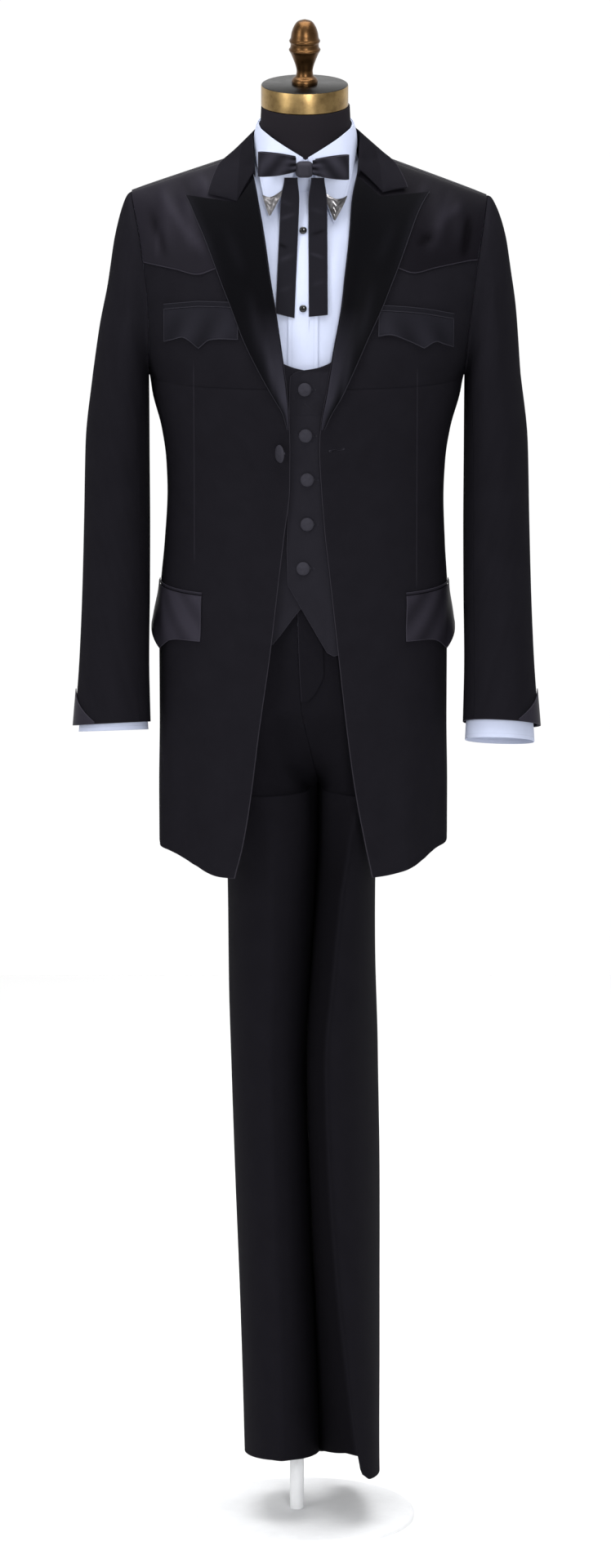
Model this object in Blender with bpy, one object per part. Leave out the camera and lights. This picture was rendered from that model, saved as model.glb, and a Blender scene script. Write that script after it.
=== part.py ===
"""A western tuxedo on a dress form: coat, waistcoat, trousers, dress shirt and bow tie.

Metres, +Z up, the front faces -Y, the middle of the round base is the origin.
Left and right are the wearer's: the left side lies at +X.
"""
import math

import bpy
import numpy as np

# Seams and walls
SEAM = 0.00015
COAT_WALL = 0.0020
VEST_WALL = 0.0016
TROUSER_WALL = 0.0016
SHIRT_WALL = 0.0010
SATIN_WALL = 0.0012

# The coat's torso: heights of the underarm and of the shoulder tip
UNDERARM = 1.485
TIP = 1.713
BODY_POWER = 2.4
FRONT_CLOSING = 2.2
BACK_CLOSING = 3.0
NECK_X = 0.070
SHOULDER_AT_NECK = 1.7635
SHOULDER_NECK_X = 0.065
SHOULDER_SLOPE = {"right": 0.329, "left": 0.366}
MIDDLE_SLOPE = 0.348

# Depths of the layers below the coat's outer face
VEST_INSET = 0.0050
VEST_UNDERLAP = 0.0032
VEST_SHOULDER = 0.0010
SHIRT_UPPER_INSET = 0.0110

SIDES = {"right": -1.0, "left": 1.0}


def table(names, rows):
    """A short table: one array for each named column."""
    return dict(zip(names.split(), np.array(rows, dtype=float).T))


BODY = table("level half_width front back", [
    (0.860, 0.1812, 0.130, 0.136),
    (0.960, 0.1815, 0.129, 0.135),
    (1.050, 0.1804, 0.128, 0.132),
    (1.147, 0.1806, 0.127, 0.125),
    (1.210, 0.1800, 0.125, 0.115),
    (1.270, 0.1757, 0.122, 0.104),
    (1.336, 0.1727, 0.121, 0.098),
    (1.378, 0.1744, 0.124, 0.102),
    (1.420, 0.1805, 0.129, 0.110),
    (1.4617, 0.1917, 0.133, 0.118),
    (1.485, 0.1958, 0.134, 0.121),
    (1.497, 0.2000, 0.134, 0.122),
    (1.520, 0.2090, 0.134, 0.124),
    (1.555, 0.2210, 0.132, 0.126),
    (1.600, 0.2330, 0.129, 0.128),
    (1.645, 0.2420, 0.126, 0.127),
    (1.690, 0.2480, 0.122, 0.124),
    (1.713, 0.2530, 0.120, 0.122),
])
CENTRE = table("height x", [
    (0.860, -0.0030), (1.147, -0.0030), (1.210, -0.0020), (1.336, 0.0), (1.4617, 0.0010),
    (1.485, 0.0015), (1.540, 0.0035), (1.600, 0.0060), (1.660, 0.0060), (1.713, 0.0045),
])
ARMHOLE = table("level x", [
    (1.485, 0.1955), (1.540, 0.1976), (1.580, 0.2005), (1.610, 0.2040), (1.655, 0.2100),
    (1.713, 0.2203),
])
COAT_EDGE = table("height right left", [
    (0.868, 0.0880, 0.0850), (0.910, 0.0780, 0.0755), (0.980, 0.0670, 0.0620),
    (1.045, 0.0590, 0.0530), (1.155, 0.0436, 0.0405), (1.250, 0.0325, 0.0300),
    (1.300, 0.0265, 0.0243), (1.360, 0.0195, 0.0195), (1.410, 0.0190, 0.0171),
    (1.445, 0.0198, 0.0191), (1.475, 0.0218, 0.0245), (1.5236, 0.0281, 0.0321),
    (1.600, 0.0400, 0.0450), (1.660, 0.0485, 0.0525), (1.720, 0.0580, 0.0597),
    (1.765, 0.0700, 0.0700),
])
COAT_HEM = table("turn height", [
    (0, 0.8650), (28, 0.8670), (46, 0.8775), (65, 0.8910), (90, 0.8930), (135, 0.8900),
    (180, 0.8880),
])
COAT_HEM_FADE = 1.000
COAT_LEVELS = (0.867, 0.930, 1.000, 1.080, 1.155, 1.220, 1.280, 1.336, 1.390, 1.435, 1.465)
ARMHOLE_STEP = 22.5
COAT_COLUMNS = 8
BACK_COLUMNS = 7
COAT_NECK_Y = 0.0785

LAPEL = table("inner_z outer_z right left", [
    (1.4360, 1.4360, 0.0225, 0.0232), (1.4550, 1.4550, 0.0275, 0.0318),
    (1.4750, 1.4750, 0.0385, 0.0430), (1.5050, 1.5050, 0.0552, 0.0570),
    (1.5480, 1.5480, 0.0766, 0.0757), (1.5920, 1.5920, 0.0935, 0.0960),
    (1.6300, 1.6300, 0.1079, 0.1122), (1.6640, 1.6640, 0.1213, 0.1253),
    (1.6920, 1.6910, 0.1330, 0.1368), (1.7160, 1.7060, 0.1400, 0.1452),
    (1.7340, 1.7145, 0.1452, 0.1514),
])
LAPEL_GORGE_AT = {"right": 0.24, "left": 0.33}
LAPEL_GORGE_DIP = {"right": 0.0208, "left": 0.0160}
LAPEL_LIFT = 0.0034
LAPEL_WALL = 0.0014

COLLAR = table("along fold_x fold_y fold_z edge_x edge_y stand lift sag", [
    (0.0, 0.0628, -0.0565, 1.7430, 0.1235, -0.0545, 0.0040, 0.0104, 0.0300),
    (0.25, 0.0652, -0.0300, 1.7720, 0.1130, -0.0300, 0.0100, 0.0050, 0.0080),
    (0.5, 0.0664, 0.0000, 1.7850, 0.0985, 0.0000, 0.0190, 0.0055, 0.0),
    (0.75, 0.0520, 0.0520, 1.7890, 0.0780, 0.0560, 0.0250, 0.0075, 0.0),
    (1.0, 0.0000, 0.0760, 1.7910, 0.0000, 0.0900, 0.0270, 0.0080, 0.0),
])
# Where each end of the collar meets the lapel, how far it dips there and how far forward it lies
COLLAR_END = table("side at dip forward", [(-1, 0.38, 0.0180, 0.0077), (1, 0.50, 0.0130, 0.0020)])
COLLAR_END_FADE = 0.30
COLLAR_WALL = 0.0016

# Largest folds of the coat: across is 3 mm for each degree of turn, from 0 at the middle front
FOLD_ACROSS = 0.0030
FOLD_REACH = 0.0025
COAT_FOLDS = {
    "right": table("x0 z0 x1 z1 width size", [
        (0.095, 0.600, 0.090, 1.130, 0.024, 0.0040), (0.150, 0.620, 0.152, 1.100, 0.022, -0.0034),
        (0.215, 0.600, 0.212, 1.120, 0.026, 0.0048), (0.330, 0.560, 0.335, 1.180, 0.028, -0.0050),
        (0.400, 0.560, 0.405, 1.200, 0.028, 0.0060), (0.465, 0.600, 0.462, 1.150, 0.024, -0.0036),
        (0.450, 1.610, 0.350, 1.330, 0.026, 0.0036), (0.370, 1.350, 0.490, 1.290, 0.024, 0.0032),
    ]),
    "left": table("x0 z0 x1 z1 width size", [
        (0.085, 0.610, 0.088, 1.110, 0.022, -0.0030), (0.130, 0.590, 0.126, 1.130, 0.024, 0.0044),
        (0.205, 0.620, 0.208, 1.090, 0.024, -0.0036), (0.318, 0.560, 0.322, 1.170, 0.028, 0.0056),
        (0.385, 0.570, 0.380, 1.150, 0.026, -0.0048), (0.450, 0.560, 0.452, 1.200, 0.026, 0.0056),
        (0.460, 1.600, 0.355, 1.340, 0.026, 0.0038), (0.360, 1.310, 0.480, 1.340, 0.024, 0.0030),
    ]),
}
YOKE_FOLDS = {
    "right": table("x0 z0 x1 z1 width size", [
        (0.150, 1.722, 0.143, 1.628, 0.0090, 0.0026), (0.178, 1.718, 0.170, 1.630, 0.0085, 0.0024),
        (0.128, 1.715, 0.126, 1.640, 0.0080, 0.0018),
    ]),
    "left": table("x0 z0 x1 z1 width size", [
        (0.160, 1.718, 0.152, 1.632, 0.0090, 0.0018), (0.182, 1.712, 0.180, 1.640, 0.0080, 0.0014),
    ]),
}
YOKE_LIFT = 0.0006
YOKE_LEVELS = np.array((1.6426, 1.6796, 1.7043, 1.7115, 1.71299))
YOKE_RIDGE = {"front": 1.71299, "back": 1.712999}
YOKE_BACK_LEVEL = 1.599
YOKE_FIRST_COLUMN = 1
YOKE_FRONT = table("x height", [
    (0.080, 1.6420), (0.1100, 1.6320), (0.1340, 1.6240), (0.1600, 1.6290), (0.2000, 1.6345),
])
YOKE_BACK = table("x height", [
    (0.0, 1.5950), (0.050, 1.6150), (0.100, 1.6270), (0.200, 1.6345),
])

WELT_LIFT = 0.0007
WELT_HEIGHT = 0.0068
WELT_WALL = 0.0016
FLAP_LIFT = 0.0007
HIP_FLAP_LIFT = 0.0013
CHEST_FLAP = {
    "right": table("x top bottom", [
        (0.0830, 1.5850, 1.5468), (0.1000, 1.5850, 1.5468), (0.1166, 1.5850, 1.5450),
        (0.1308, 1.5848, 1.5340), (0.1500, 1.5822, 1.5460), (0.1620, 1.5804, 1.5425),
        (0.1740, 1.5782, 1.5385),
    ]),
    "left": table("x top bottom", [
        (0.0886, 1.5800, 1.5500), (0.1005, 1.5796, 1.5515), (0.1247, 1.5772, 1.5435),
        (0.1440, 1.5744, 1.5332), (0.1592, 1.5712, 1.5401), (0.1700, 1.5685, 1.5360),
        (0.1815, 1.5655, 1.5312),
    ]),
}
CHEST_FLAP_POINT = 3
HIP_FLAP = table("turn top bottom flare", [
    (41, 1.2210, 1.1640, 0.0), (52, 1.2212, 1.1632, 0.0), (63, 1.2216, 1.1590, 0.0010),
    (74, 1.2220, 1.1450, 0.0030), (84, 1.2222, 1.1570, 0.0060), (96, 1.2222, 1.1660, 0.0095),
])

SLEEVE = table("along outer_x outer_z inner_x inner_z middle_y half_depth pitch armhole", [
    (0, 0.2203, 1.7130, 0.1955, 1.4850, 0.000, 0.0690, 0, 1.0),
    (1, 0.2310, 1.7060, 0.1966, 1.4848, 0.000, 0.0700, 0, 0.6),
    (2, 0.2385, 1.6850, 0.1966, 1.4838, 0.000, 0.0720, 0, 0.3),
    (3, 0.2447, 1.6480, 0.1966, 1.4800, 0.000, 0.0750, 0, 0.0),
    (4, 0.2510, 1.6050, 0.1965, 1.4720, 0.000, 0.0780, 0, 0.0),
    (5, 0.2590, 1.5550, 0.1964, 1.4560, 0.000, 0.0810, 0, 0.0),
    (6, 0.2668, 1.4850, 0.1963, 1.4250, 0.001, 0.0825, 0, 0.0),
    (7, 0.2762, 1.4000, 0.1962, 1.3750, 0.001, 0.0810, 2, 0.0),
    (8, 0.2785, 1.3050, 0.1958, 1.3000, -0.005, 0.0760, 5, 0.0),
    (9, 0.2810, 1.2150, 0.1962, 1.2150, -0.015, 0.0700, 8, 0.0),
    (10, 0.2850, 1.1250, 0.1972, 1.1300, -0.030, 0.0630, 11, 0.0),
    (11, 0.2912, 1.0460, 0.1955, 1.0510, -0.045, 0.0560, 13, 0.0),
])
# Folds of the sleeves: across is 1.2 mm for each degree of turn, along 70 mm for each station
SLEEVE_ACROSS = 0.0012
SLEEVE_ALONG = 0.070
SLEEVE_FOLDS = {
    "right": table("x0 z0 x1 z1 width size", [
        (0.020, 0.545, 0.165, 0.515, 0.018, -0.0038), (0.030, 0.595, 0.150, 0.610, 0.018, -0.0034),
        (0.060, 0.070, 0.085, 0.430, 0.018, -0.0030), (-0.060, 0.120, -0.085, 0.560, 0.020, 0.0030),
        (-0.150, 0.520, -0.040, 0.600, 0.020, 0.0024),
    ]),
    "left": table("x0 z0 x1 z1 width size", [
        (0.025, 0.505, 0.160, 0.535, 0.018, -0.0036), (0.030, 0.610, 0.160, 0.580, 0.018, -0.0036),
        (0.055, 0.080, 0.080, 0.410, 0.018, -0.0028), (-0.065, 0.100, -0.080, 0.540, 0.020, 0.0030),
        (-0.150, 0.600, -0.040, 0.530, 0.020, 0.0024),
    ]),
}
SLEEVE_PITCH = {"right": 0.90, "left": 1.25}
SLEEVE_SEAM_TURN = 135.0
SLEEVE_SEAM_GAP = 0.2
SLEEVE_POWER = 2.15
CUFF_PATCH_TURN = 66.0
CUFF_PATCH_RISE = 0.55
CUFF_PATCH_LIFT = 0.0010

BUTTON_RADIUS = 0.0112
BUTTON_PLACE = (-0.0305, -0.1345, 1.4060)
BUTTON_YAW = 62.0

VEST_LEVELS = (1.152, 1.205, 1.2592, 1.3146, 1.3709, 1.4271, 1.452, 1.462, 1.4853, 1.5010,
               1.5060, 1.5180, 1.555, 1.599, 1.643, 1.6796, 1.7043, 1.713)
VEST_HEM_FADE = 1.300
VEST_EDGE = table("height under over", [
    (1.140, -0.0180, -0.0243), (1.240, -0.0180, -0.0243), (1.360, -0.0180, -0.0212),
    (1.470, -0.0180, -0.0201), (1.502, -0.0150, -0.0190), (1.508, -0.0020, -0.0080),
    (1.5120, 0.0150, 0.0150), (1.5200, 0.0330, 0.0330), (1.5500, 0.0560, 0.0560),
    (1.6200, 0.0780, 0.0780), (1.7650, 0.0920, 0.0920),
])
VEST_ARMHOLE = table("level turn", [
    (1.452, 90.0), (1.456, 80.0), (1.464, 71.0), (1.480, 61.0), (1.500, 53.5), (1.530, 46.5),
    (1.570, 41.5), (1.640, 37.5), (1.713, 36.0),
])
VEST_HEM_OVER = table("x height", [
    (-0.026, 1.2420), (-0.0243, 1.2389), (0.0304, 1.1471), (0.0410, 1.1505), (0.100, 1.170),
    (0.1755, 1.186),
])
VEST_HEM_UNDER = table("x height", [
    (-0.018, 1.2300), (0.0061, 1.2100), (0.0395, 1.1646), (0.0480, 1.1590), (0.100, 1.170),
    (0.1755, 1.186),
])
VEST_HEM_BACK = 1.186
VEST_BACK_LEVELS = (1.186, 1.250, 1.336, 1.400, 1.452, 1.462, 1.4853, 1.518, 1.555, 1.599, 1.643,
                    1.6796, 1.7043, 1.713)
VEST_NECK_Y = 0.0800
VEST_NECK_X = 0.092
VEST_BUTTONS = table("x height", [
    (-0.0010, 1.4853), (0.0000, 1.4271), (0.0020, 1.3709), (0.0020, 1.3146), (-0.0030, 1.2592),
])
VEST_BUTTON_RADIUS = 0.0084
VEST_BUTTON_HEIGHT = 0.0042

WAIST_TOP = 1.262
WAISTBAND_HEIGHT = 0.038
CROTCH = 0.965
RISE_TOP = 1.075
BLOCK = table("height half_width front back", [
    (0.940, 0.1120, 0.0960, 0.1050), (0.965, 0.1220, 0.0995, 0.1100),
    (1.000, 0.1370, 0.1040, 0.1170), (1.050, 0.1550, 0.1090, 0.1195),
    (1.100, 0.1650, 0.1120, 0.1190), (1.150, 0.1685, 0.1130, 0.1140),
    (1.210, 0.1680, 0.1120, 0.1040), (1.262, 0.1645, 0.1095, 0.0940),
])
FLY_LINE = table("height x", [
    (0.940, 0.0155), (0.965, 0.0150), (1.000, 0.0060), (1.079, -0.0051), (1.194, -0.0101),
    (1.262, -0.0105),
])
LEG_RIGHT = table("height outer_x inner_x middle_y front back turn", [
    (0.088, -0.0782, 0.0172, 0.000, 0.086, 0.086, 0), (0.200, -0.0810, 0.0146, 0.001, 0.086, 0.087, 0),
    (0.300, -0.0842, 0.0122, 0.009, 0.086, 0.087, 0), (0.450, -0.0898, 0.0070, 0.012, 0.087, 0.089, 0),
    (0.600, -0.0945, 0.0030, 0.012, 0.088, 0.091, 0), (0.700, -0.0972, 0.0065, 0.012, 0.088, 0.092, 0),
    (0.834, -0.0985, 0.0135, 0.010, 0.090, 0.097, 0), (0.900, -0.1010, 0.0155, 0.006, 0.093, 0.100, 0),
    (0.965, -0.1220, 0.0155, 0.004, 0.099, 0.107, 0), (1.075, -0.1500, 0.0155, 0.004, 0.105, 0.115, 0),
])
LEG_LEFT = table("height outer_x inner_x middle_y front back turn", [
    (0.066, 0.0937, 0.0177, 0.000, 0.104, 0.104, 5.7), (0.200, 0.0950, 0.0152, 0.000, 0.102, 0.103, -0.9),
    (0.330, 0.0936, 0.0124, 0.000, 0.100, 0.101, -6.5), (0.478, 0.0913, 0.0082, 0.000, 0.097, 0.098, -10.5),
    (0.611, 0.0882, 0.0054, 0.000, 0.094, 0.096, -12.0), (0.739, 0.0871, 0.0093, 0.002, 0.092, 0.096, -6.8),
    (0.834, 0.0880, 0.0142, 0.002, 0.091, 0.097, -3.0), (0.900, 0.0960, 0.0160, 0.003, 0.093, 0.100, 0),
    (0.965, 0.1220, 0.0157, 0.004, 0.099, 0.107, 0), (1.075, 0.1500, 0.0155, 0.004, 0.105, 0.115, 0),
])
CREASE_SIZE = 0.0035
CREASE_WIDTH = 9.0
CREASE_TOP = 1.020
LEG_HEIGHTS = {
    "right": (0.088, 0.250, 0.430, 0.600, 0.750, 0.865, 0.935, 0.965),
    "left": (0.066, 0.240, 0.430, 0.600, 0.750, 0.865, 0.935, 0.965),
}
BLOCK_HEIGHTS = (0.972, 0.992, 1.030, 1.075, 1.140)
HEM_RISE = 0.011
# The left hem's front is held up between its crease and inseam: turn, and height added
HEM_LEFT = table("turn rise", [
    (0, 0.0), (66, 0.0), (84, 0.010), (90, 0.034), (112, 0.036), (150, 0.030), (180, 0.024),
])
HEM_RISE_FADE = 0.50
TROUSER_COLUMNS = 8
TROUSER_FOLDS = {
    ("right", False): table("x0 z0 x1 z1 width size", [
        (0.246, 1.300, 0.226, 0.820, 0.017, -0.0050), (0.205, 1.250, 0.188, 0.780, 0.018, 0.0030),
        (0.070, 0.560, 0.190, 0.520, 0.030, -0.0020), (0.060, 0.230, 0.200, 0.210, 0.030, -0.0020),
    ]),
    ("left", False): table("x0 z0 x1 z1 width size", [
        (0.215, 1.240, 0.205, 0.800, 0.018, 0.0030), (0.170, 1.200, 0.160, 0.760, 0.018, -0.0030),
        (0.060, 0.600, 0.180, 0.570, 0.030, -0.0020), (0.050, 0.200, 0.170, 0.170, 0.030, -0.0020),
    ]),
    ("right", True): table("x0 z0 x1 z1 width size", [
        (0.190, 1.120, 0.060, 0.900, 0.022, -0.0040), (0.060, 0.640, 0.200, 0.600, 0.028, -0.0030),
        (0.070, 0.480, 0.190, 0.510, 0.028, 0.0020), (0.060, 0.220, 0.200, 0.180, 0.030, -0.0030),
    ]),
    ("left", True): table("x0 z0 x1 z1 width size", [
        (0.195, 1.110, 0.070, 0.880, 0.022, -0.0040), (0.070, 0.610, 0.190, 0.640, 0.028, -0.0030),
        (0.060, 0.500, 0.200, 0.470, 0.028, 0.0020), (0.060, 0.190, 0.200, 0.160, 0.030, -0.0030),
    ]),
}
TROUSER_POWER = 2.05
FLY_WIDTH = 0.0300
FLY_BOTTOM = 1.090
FLY_LIFT = 0.0006
FLY_WALL = 0.0010

SHIRT_INSET = table("level depth", [
    (1.120, 0.0200), (1.262, 0.0185), (1.330, 0.0170), (1.420, 0.0155), (1.485, 0.0138),
    (1.560, 0.0119), (1.713, 0.0115),
])
SHIRT_LEVELS = (1.150, 1.255, 1.345, 1.425, 1.472, 1.497)
SHIRT_UNDERARM = 1.497
SHIRT_NECK_X = 0.0650
SHIRT_NECK_FRONT = 0.0680
SHIRT_NECK_BACK = 0.0655
SHIRT_COLUMNS = 7
SHIRT_SLEEVE = table("along outer_x outer_z inner_x inner_z middle_y half_depth pitch armhole", [
    (0, 0.2070, 1.7000, 0.1860, 1.4970, 0.000, 0.0580, 0, 1.0),
    (1, 0.2230, 1.6830, 0.2050, 1.4950, 0.000, 0.0600, 0, 0.4),
    (2, 0.2390, 1.6100, 0.2056, 1.4820, 0.000, 0.0660, 0, 0.0),
    (3, 0.2540, 1.5000, 0.2056, 1.4400, 0.001, 0.0700, 0, 0.0),
    (4, 0.2680, 1.3700, 0.2056, 1.3500, 0.000, 0.0670, 3, 0.0),
    (5, 0.2715, 1.2300, 0.2060, 1.2300, -0.012, 0.0590, 8, 0.0),
    (6, 0.2770, 1.1200, 0.2070, 1.1220, -0.030, 0.0480, 11, 0.0),
])
SHIRT_CUFF = table("along outer_x outer_z inner_x inner_z middle_y half_depth pitch armhole", [
    (0, 0.2795, 1.1000, 0.2030, 1.1020, -0.0340, 0.0480, 11, 0.0),
    (1, 0.2860, 1.0420, 0.1983, 1.0450, -0.0450, 0.0505, 13, 0.0),
])
CUFF_SHOWS = {"right": 0.0040, "left": 0.0170}
CUFF_SLIT_TURN = 9.0
SHIRT_SLEEVE_STEP = 36.0

STAND_TOP = table("turn x y height", [
    (0, 0.0, -0.0670, 1.7612), (45, 0.0440, -0.0480, 1.7850), (90, 0.0587, 0.0, 1.7985),
    (135, 0.0425, 0.0425, 1.8050), (180, 0.0, 0.0590, 1.8070),
])
FALL = table("along fold_x fold_y fold_z edge_x edge_y edge_z", [
    (0.0, 0.0030, -0.0720, 1.7650, 0.0400, -0.0905, 1.6910),
    (0.11, 0.0240, -0.0660, 1.7772, 0.0500, -0.0770, 1.7160),
    (0.22, 0.0430, -0.0525, 1.7885, 0.0565, -0.0560, 1.7420),
    (0.5, 0.0592, 0.0, 1.7991, 0.0632, 0.0, 1.7730),
    (0.75, 0.0430, 0.0430, 1.8056, 0.0470, 0.0500, 1.7740),
    (1.0, 0.0, 0.0595, 1.8076, 0.0, 0.0680, 1.7740),
])
FALL_POINT = {"right": (0.0032, 0.0024), "left": (-0.0055, -0.0036)}
FALL_POINT_FADE = 0.22
TIP_ALONG = 0.120
TIP_ACROSS = 0.50
TIP_NOTCH = 0.16
PLACKET_X = (-0.0221, 0.0151)
PLACKET_LOW = 1.160
PLACKET_LIFT = 0.0009
PLACKET_WALL = 0.0009
STUDS = table("x height", [(-0.0030, 1.6779), (-0.0030, 1.5842)])
STUD_RADIUS = 0.0046
STUD_HEIGHT = 0.0032

LOOP_PATH = table("along x y height", [
    (0.0, 0.0100, -0.0955, 0.0180), (0.15, 0.0200, -0.0985, 0.0225), (0.32, 0.0370, -0.1000, 0.0280),
    (0.46, 0.0520, -0.0955, 0.0305), (0.52, 0.0545, -0.0905, 0.0305), (0.60, 0.0500, -0.0855, 0.0300),
    (0.80, 0.0300, -0.0830, 0.0250), (1.0, 0.0120, -0.0840, 0.0185),
])
LOOP_MIDDLE = 1.7590
LOOP_DROP = {"right": -0.0005, "left": 0.0031}
LOOP_REACH = {"right": 1.075, "left": 1.0}
LOOP_WALL = 0.0013
KNOT_HALF = (0.0112, 0.0103, 0.0095)
KNOT_PLACE = (-0.0014, -0.0878, 1.7525)
TAIL = table("height y inset", [
    (1.7424, -0.0880, 0.0), (1.7000, -0.0920, 0.0), (1.6800, -0.0955, 0.0),
    (1.6600, -0.1002, 0.0), (1.6400, -0.1048, 0.0), (1.6050, -0.1132, 0.0),
    (1.5755, -0.1190, 0.0),
])
TAIL_TOP_X = {"right": -0.0178, "left": 0.0150}
TAIL_LOW_X = {"right": -0.0252, "left": 0.0158}
TAIL_BACK = {"right": 0.0013, "left": 0.0}
TAIL_HALF_WIDTH = 0.0117
TAIL_WALL = 0.0012

FORM = table("height half_width front back middle_y tilt", [
    (1.060, 0.118, 0.080, 0.085, 0, 0), (1.064, 0.132, 0.091, 0.096, 0, 0),
    (1.080, 0.146, 0.099, 0.104, 0, 0),
    (1.150, 0.153, 0.1020, 0.0980, 0, 0), (1.210, 0.1540, 0.1010, 0.0890, 0, 0),
    (1.270, 0.1520, 0.0985, 0.0795, 0, 0), (1.336, 0.1500, 0.0995, 0.0775, 0, 0),
    (1.400, 0.1560, 0.1070, 0.0870, 0, 0), (1.460, 0.1670, 0.1150, 0.1000, 0, 0),
    (1.550, 0.1720, 0.1120, 0.1100, 0, 0), (1.600, 0.1720, 0.1040, 0.1080, 0, 0),
    (1.645, 0.1690, 0.0960, 0.1030, 0, 0), (1.680, 0.1560, 0.0850, 0.0960, 0, 0),
    (1.703, 0.1340, 0.0755, 0.0850, 0, 0),
    (1.720, 0.1100, 0.0670, 0.0750, 0, 0), (1.735, 0.0870, 0.0620, 0.0660, -0.001, 0),
    (1.742, 0.0650, 0.0590, 0.0600, -0.0015, 0), (1.750, 0.0600, 0.0580, 0.0590, -0.002, 0),
    (1.770, 0.0575, 0.0565, 0.0570, -0.003, 0), (1.795, 0.0562, 0.0550, 0.0550, -0.005, 3),
    (1.8215, 0.0548, 0.0548, 0.0548, -0.007, 6),
])
FORM_SIDES = 18
FORM_NECK = 1.743
FORM_NECK_RADIUS = 0.0570
FORM_CLEARANCE = 0.0170
FORM_DROP = 0.0070
CAP_RADIUS = 0.0540
CAP_HEIGHT = 0.0270
CAP_TILT = 6.0
CAP_BASE = (-0.0010, -0.0072, 1.8219)
FINIAL_PROFILE = (
    (0.0160, 0.0000), (0.0162, 0.0030), (0.0150, 0.0065), (0.0108, 0.0105), (0.0100, 0.0160),
    (0.0112, 0.0225), (0.0150, 0.0330), (0.0176, 0.0390), (0.0196, 0.0430), (0.0178, 0.0460),
    (0.0174, 0.0500), (0.0192, 0.0540), (0.0174, 0.0575), (0.0166, 0.0630), (0.0140, 0.0710),
    (0.0085, 0.0785), (0.0, 0.0812),
)
POLE_RADIUS = 0.0090
POLE_X = -0.0110
POLE_TOP = 1.0597
BASE_RADIUS = 0.140
BASE_HEIGHT = 0.010

COLOURS = {
    "coat cloth": (0.013, 0.012, 0.015, 0.85, 0.0),
    "satin": (0.020, 0.018, 0.022, 0.40, 0.0),
    "light satin": (0.045, 0.042, 0.050, 0.42, 0.0),
    "trouser cloth": (0.011, 0.011, 0.014, 0.85, 0.0),
    "vest cloth": (0.017, 0.016, 0.021, 0.80, 0.0),
    "shirt cloth": (0.78, 0.84, 0.98, 0.75, 0.0),
    "silver": (0.70, 0.70, 0.71, 0.25, 1.0),
    "black stud": (0.010, 0.010, 0.011, 0.20, 0.0),
    "form linen": (0.024, 0.022, 0.026, 0.90, 0.0),
    "brass": (0.52, 0.38, 0.18, 0.32, 1.0),
    "bronze": (0.20, 0.12, 0.05, 0.30, 1.0),
    "painted steel": (0.62, 0.62, 0.63, 0.45, 0.0),
}


def smooth(at, places, values):
    """Monotone cubic reading of values given at rising places."""
    step = np.diff(places)
    slope = np.diff(values) / step
    left, right = slope[:-1], slope[1:]
    turning = left * right <= 0.0
    weight_a = 2.0 * step[1:] + step[:-1]
    weight_b = step[1:] + 2.0 * step[:-1]
    safe_left = np.where(turning, 1.0, left)
    safe_right = np.where(turning, 1.0, right)
    inner = np.where(turning, 0.0, (weight_a + weight_b) / (weight_a / safe_left + weight_b / safe_right))
    tangent = np.concatenate([slope[:1], inner, slope[-1:]])
    at = np.clip(np.asarray(at, dtype=float), places[0], places[-1])
    cell = np.clip(np.searchsorted(places, at, side="right") - 1, 0, len(step) - 1)
    width = step[cell]
    part = (at - places[cell]) / width
    low = (1.0 + 2.0 * part) * (1.0 - part) ** 2 * values[cell]
    low = low + part * (1.0 - part) ** 2 * width * tangent[cell]
    high = part ** 2 * (3.0 - 2.0 * part) * values[cell + 1]
    return low + high + part ** 2 * (part - 1.0) * width * tangent[cell + 1]


def read(rows, name, at):
    """One column of a table, read smoothly against its first column."""
    first = next(iter(rows))
    return smooth(at, rows[first], rows[name])


def spread(start, end, count):
    """Evenly spaced columns between two edges given row by row."""
    part = np.linspace(0.0, 1.0, count)
    start = np.asarray(start, dtype=float)
    end = np.asarray(end, dtype=float)
    return start[..., None] * (1.0 - part) + end[..., None] * part


def rounded(value, power):
    """A sine or cosine bent to a superellipse, its sign kept."""
    return np.sign(value) * np.abs(value) ** (2.0 / power)


def creases(across, height, rows):
    """Soft ridges and troughs: each runs from one place to another and dies out at its ends.

    A fold's height is its own size, times a bell across its line, times a bell along it.
    """
    total = np.zeros(np.broadcast(across, height).shape)
    for x0, z0, x1, z1, width, size in zip(*rows.values()):
        run_x, run_z = x1 - x0, z1 - z0
        reach = math.hypot(run_x, run_z)
        part = ((across - x0) * run_x + (height - z0) * run_z) / reach ** 2
        off = ((across - x0) * run_z - (height - z0) * run_x) / reach
        window = np.clip(1.0 - (2.0 * part - 1.0) ** 2, 0.0, 1.0)
        total = total + size * np.exp(-(off / width) ** 2) * window ** 1.5
    return total


def make_material(kind):
    """A plain principled material of its own for each object."""
    red, green, blue, roughness, metallic = COLOURS[kind]
    material = bpy.data.materials.new(kind)
    material.use_nodes = True
    shader = material.node_tree.nodes["Principled BSDF"]
    shader.inputs["Base Color"].default_value = (red, green, blue, 1.0)
    shader.inputs["Roughness"].default_value = roughness
    shader.inputs["Metallic"].default_value = metallic
    return material


def enclosed_volume(points, faces):
    """Signed volume inside a closed mesh, positive when its faces point out."""
    total = 0.0
    for face in faces:
        anchor = points[face[0]]
        for second, third in zip(face[1:-1], face[2:]):
            total += float(np.dot(anchor, np.cross(points[second], points[third])))
    return total / 6.0


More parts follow.
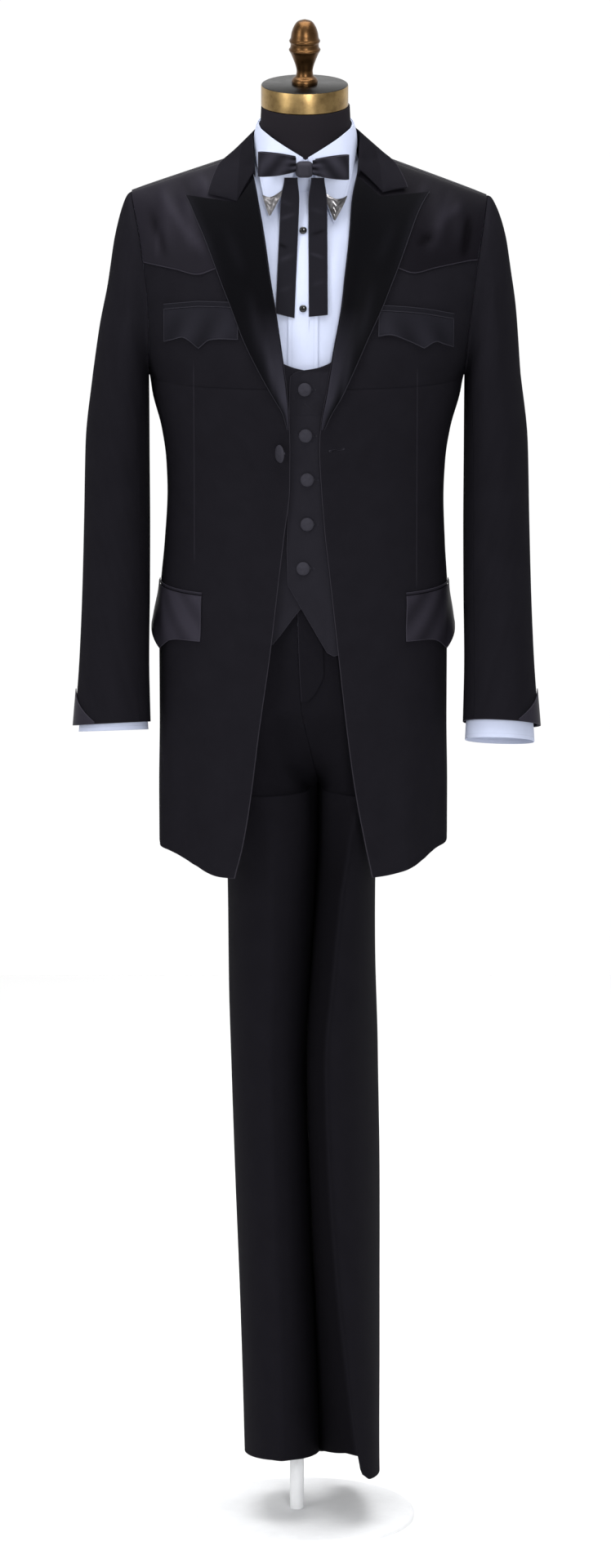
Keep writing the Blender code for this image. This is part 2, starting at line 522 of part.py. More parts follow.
def make_object(name, points, faces, kind):
    """One named closed solid, its faces turned outward."""
    if enclosed_volume(points, faces) < 0.0:
        faces = [tuple(reversed(face)) for face in faces]
    mesh = bpy.data.meshes.new(name)
    mesh.from_pydata([tuple(point) for point in points], [], faces)
    mesh.materials.append(make_material(kind))
    mesh.shade_smooth()
    mesh.set_sharp_from_angle(angle=math.radians(40.0))
    item = bpy.data.objects.new(name, mesh)
    bpy.context.scene.collection.objects.link(item)
    return item


def make_wall(name, outer, inner, kind, ring=False):
    """A cloth wall between two matching grids; a ring joins its first and last columns."""
    rows, columns = outer.shape[:2]
    count = rows * columns
    points = np.vstack([outer.reshape(-1, 3), inner.reshape(-1, 3)])
    index = np.arange(count).reshape(rows, columns)
    if ring:
        index = np.hstack([index, index[:, :1]])
    faces = []
    for row in range(rows - 1):
        for column in range(index.shape[1] - 1):
            a = int(index[row, column])
            b = int(index[row, column + 1])
            c = int(index[row + 1, column + 1])
            d = int(index[row + 1, column])
            one = np.linalg.norm(points[a] - points[c])
            other = np.linalg.norm(points[b] - points[d])
            halves = ((a, b, c), (a, c, d)) if one <= other else ((a, b, d), (b, c, d))
            for half in halves:
                faces.append(half)
                faces.append(tuple(corner + count for corner in reversed(half)))
    border = [list(index[0]), list(index[-1][::-1])]
    if not ring:
        border[0] += list(index[1:, -1]) + list(index[-1][::-1][1:]) + list(index[1:-1, 0][::-1])
        border = [border[0] + border[0][:1]]
    for edge in border:
        for start, end in zip(edge[:-1], edge[1:]):
            start, end = int(start), int(end)
            faces.append((end, start, start + count, end + count))
    return make_object(name, points, faces, kind)


def make_stack(name, rings, kind):
    """A closed solid through a stack of rings, flat at its two ends."""
    rows, columns = rings.shape[:2]
    faces = []
    for row in range(rows - 1):
        for column in range(columns):
            after = (column + 1) % columns
            low = row * columns
            high = low + columns
            faces.append((low + column, low + after, high + after, high + column))
    faces.append(tuple(reversed(range(columns))))
    faces.append(tuple(range((rows - 1) * columns, rows * columns)))
    return make_object(name, rings.reshape(-1, 3), faces, kind)


def make_turned(name, profile, sides, kind, frame):
    """A solid turned about its own axis from (radius, height) pairs; frame places its points."""
    points = []
    rings = []
    for radius, height in profile:
        if radius == 0.0:
            rings.append([len(points)])
            points.append((0.0, 0.0, height))
            continue
        rings.append(list(range(len(points), len(points) + sides)))
        for number in range(sides):
            turn = 2.0 * math.pi * number / sides
            points.append((radius * math.cos(turn), radius * math.sin(turn), height))
    faces = []
    for low, high in zip(rings[:-1], rings[1:]):
        for number in range(sides):
            after = (number + 1) % sides
            if len(low) == 1:
                faces.append((low[0], high[number], high[after]))
            elif len(high) == 1:
                faces.append((low[number], low[after], high[0]))
            else:
                faces.append((low[number], low[after], high[after], high[number]))
    if len(rings[0]) > 1:
        faces.insert(0, tuple(reversed(rings[0])))
    if len(rings[-1]) > 1:
        faces.append(tuple(rings[-1]))
    points = np.array(points) @ frame[0].T + np.array(frame[1])
    return make_object(name, points, faces, kind)


def tilt_frame(place, forward=0.0, yaw=0.0):
    """A rotation about X by forward degrees, then about Z by yaw, and a place."""
    lean, swing = math.radians(forward), math.radians(yaw)
    about_x = np.array([(1, 0, 0), (0, math.cos(lean), -math.sin(lean)), (0, math.sin(lean), math.cos(lean))])
    about_z = np.array([(math.cos(swing), -math.sin(swing), 0), (math.sin(swing), math.cos(swing), 0), (0, 0, 1)])
    return about_z @ about_x, place


def shoulder_height(side, x, inset=0.0):
    """Height of the shoulder ridge at a distance from the middle."""
    past = np.abs(x) - SHOULDER_NECK_X
    fall = SHOULDER_SLOPE[side] * np.maximum(past, 0.0) + MIDDLE_SLOPE * np.minimum(past, 0.0)
    return SHOULDER_AT_NECK - fall - inset


def closing(rise, back):
    """How far the front or the back still stands from the ridge at a share of the rise."""
    power = BACK_CLOSING if back else FRONT_CLOSING
    return np.maximum(1.0 - np.clip(rise, 0.0, 1.0) ** power, 0.0) ** (1.0 / power)


def coat_fold(side, turn, level):
    """How far the coat's folds stand out at a turn and a level."""
    fold = creases(np.asarray(turn) * FOLD_ACROSS, level, COAT_FOLDS[side])
    near_middle = np.clip((180.0 - np.asarray(turn)) / 12.0, 0.0, 1.0)
    return fold * near_middle


def on_torso(side, turn, level, inset=0.0, back=False, seam=0.0):
    """Points of the torso: turn is 0 at the middle front, 90 at the side, 180 at the middle back.

    Up to the underarm a level is a height. Above it the level rises to the shoulder ridge.
    The coat and what lies on it take the coat's folds; the layers below it don't.
    """
    turn, level = np.broadcast_arrays(turn, level)
    inset = inset - np.where(np.asarray(inset) < FOLD_REACH, coat_fold(side, turn, level), 0.0)
    turn = np.radians(turn)
    half = read(BODY, "half_width", level) - inset
    depth = read(BODY, "back" if back else "front", level) - inset
    rise = np.clip((level - UNDERARM) / (TIP - UNDERARM), 0.0, 1.0)
    reach = seam + (half - seam) * rounded(np.sin(turn), BODY_POWER)
    top = shoulder_height(side, reach, inset)
    height = np.where(level <= UNDERARM, level, UNDERARM + rise * (top - UNDERARM))
    away = SEAM + (depth - SEAM) * np.abs(rounded(np.cos(turn), BODY_POWER)) * closing(rise, back)
    x = read(CENTRE, "x", height) + SIDES[side] * reach
    return np.stack([x, away if back else -away, height], axis=-1)


def to_turn(side, x, level, inset=0.0, back=False):
    """The turn at which the torso reaches a distance x on one side of the body."""
    middle = SIDES[side] * read(CENTRE, "x", level)
    share = (np.asarray(x) - middle) / (read(BODY, "half_width", level) - inset)
    share = np.clip(share, -1.0, 1.0)
    turn = np.degrees(np.arcsin(np.sign(share) * np.abs(share) ** (BODY_POWER / 2.0)))
    return 180.0 - turn if back else turn


def to_level(side, x, height, inset=0.0):
    """The level of a height at a distance x from the middle."""
    top = shoulder_height(side, x, inset)
    rise = (height - UNDERARM) / (top - UNDERARM)
    return np.where(height <= UNDERARM, height, UNDERARM + rise * (TIP - UNDERARM))


def edge_turn(side, edge, name, levels, inset=0.0):
    """Turn along a panel's inner edge whose distances are given by height."""
    x = np.full(len(levels), 0.05)
    for _ in range(6):
        rise = np.clip((levels - UNDERARM) / (TIP - UNDERARM), 0.0, 1.0)
        top = shoulder_height(side, x, inset)
        height = np.where(levels <= UNDERARM, levels, UNDERARM + rise * (top - UNDERARM))
        x = read(edge, name, height)
    return to_turn(side, x, levels, inset)


def armhole_levels(step=ARMHOLE_STEP, bottom=UNDERARM):
    """Levels round the armhole, close together at its bottom and at the shoulder."""
    turns = np.radians(np.arange(0.0, 180.0 + step / 2.0, step))
    return bottom + (TIP - bottom) * (1.0 - np.cos(turns)) / 2.0


def armhole_turn(side, levels, edge=ARMHOLE, inset=0.0):
    """Turn at the outer edge of a front: the side seam, then the armhole above it."""
    start = edge["level"][0]
    x = read(edge, "x", levels)
    share = np.clip(x / (read(BODY, "half_width", levels) - inset), 0.0, 1.0)
    turn = np.degrees(np.arcsin(share ** (BODY_POWER / 2.0)))
    return np.where(levels <= start, 90.0, turn)


def coat_levels():
    """All rows of a coat panel, from the hem to the shoulder."""
    return np.concatenate([COAT_LEVELS, armhole_levels()])


def hem_levels(levels, hem, fade):
    """Levels of every point, the lowest row bent to the hem and the rows above fading to level."""
    levels = np.broadcast_to(levels[:, None], hem.shape).copy()
    low = levels[0, 0]
    share = np.clip((levels - low) / (fade - low), 0.0, 1.0)
    return np.where(levels < fade, hem + share * (fade - hem), levels)


def coat_front_turn(side, levels, column=None):
    """Turns of a coat front's columns, from its open edge to the side seam and armhole."""
    turn = spread(edge_turn(side, COAT_EDGE, side, levels), armhole_turn(side, levels), COAT_COLUMNS + 1)
    return turn if column is None else turn[:, column]


def coat_back_turn(side, level):
    """Turns of a coat back's columns for rows of levels, from the middle to the armhole."""
    turn = np.empty(level.shape)
    for column in range(level.shape[1]):
        levels = level[:, column]
        neck = to_turn(side, NECK_X, levels, back=True)
        arm = 180.0 - armhole_turn(side, levels)
        turn[:, column] = neck_columns(neck, np.full(len(levels), 180.0), arm, 3, BACK_COLUMNS - 3)[:, column]
    return turn


def coat_front(side):
    """A coat front with its open edge and roll line, side seam and armhole."""
    levels = coat_levels()
    turn = coat_front_turn(side, levels)
    level = hem_levels(levels, read(COAT_HEM, "height", turn), COAT_HEM_FADE)
    outer = on_torso(side, turn, level)
    inner = on_torso(side, turn, level, COAT_WALL)
    make_wall("coat_front_" + side, outer, inner, "coat cloth")


def neck_dip(side, turn, levels, neck_x, neck_y, inset=0.0, back=False):
    """Levels lowered inside the neck points, so that the neckline is an oval seen from above."""
    half = read(BODY, "half_width", levels) - inset
    depth = read(BODY, "back" if back else "front", levels) - inset
    reach = half * rounded(np.sin(np.radians(turn)), BODY_POWER)
    x = np.abs(reach + SIDES[side] * read(CENTRE, "x", 1.713))
    away = neck_y * np.sqrt(np.clip(1.0 - (x / neck_x) ** 2, 0.0, 1.0))
    power = BACK_CLOSING if back else FRONT_CLOSING
    limit = (1.0 - (away / depth) ** power) ** (1.0 / power)
    return UNDERARM + (levels - UNDERARM) * np.where(levels > UNDERARM, limit, 1.0)


def neck_columns(turn_at_neck, turn_at_middle, turn_at_arm, inside, outside):
    """Columns that meet the neck point: those inside it are closer together near it."""
    part = np.sin(np.radians(np.linspace(0.0, 90.0, inside + 1)))
    middle = np.asarray(turn_at_middle)[:, None]
    near = middle + (np.asarray(turn_at_neck)[:, None] - middle) * part
    far = spread(turn_at_neck, turn_at_arm, outside + 1)
    return np.hstack([near, far[:, 1:]])


def coat_back(side):
    """Half of the coat's back, from the middle seam to the side seam and armhole."""
    levels = coat_levels()
    neck = to_turn(side, NECK_X, levels, back=True)
    arm = 180.0 - armhole_turn(side, levels)
    turn = neck_columns(neck, np.full(len(levels), 180.0), arm, 3, BACK_COLUMNS - 3)
    level = hem_levels(levels, read(COAT_HEM, "height", turn), COAT_HEM_FADE)
    level = neck_dip(side, turn, level, NECK_X, COAT_NECK_Y, back=True)
    outer = on_torso(side, turn, level, back=True, seam=SEAM)
    inner = on_torso(side, turn, level, COAT_WALL, back=True, seam=SEAM)
    make_wall("coat_back_" + side, outer, inner, "coat cloth")


def lay_on_front(name, side, x, height, lift, wall, kind, flare=0.0):
    """A piece laid on the coat's front: x and height are grids, lift its distance from the cloth."""
    level = to_level(side, x, height)
    turn = to_turn(side, x, level)
    outer = on_torso(side, turn, level, -(lift + wall + flare))
    inner = on_torso(side, turn, level, -(lift + flare))
    make_wall(name, outer, inner, kind)


def lapel(side):
    """A peaked lapel from the roll line to its outer edge, its top bent to the gorge seam."""
    inner_z, outer_z = LAPEL["inner_z"], LAPEL["outer_z"]
    outer_x = LAPEL[side]
    inner_x = read(COAT_EDGE, side, inner_z) + 0.0004
    share = np.array([0.0, LAPEL_GORGE_AT[side], 0.52, 0.76, 1.0])
    x = inner_x[:, None] + (outer_x - inner_x)[:, None] * share
    height = inner_z[:, None] + (outer_z - inner_z)[:, None] * share
    top = np.clip((inner_z - inner_z[-5]) / (inner_z[-1] - inner_z[-5]), 0.0, 1.0) ** 2
    bend = np.interp(share, (0.0, LAPEL_GORGE_AT[side], 1.0), (0.0, 1.0, 0.0))
    height = height - LAPEL_GORGE_DIP[side] * top[:, None] * bend
    lay_on_front("coat_lapel_" + side, side, x, height, LAPEL_LIFT, LAPEL_WALL, "satin")


def ridge_height(side_sign, x, y, inset=0.0):
    """Height of the torso's upper face above a point in plan."""
    side = "left" if side_sign > 0 else "right"
    back = y > 0
    level = TIP - 0.020
    half = read(BODY, "half_width", level) - inset
    depth = read(BODY, "back" if back else "front", level) - inset
    power = BACK_CLOSING if back else FRONT_CLOSING
    across = (1.0 - min(abs(x) / half, 1.0) ** BODY_POWER) ** (1.0 / BODY_POWER)
    away = min(abs(y) / (depth * across), 1.0)
    rise = (1.0 - away ** power) ** (1.0 / power)
    return UNDERARM + rise * (float(shoulder_height(side, x, inset)) - UNDERARM)


def coat_collar():
    """The turned-down collar: stand, fold and fall from one gorge round the neck to the other."""
    along = np.array([0.0, 0.12, 0.25, 0.37, 0.5, 0.62, 0.75, 0.88, 1.0])
    stations = [(-1.0, part) for part in along] + [(1.0, part) for part in along[::-1][1:]]
    outer, inner = [], []
    for sign, part in stations:
        fold = np.array([float(read(COLLAR, name, part)) for name in ("fold_x", "fold_y", "fold_z")])
        edge = np.array([float(read(COLLAR, name, part)) for name in ("edge_x", "edge_y")])
        end = {name: float(read(COLLAR_END, name, sign)) for name in ("at", "dip", "forward")}
        fade = max(0.0, 1.0 - part / COLLAR_END_FADE)
        edge[1] -= end["forward"] * fade
        lift = float(read(COLLAR, "lift", part))
        sag = float(read(COLLAR, "sag", part))
        fold[0] *= sign
        edge[0] *= sign
        middle = float(read(CENTRE, "x", 1.713))
        edge[0] += middle * 0.6
        fold[0] += 0.0010
        edge_z = ridge_height(sign, edge[0] - middle, edge[1]) + lift
        out_of_neck = np.array([fold[0], fold[1]]) / math.hypot(fold[0], fold[1])
        stand = np.array([fold[0], fold[1], fold[2] - float(read(COLLAR, "stand", part))])
        upper = [stand]
        lower = [stand + np.append(out_of_neck * COLLAR_WALL, 0.0)]
        for share in (0.0, end["at"] / 2.0, end["at"], 0.72, 1.0):
            x = fold[0] + (edge[0] - fold[0]) * share
            y = fold[1] + (edge[1] - fold[1]) * share
            bend = float(np.interp(share, (0.0, end["at"], 1.0), (0.0, 1.0, 0.0)))
            y -= end["dip"] * fade * bend
            z = fold[2] + (edge_z - fold[2]) * share - sag * bend
            if share > 0.0:
                z = max(z, ridge_height(sign, x - middle, y) + lift)
            upper.append(np.array([x, y, z + COLLAR_WALL]))
            under = np.array([x, y, z])
            if share == 0.0:
                under = np.array([x, y, z - 0.0030]) + np.append(out_of_neck * COLLAR_WALL, 0.0)
            lower.append(under)
        outer.append(upper)
        inner.append(lower)
    make_wall("coat_collar", np.array(outer), np.array(inner), "coat cloth")


def yoke_front(side):
    """The satin yoke on a front, pointed at its bottom edge and sewn in at shoulder and armhole."""
    rows = np.concatenate([[0.0], YOKE_LEVELS[:-1], [YOKE_RIDGE["front"]]])
    thick = YOKE_LIFT + SATIN_WALL
    low = np.full(COAT_COLUMNS + 1, 1.635)
    for _ in range(5):
        level = np.vstack([low[None, :], np.broadcast_to(rows[1:, None], (len(rows) - 1, len(low)))])
        turn = np.array([coat_front_turn(side, level[:, column], column) for column in range(len(low))]).T
        share = rounded(np.sin(np.radians(turn[0])), BODY_POWER)
        x = share * read(BODY, "half_width", low) + SIDES[side] * read(CENTRE, "x", low)
        low = to_level(side, x, read(YOKE_FRONT, "height", x))
    keep = slice(YOKE_FIRST_COLUMN, None)
    turn, level = turn[:, keep], level[:, keep]
    turn[:, -1] = armhole_turn(side, level[:, -1], inset=-thick)
    across = read(BODY, "half_width", level) * rounded(np.sin(np.radians(turn)), BODY_POWER)
    fold = creases(across, level, YOKE_FOLDS[side])
    fold[:, -1] = 0.0
    outer = on_torso(side, turn, level, -thick - fold)
    inner = on_torso(side, turn, level, -YOKE_LIFT - fold)
    make_wall("coat_yoke_front_" + side, outer, inner, "light satin")


def yoke_back():
    """The satin yoke across the back, pointed at the middle."""
    pieces = {}
    thick = YOKE_LIFT + SATIN_WALL
    for side in SIDES:
        low = np.full(BACK_COLUMNS + 1, 1.620)
        for _ in range(5):
            upper = np.append(YOKE_LEVELS[:-1], YOKE_RIDGE["back"])[:, None] + 0.0 * low
            first = np.maximum(YOKE_BACK_LEVEL, low + 0.2 * (YOKE_LEVELS[0] - low))
            level = np.vstack([low, first, upper])
            turn = coat_back_turn(side, level)
            share = rounded(np.sin(np.radians(turn[0])), BODY_POWER)
            x = share * read(BODY, "half_width", low) + SIDES[side] * read(CENTRE, "x", low)
            low = to_level(side, np.abs(x), read(YOKE_BACK, "height", np.abs(x)))
        turn[:, -1] = 180.0 - armhole_turn(side, level[:, -1], inset=-thick)
        level[1:] = neck_dip(side, turn[1:], level[1:], NECK_X, COAT_NECK_Y, back=True)
        pieces[side] = [on_torso(side, turn, level, -depth, back=True) for depth in (thick, YOKE_LIFT)]
    outer, inner = [np.hstack([pieces["right"][n][:, ::-1], pieces["left"][n][:, 1:]]) for n in (0, 1)]
    make_wall("coat_yoke_back", outer, inner, "light satin")


def scallop(at, places, values):
    """A flap's lower edge: one smooth curve on each side of its point."""
    point = CHEST_FLAP_POINT
    before = smooth(at, places[:point + 1], values[:point + 1])
    after = smooth(at, places[point:], values[point:])
    return np.where(at <= places[point], before, after)


def flap_grid(outline, rows, columns):
    """Grids of x and height between a flap's top and bottom edges."""
    x = np.linspace(outline["x"][0], outline["x"][-1], columns)
    x = np.sort(np.concatenate([x, outline["x"][1:-1]]))
    top = np.interp(x, outline["x"], outline["top"])
    bottom = scallop(x, outline["x"], outline["bottom"])
    share = np.linspace(0.0, 1.0, rows)[:, None]
    return np.broadcast_to(x, (rows, len(x))), bottom + (top - bottom) * share


def chest_pocket(side):
    """A pointed satin flap with its welt above."""
    outline = CHEST_FLAP[side]
    x, height = flap_grid(outline, 3, 2)
    lay_on_front("coat_chest_flap_" + side, side, x, height, FLAP_LIFT, SATIN_WALL, "satin")
    across = np.linspace(outline["x"][0], outline["x"][-1], 8)
    low = np.interp(across, outline["x"], outline["top"]) + 0.0006
    height = np.vstack([low, low + WELT_HEIGHT])
    x = np.broadcast_to(across, height.shape)
    lay_on_front("coat_chest_welt_" + side, side, x, height, WELT_LIFT, WELT_WALL, "satin")


def hip_flap(side):
    """A pointed satin flap at the hip that stands away at its outer corner."""
    turn = HIP_FLAP["turn"]
    share = np.linspace(0.0, 1.0, 4)[:, None]
    level = HIP_FLAP["top"] + (HIP_FLAP["bottom"] - HIP_FLAP["top"]) * share
    flare = HIP_FLAP["flare"] * share ** 1.5
    turn = np.broadcast_to(turn, level.shape)
    half = read(BODY, "half_width", level)
    depth = np.where(turn <= 90.0, read(BODY, "front", level), read(BODY, "back", level))
    faces = []
    fold = coat_fold(side, turn, level)
    for lift in (HIP_FLAP_LIFT + SATIN_WALL + fold, HIP_FLAP_LIFT + fold):
        angle = np.radians(turn)
        x = read(CENTRE, "x", level) + SIDES[side] * (half + lift + flare) * rounded(np.sin(angle), BODY_POWER)
        y = -(depth + lift + flare) * rounded(np.cos(angle), BODY_POWER)
        faces.append(np.stack([x, y, level], axis=-1))
    make_wall("coat_hip_flap_" + side, faces[0], faces[1], "light satin")


def sleeve_point(rows, side, along, turn, inset=0.0, bottom=UNDERARM, body_inset=0.0):
    """A point of a sleeve: turn is 0 on its outer line, 90 in front, 180 under the arm."""
    along, turn = np.broadcast_arrays(along, np.radians(turn))
    value = {name: read(rows, name, along) for name in rows}
    fold = 0.0
    if rows is SLEEVE:
        around = (np.degrees(turn) + 180.0) % 360.0 - 180.0
        fold = creases(around * SLEEVE_ACROSS, along * SLEEVE_ALONG, SLEEVE_FOLDS[side])
    outer = np.stack([value["outer_x"], value["outer_z"]])
    under = np.stack([value["inner_x"], value["inner_z"]])
    span = np.hypot(*(outer - under))
    unit = (outer - under) / span
    depth = inset - fold
    outer, under = outer - unit * depth, under + unit * depth
    share = (1.0 + rounded(np.cos(turn), SLEEVE_POWER)) / 2.0
    x, z = under + (outer - under) * share
    y = (value["half_depth"] - depth) * rounded(np.sin(turn), SLEEVE_POWER)
    ring_share = (1.0 + np.cos(turn)) / 2.0
    level = bottom + (TIP - bottom) * ring_share
    hole = armhole_ring(side, level, turn, inset, body_inset)
    mix = value["armhole"]
    pitch = np.radians(value["pitch"]) * SLEEVE_PITCH[side]
    z = z + y * np.sin(pitch)
    y = value["middle_y"] - y * np.cos(pitch)
    x = SIDES[side] * x + read(CENTRE, "x", np.maximum(z, UNDERARM))
    open_point = np.stack([x, y, z], axis=-1)
    return hole * mix[..., None] + open_point * (1.0 - mix[..., None])


def armhole_ring(side, level, turn, inset, body_inset):
    """The armhole's own curve, moved 0.3 mm out of the body and narrowed by the wall."""
    x = read(ARMHOLE, "x", level) * (1.0 - body_inset / read(BODY, "half_width", level))
    half = read(BODY, "half_width", level)
    share = np.clip(read(ARMHOLE, "x", level) / half, 0.0, 1.0)
    across = (1.0 - share ** BODY_POWER) ** (1.0 / BODY_POWER)
    rise = np.clip((level - UNDERARM) / (TIP - UNDERARM), 0.0, 1.0)
    depth_front = (read(BODY, "front", level) - body_inset) * closing(rise, False)
    depth_back = (read(BODY, "back", level) - body_inset) * closing(rise, True)
    depth = np.where(np.sin(turn) >= 0.0, depth_front, depth_back) * across
    middle = UNDERARM + rise * (shoulder_height(side, x, body_inset) - UNDERARM)
    narrow = inset * np.cos(turn)
    depth = np.maximum(depth - inset * np.abs(np.sin(turn)), 0.0)
    place = SIDES[side] * (x + 2.0 * SEAM) + read(CENTRE, "x", middle)
    return np.stack([place, -np.sign(np.sin(turn)) * depth, middle - narrow], axis=-1)


def coat_sleeve(side):
    """A two-piece sleeve: the wide top sleeve and the narrow under sleeve."""
    along = np.arange(len(SLEEVE["along"]))[:, None]
    reach = SLEEVE_SEAM_TURN - SLEEVE_SEAM_GAP
    parts = {
        "top": np.linspace(-reach, reach, 13),
        "under": np.linspace(SLEEVE_SEAM_TURN + SLEEVE_SEAM_GAP, 360.0 - SLEEVE_SEAM_TURN - SLEEVE_SEAM_GAP, 5),
    }
    for part, turns in parts.items():
        outer = sleeve_point(SLEEVE, side, along, turns[None, :])
        inner = sleeve_point(SLEEVE, side, along, turns[None, :], COAT_WALL)
        make_wall("coat_sleeve_" + part + "_" + side, outer, inner, "coat cloth")


def cuff_patch(side):
    """The satin triangle laid on the outer side of a sleeve's end."""
    turns = np.linspace(-CUFF_PATCH_TURN, CUFF_PATCH_TURN, 9)
    last = SLEEVE["along"][-1]
    rise = CUFF_PATCH_RISE * (1.0 - np.abs(turns) / CUFF_PATCH_TURN) + 0.035
    along = last - rise[None, :] * np.array([(0.0,), (0.5,), (1.0,)])
    outer = sleeve_point(SLEEVE, side, along, turns[None, :], -(CUFF_PATCH_LIFT + SATIN_WALL))
    inner = sleeve_point(SLEEVE, side, along, turns[None, :], -CUFF_PATCH_LIFT)
    make_wall("coat_cuff_patch_" + side, outer, inner, "light satin")


def coat_button():
    """The covered button, turned on its thread stem."""
    profile = ((0.0016, -0.0052), (0.0016, 0.0), (0.0090, 0.0003), (BUTTON_RADIUS, 0.0016),
               (0.0095, 0.0034), (0.0050, 0.0044), (0.0, 0.0047))
    make_turned("coat_button", profile, 14, "satin", tilt_frame(BUTTON_PLACE, 90.0, -BUTTON_YAW))


def vest_inset(turn, levels, under=False):
    """Depth of the waistcoat under the coat, more at the shoulder and at the lower front's overlap."""
    depth = VEST_INSET + VEST_SHOULDER * np.clip((levels[:, None] - 1.690) / 0.014, 0.0, 1.0)
    depth = np.broadcast_to(depth, turn.shape)
    if not under:
        return depth
    near = np.clip((32.0 - turn) / 18.0, 0.0, 1.0)
    return depth + VEST_UNDERLAP * near * near * (3.0 - 2.0 * near)


def vest_front(side):
    """A waistcoat front with its scooped neck, cut-away point and deep armhole."""
    under = side == "right"
    levels = np.array(VEST_LEVELS)
    edge = edge_turn(side, VEST_EDGE, "under" if under else "over", levels, VEST_INSET)
    arm = read(VEST_ARMHOLE, "turn", levels)
    middle = np.maximum(0.0 if side == "left" else 3.0, edge + 0.12 * (arm - edge))
    turn = np.hstack([edge[:, None], spread(middle, arm, 7)])
    hem_rows = VEST_HEM_UNDER if under else VEST_HEM_OVER
    half = read(BODY, "half_width", levels[0]) - VEST_INSET
    x = half * rounded(np.sin(np.radians(turn)), BODY_POWER) + SIDES[side] * read(CENTRE, "x", levels[0])
    hem = np.interp(x, hem_rows["x"], hem_rows["height"])
    level = hem_levels(levels, hem, VEST_HEM_FADE)
    inset = vest_inset(turn, levels, under)
    outer = on_torso(side, turn, level, inset)
    inner = on_torso(side, turn, level, inset + VEST_WALL)
    make_wall("vest_front_" + side, outer, inner, "vest cloth")


def vest_back():
    """The waistcoat's back in one piece."""
    levels = np.array(VEST_BACK_LEVELS)
    sides = {}
    for side in SIDES:
        neck = to_turn(side, VEST_NECK_X, levels, VEST_INSET, back=True)
        arm = 180.0 - read(VEST_ARMHOLE, "turn", levels)
        turn = neck_columns(neck, np.full(len(levels), 180.0), arm, 3, 3)
        level = np.broadcast_to(levels[:, None], turn.shape)
        level = neck_dip(side, turn, level, VEST_NECK_X, VEST_NECK_Y, VEST_INSET, back=True)
        inset = vest_inset(turn, levels)
        sides[side] = [on_torso(side, turn, level, inset + wall, back=True) for wall in (0.0, VEST_WALL)]
    outer, inner = [np.hstack([sides["right"][n][:, ::-1], sides["left"][n][:, 1:]]) for n in (0, 1)]
    make_wall("vest_back", outer, inner, "vest cloth")


def front_depth(side, x, height, inset):
    """How far forward the torso stands at a place of the front."""
    level = to_level(side, abs(x), height, inset)
    turn = to_turn(side, x, level, inset)
    return float(-on_torso(side, turn, level, inset)[..., 1])


def set_on_front(name, x, height, inset, profile, sides, kind):
    """A small turned piece set on the front with its face forward."""
    side = "left" if x >= 0 else "right"
    y = -front_depth(side, abs(x), height, inset) - 0.0004
    make_turned(name, profile, sides, kind, tilt_frame((x, y, height), 90.0))


def vest_buttons():
    """Five covered buttons down the waistcoat."""
    radius, height = VEST_BUTTON_RADIUS, VEST_BUTTON_HEIGHT
    profile = ((radius * 0.80, 0.0), (radius, height * 0.35), (radius * 0.82, height * 0.78), (0.0, height))
    for number, (x, z) in enumerate(zip(VEST_BUTTONS["x"], VEST_BUTTONS["height"]), start=1):
        set_on_front("vest_button_%d" % number, x, z, VEST_INSET, profile, 12, "satin")


def leg_ring(rows, side, height, turn, inset, back):
    """Half a trouser leg's ring: turn is 0 at the side seam and 180 at the inseam."""
    value = {name: read(rows, name, height) for name in rows}
    middle_x = (value["outer_x"] + value["inner_x"]) / 2.0
    half = (value["outer_x"] - value["inner_x"]) / 2.0 - SIDES[side] * inset
    depth = (value["back"] if back else value["front"]) - inset
    yaw = np.radians(value["turn"])
    sign = 1.0 if back else -1.0
    across = half * rounded(np.cos(turn), TROUSER_POWER)
    away = sign * (SEAM + (depth - SEAM) * np.abs(rounded(np.sin(turn), TROUSER_POWER)))
    x = middle_x + across * np.cos(yaw) - away * np.sin(yaw)
    y = value["middle_y"] + across * np.sin(yaw) + away * np.cos(yaw)
    return np.stack([x, y, np.broadcast_to(height, x.shape)], axis=-1)


def block_ring(side, height, turn, inset, back):
    """A quarter of the trousers' top: turn is 0 at the side seam and 180 at the middle seam."""
    half = read(BLOCK, "half_width", height) - inset
    depth = read(BLOCK, "back" if back else "front", height) - inset
    middle = read(FLY_LINE, "x", height)
    sign = 1.0 if back else -1.0
    share = rounded(np.cos(turn / 2.0), BODY_POWER)
    centre = read(CENTRE, "x", height) * (1.0 - np.abs(rounded(np.sin(turn / 2.0), BODY_POWER)))
    reach = centre + SIDES[side] * half * share
    x = reach * share + (middle + SIDES[side] * SEAM) * (1.0 - share)
    x = np.where(share > 0, centre + SIDES[side] * half * share + middle * (1.0 - share) ** 2, middle)
    x = x + SIDES[side] * SEAM * (1.0 - share)
    y = sign * (SEAM + (depth - SEAM) * np.abs(rounded(np.sin(turn / 2.0), BODY_POWER)))
    return np.stack([x, y, np.broadcast_to(height, x.shape)], axis=-1)


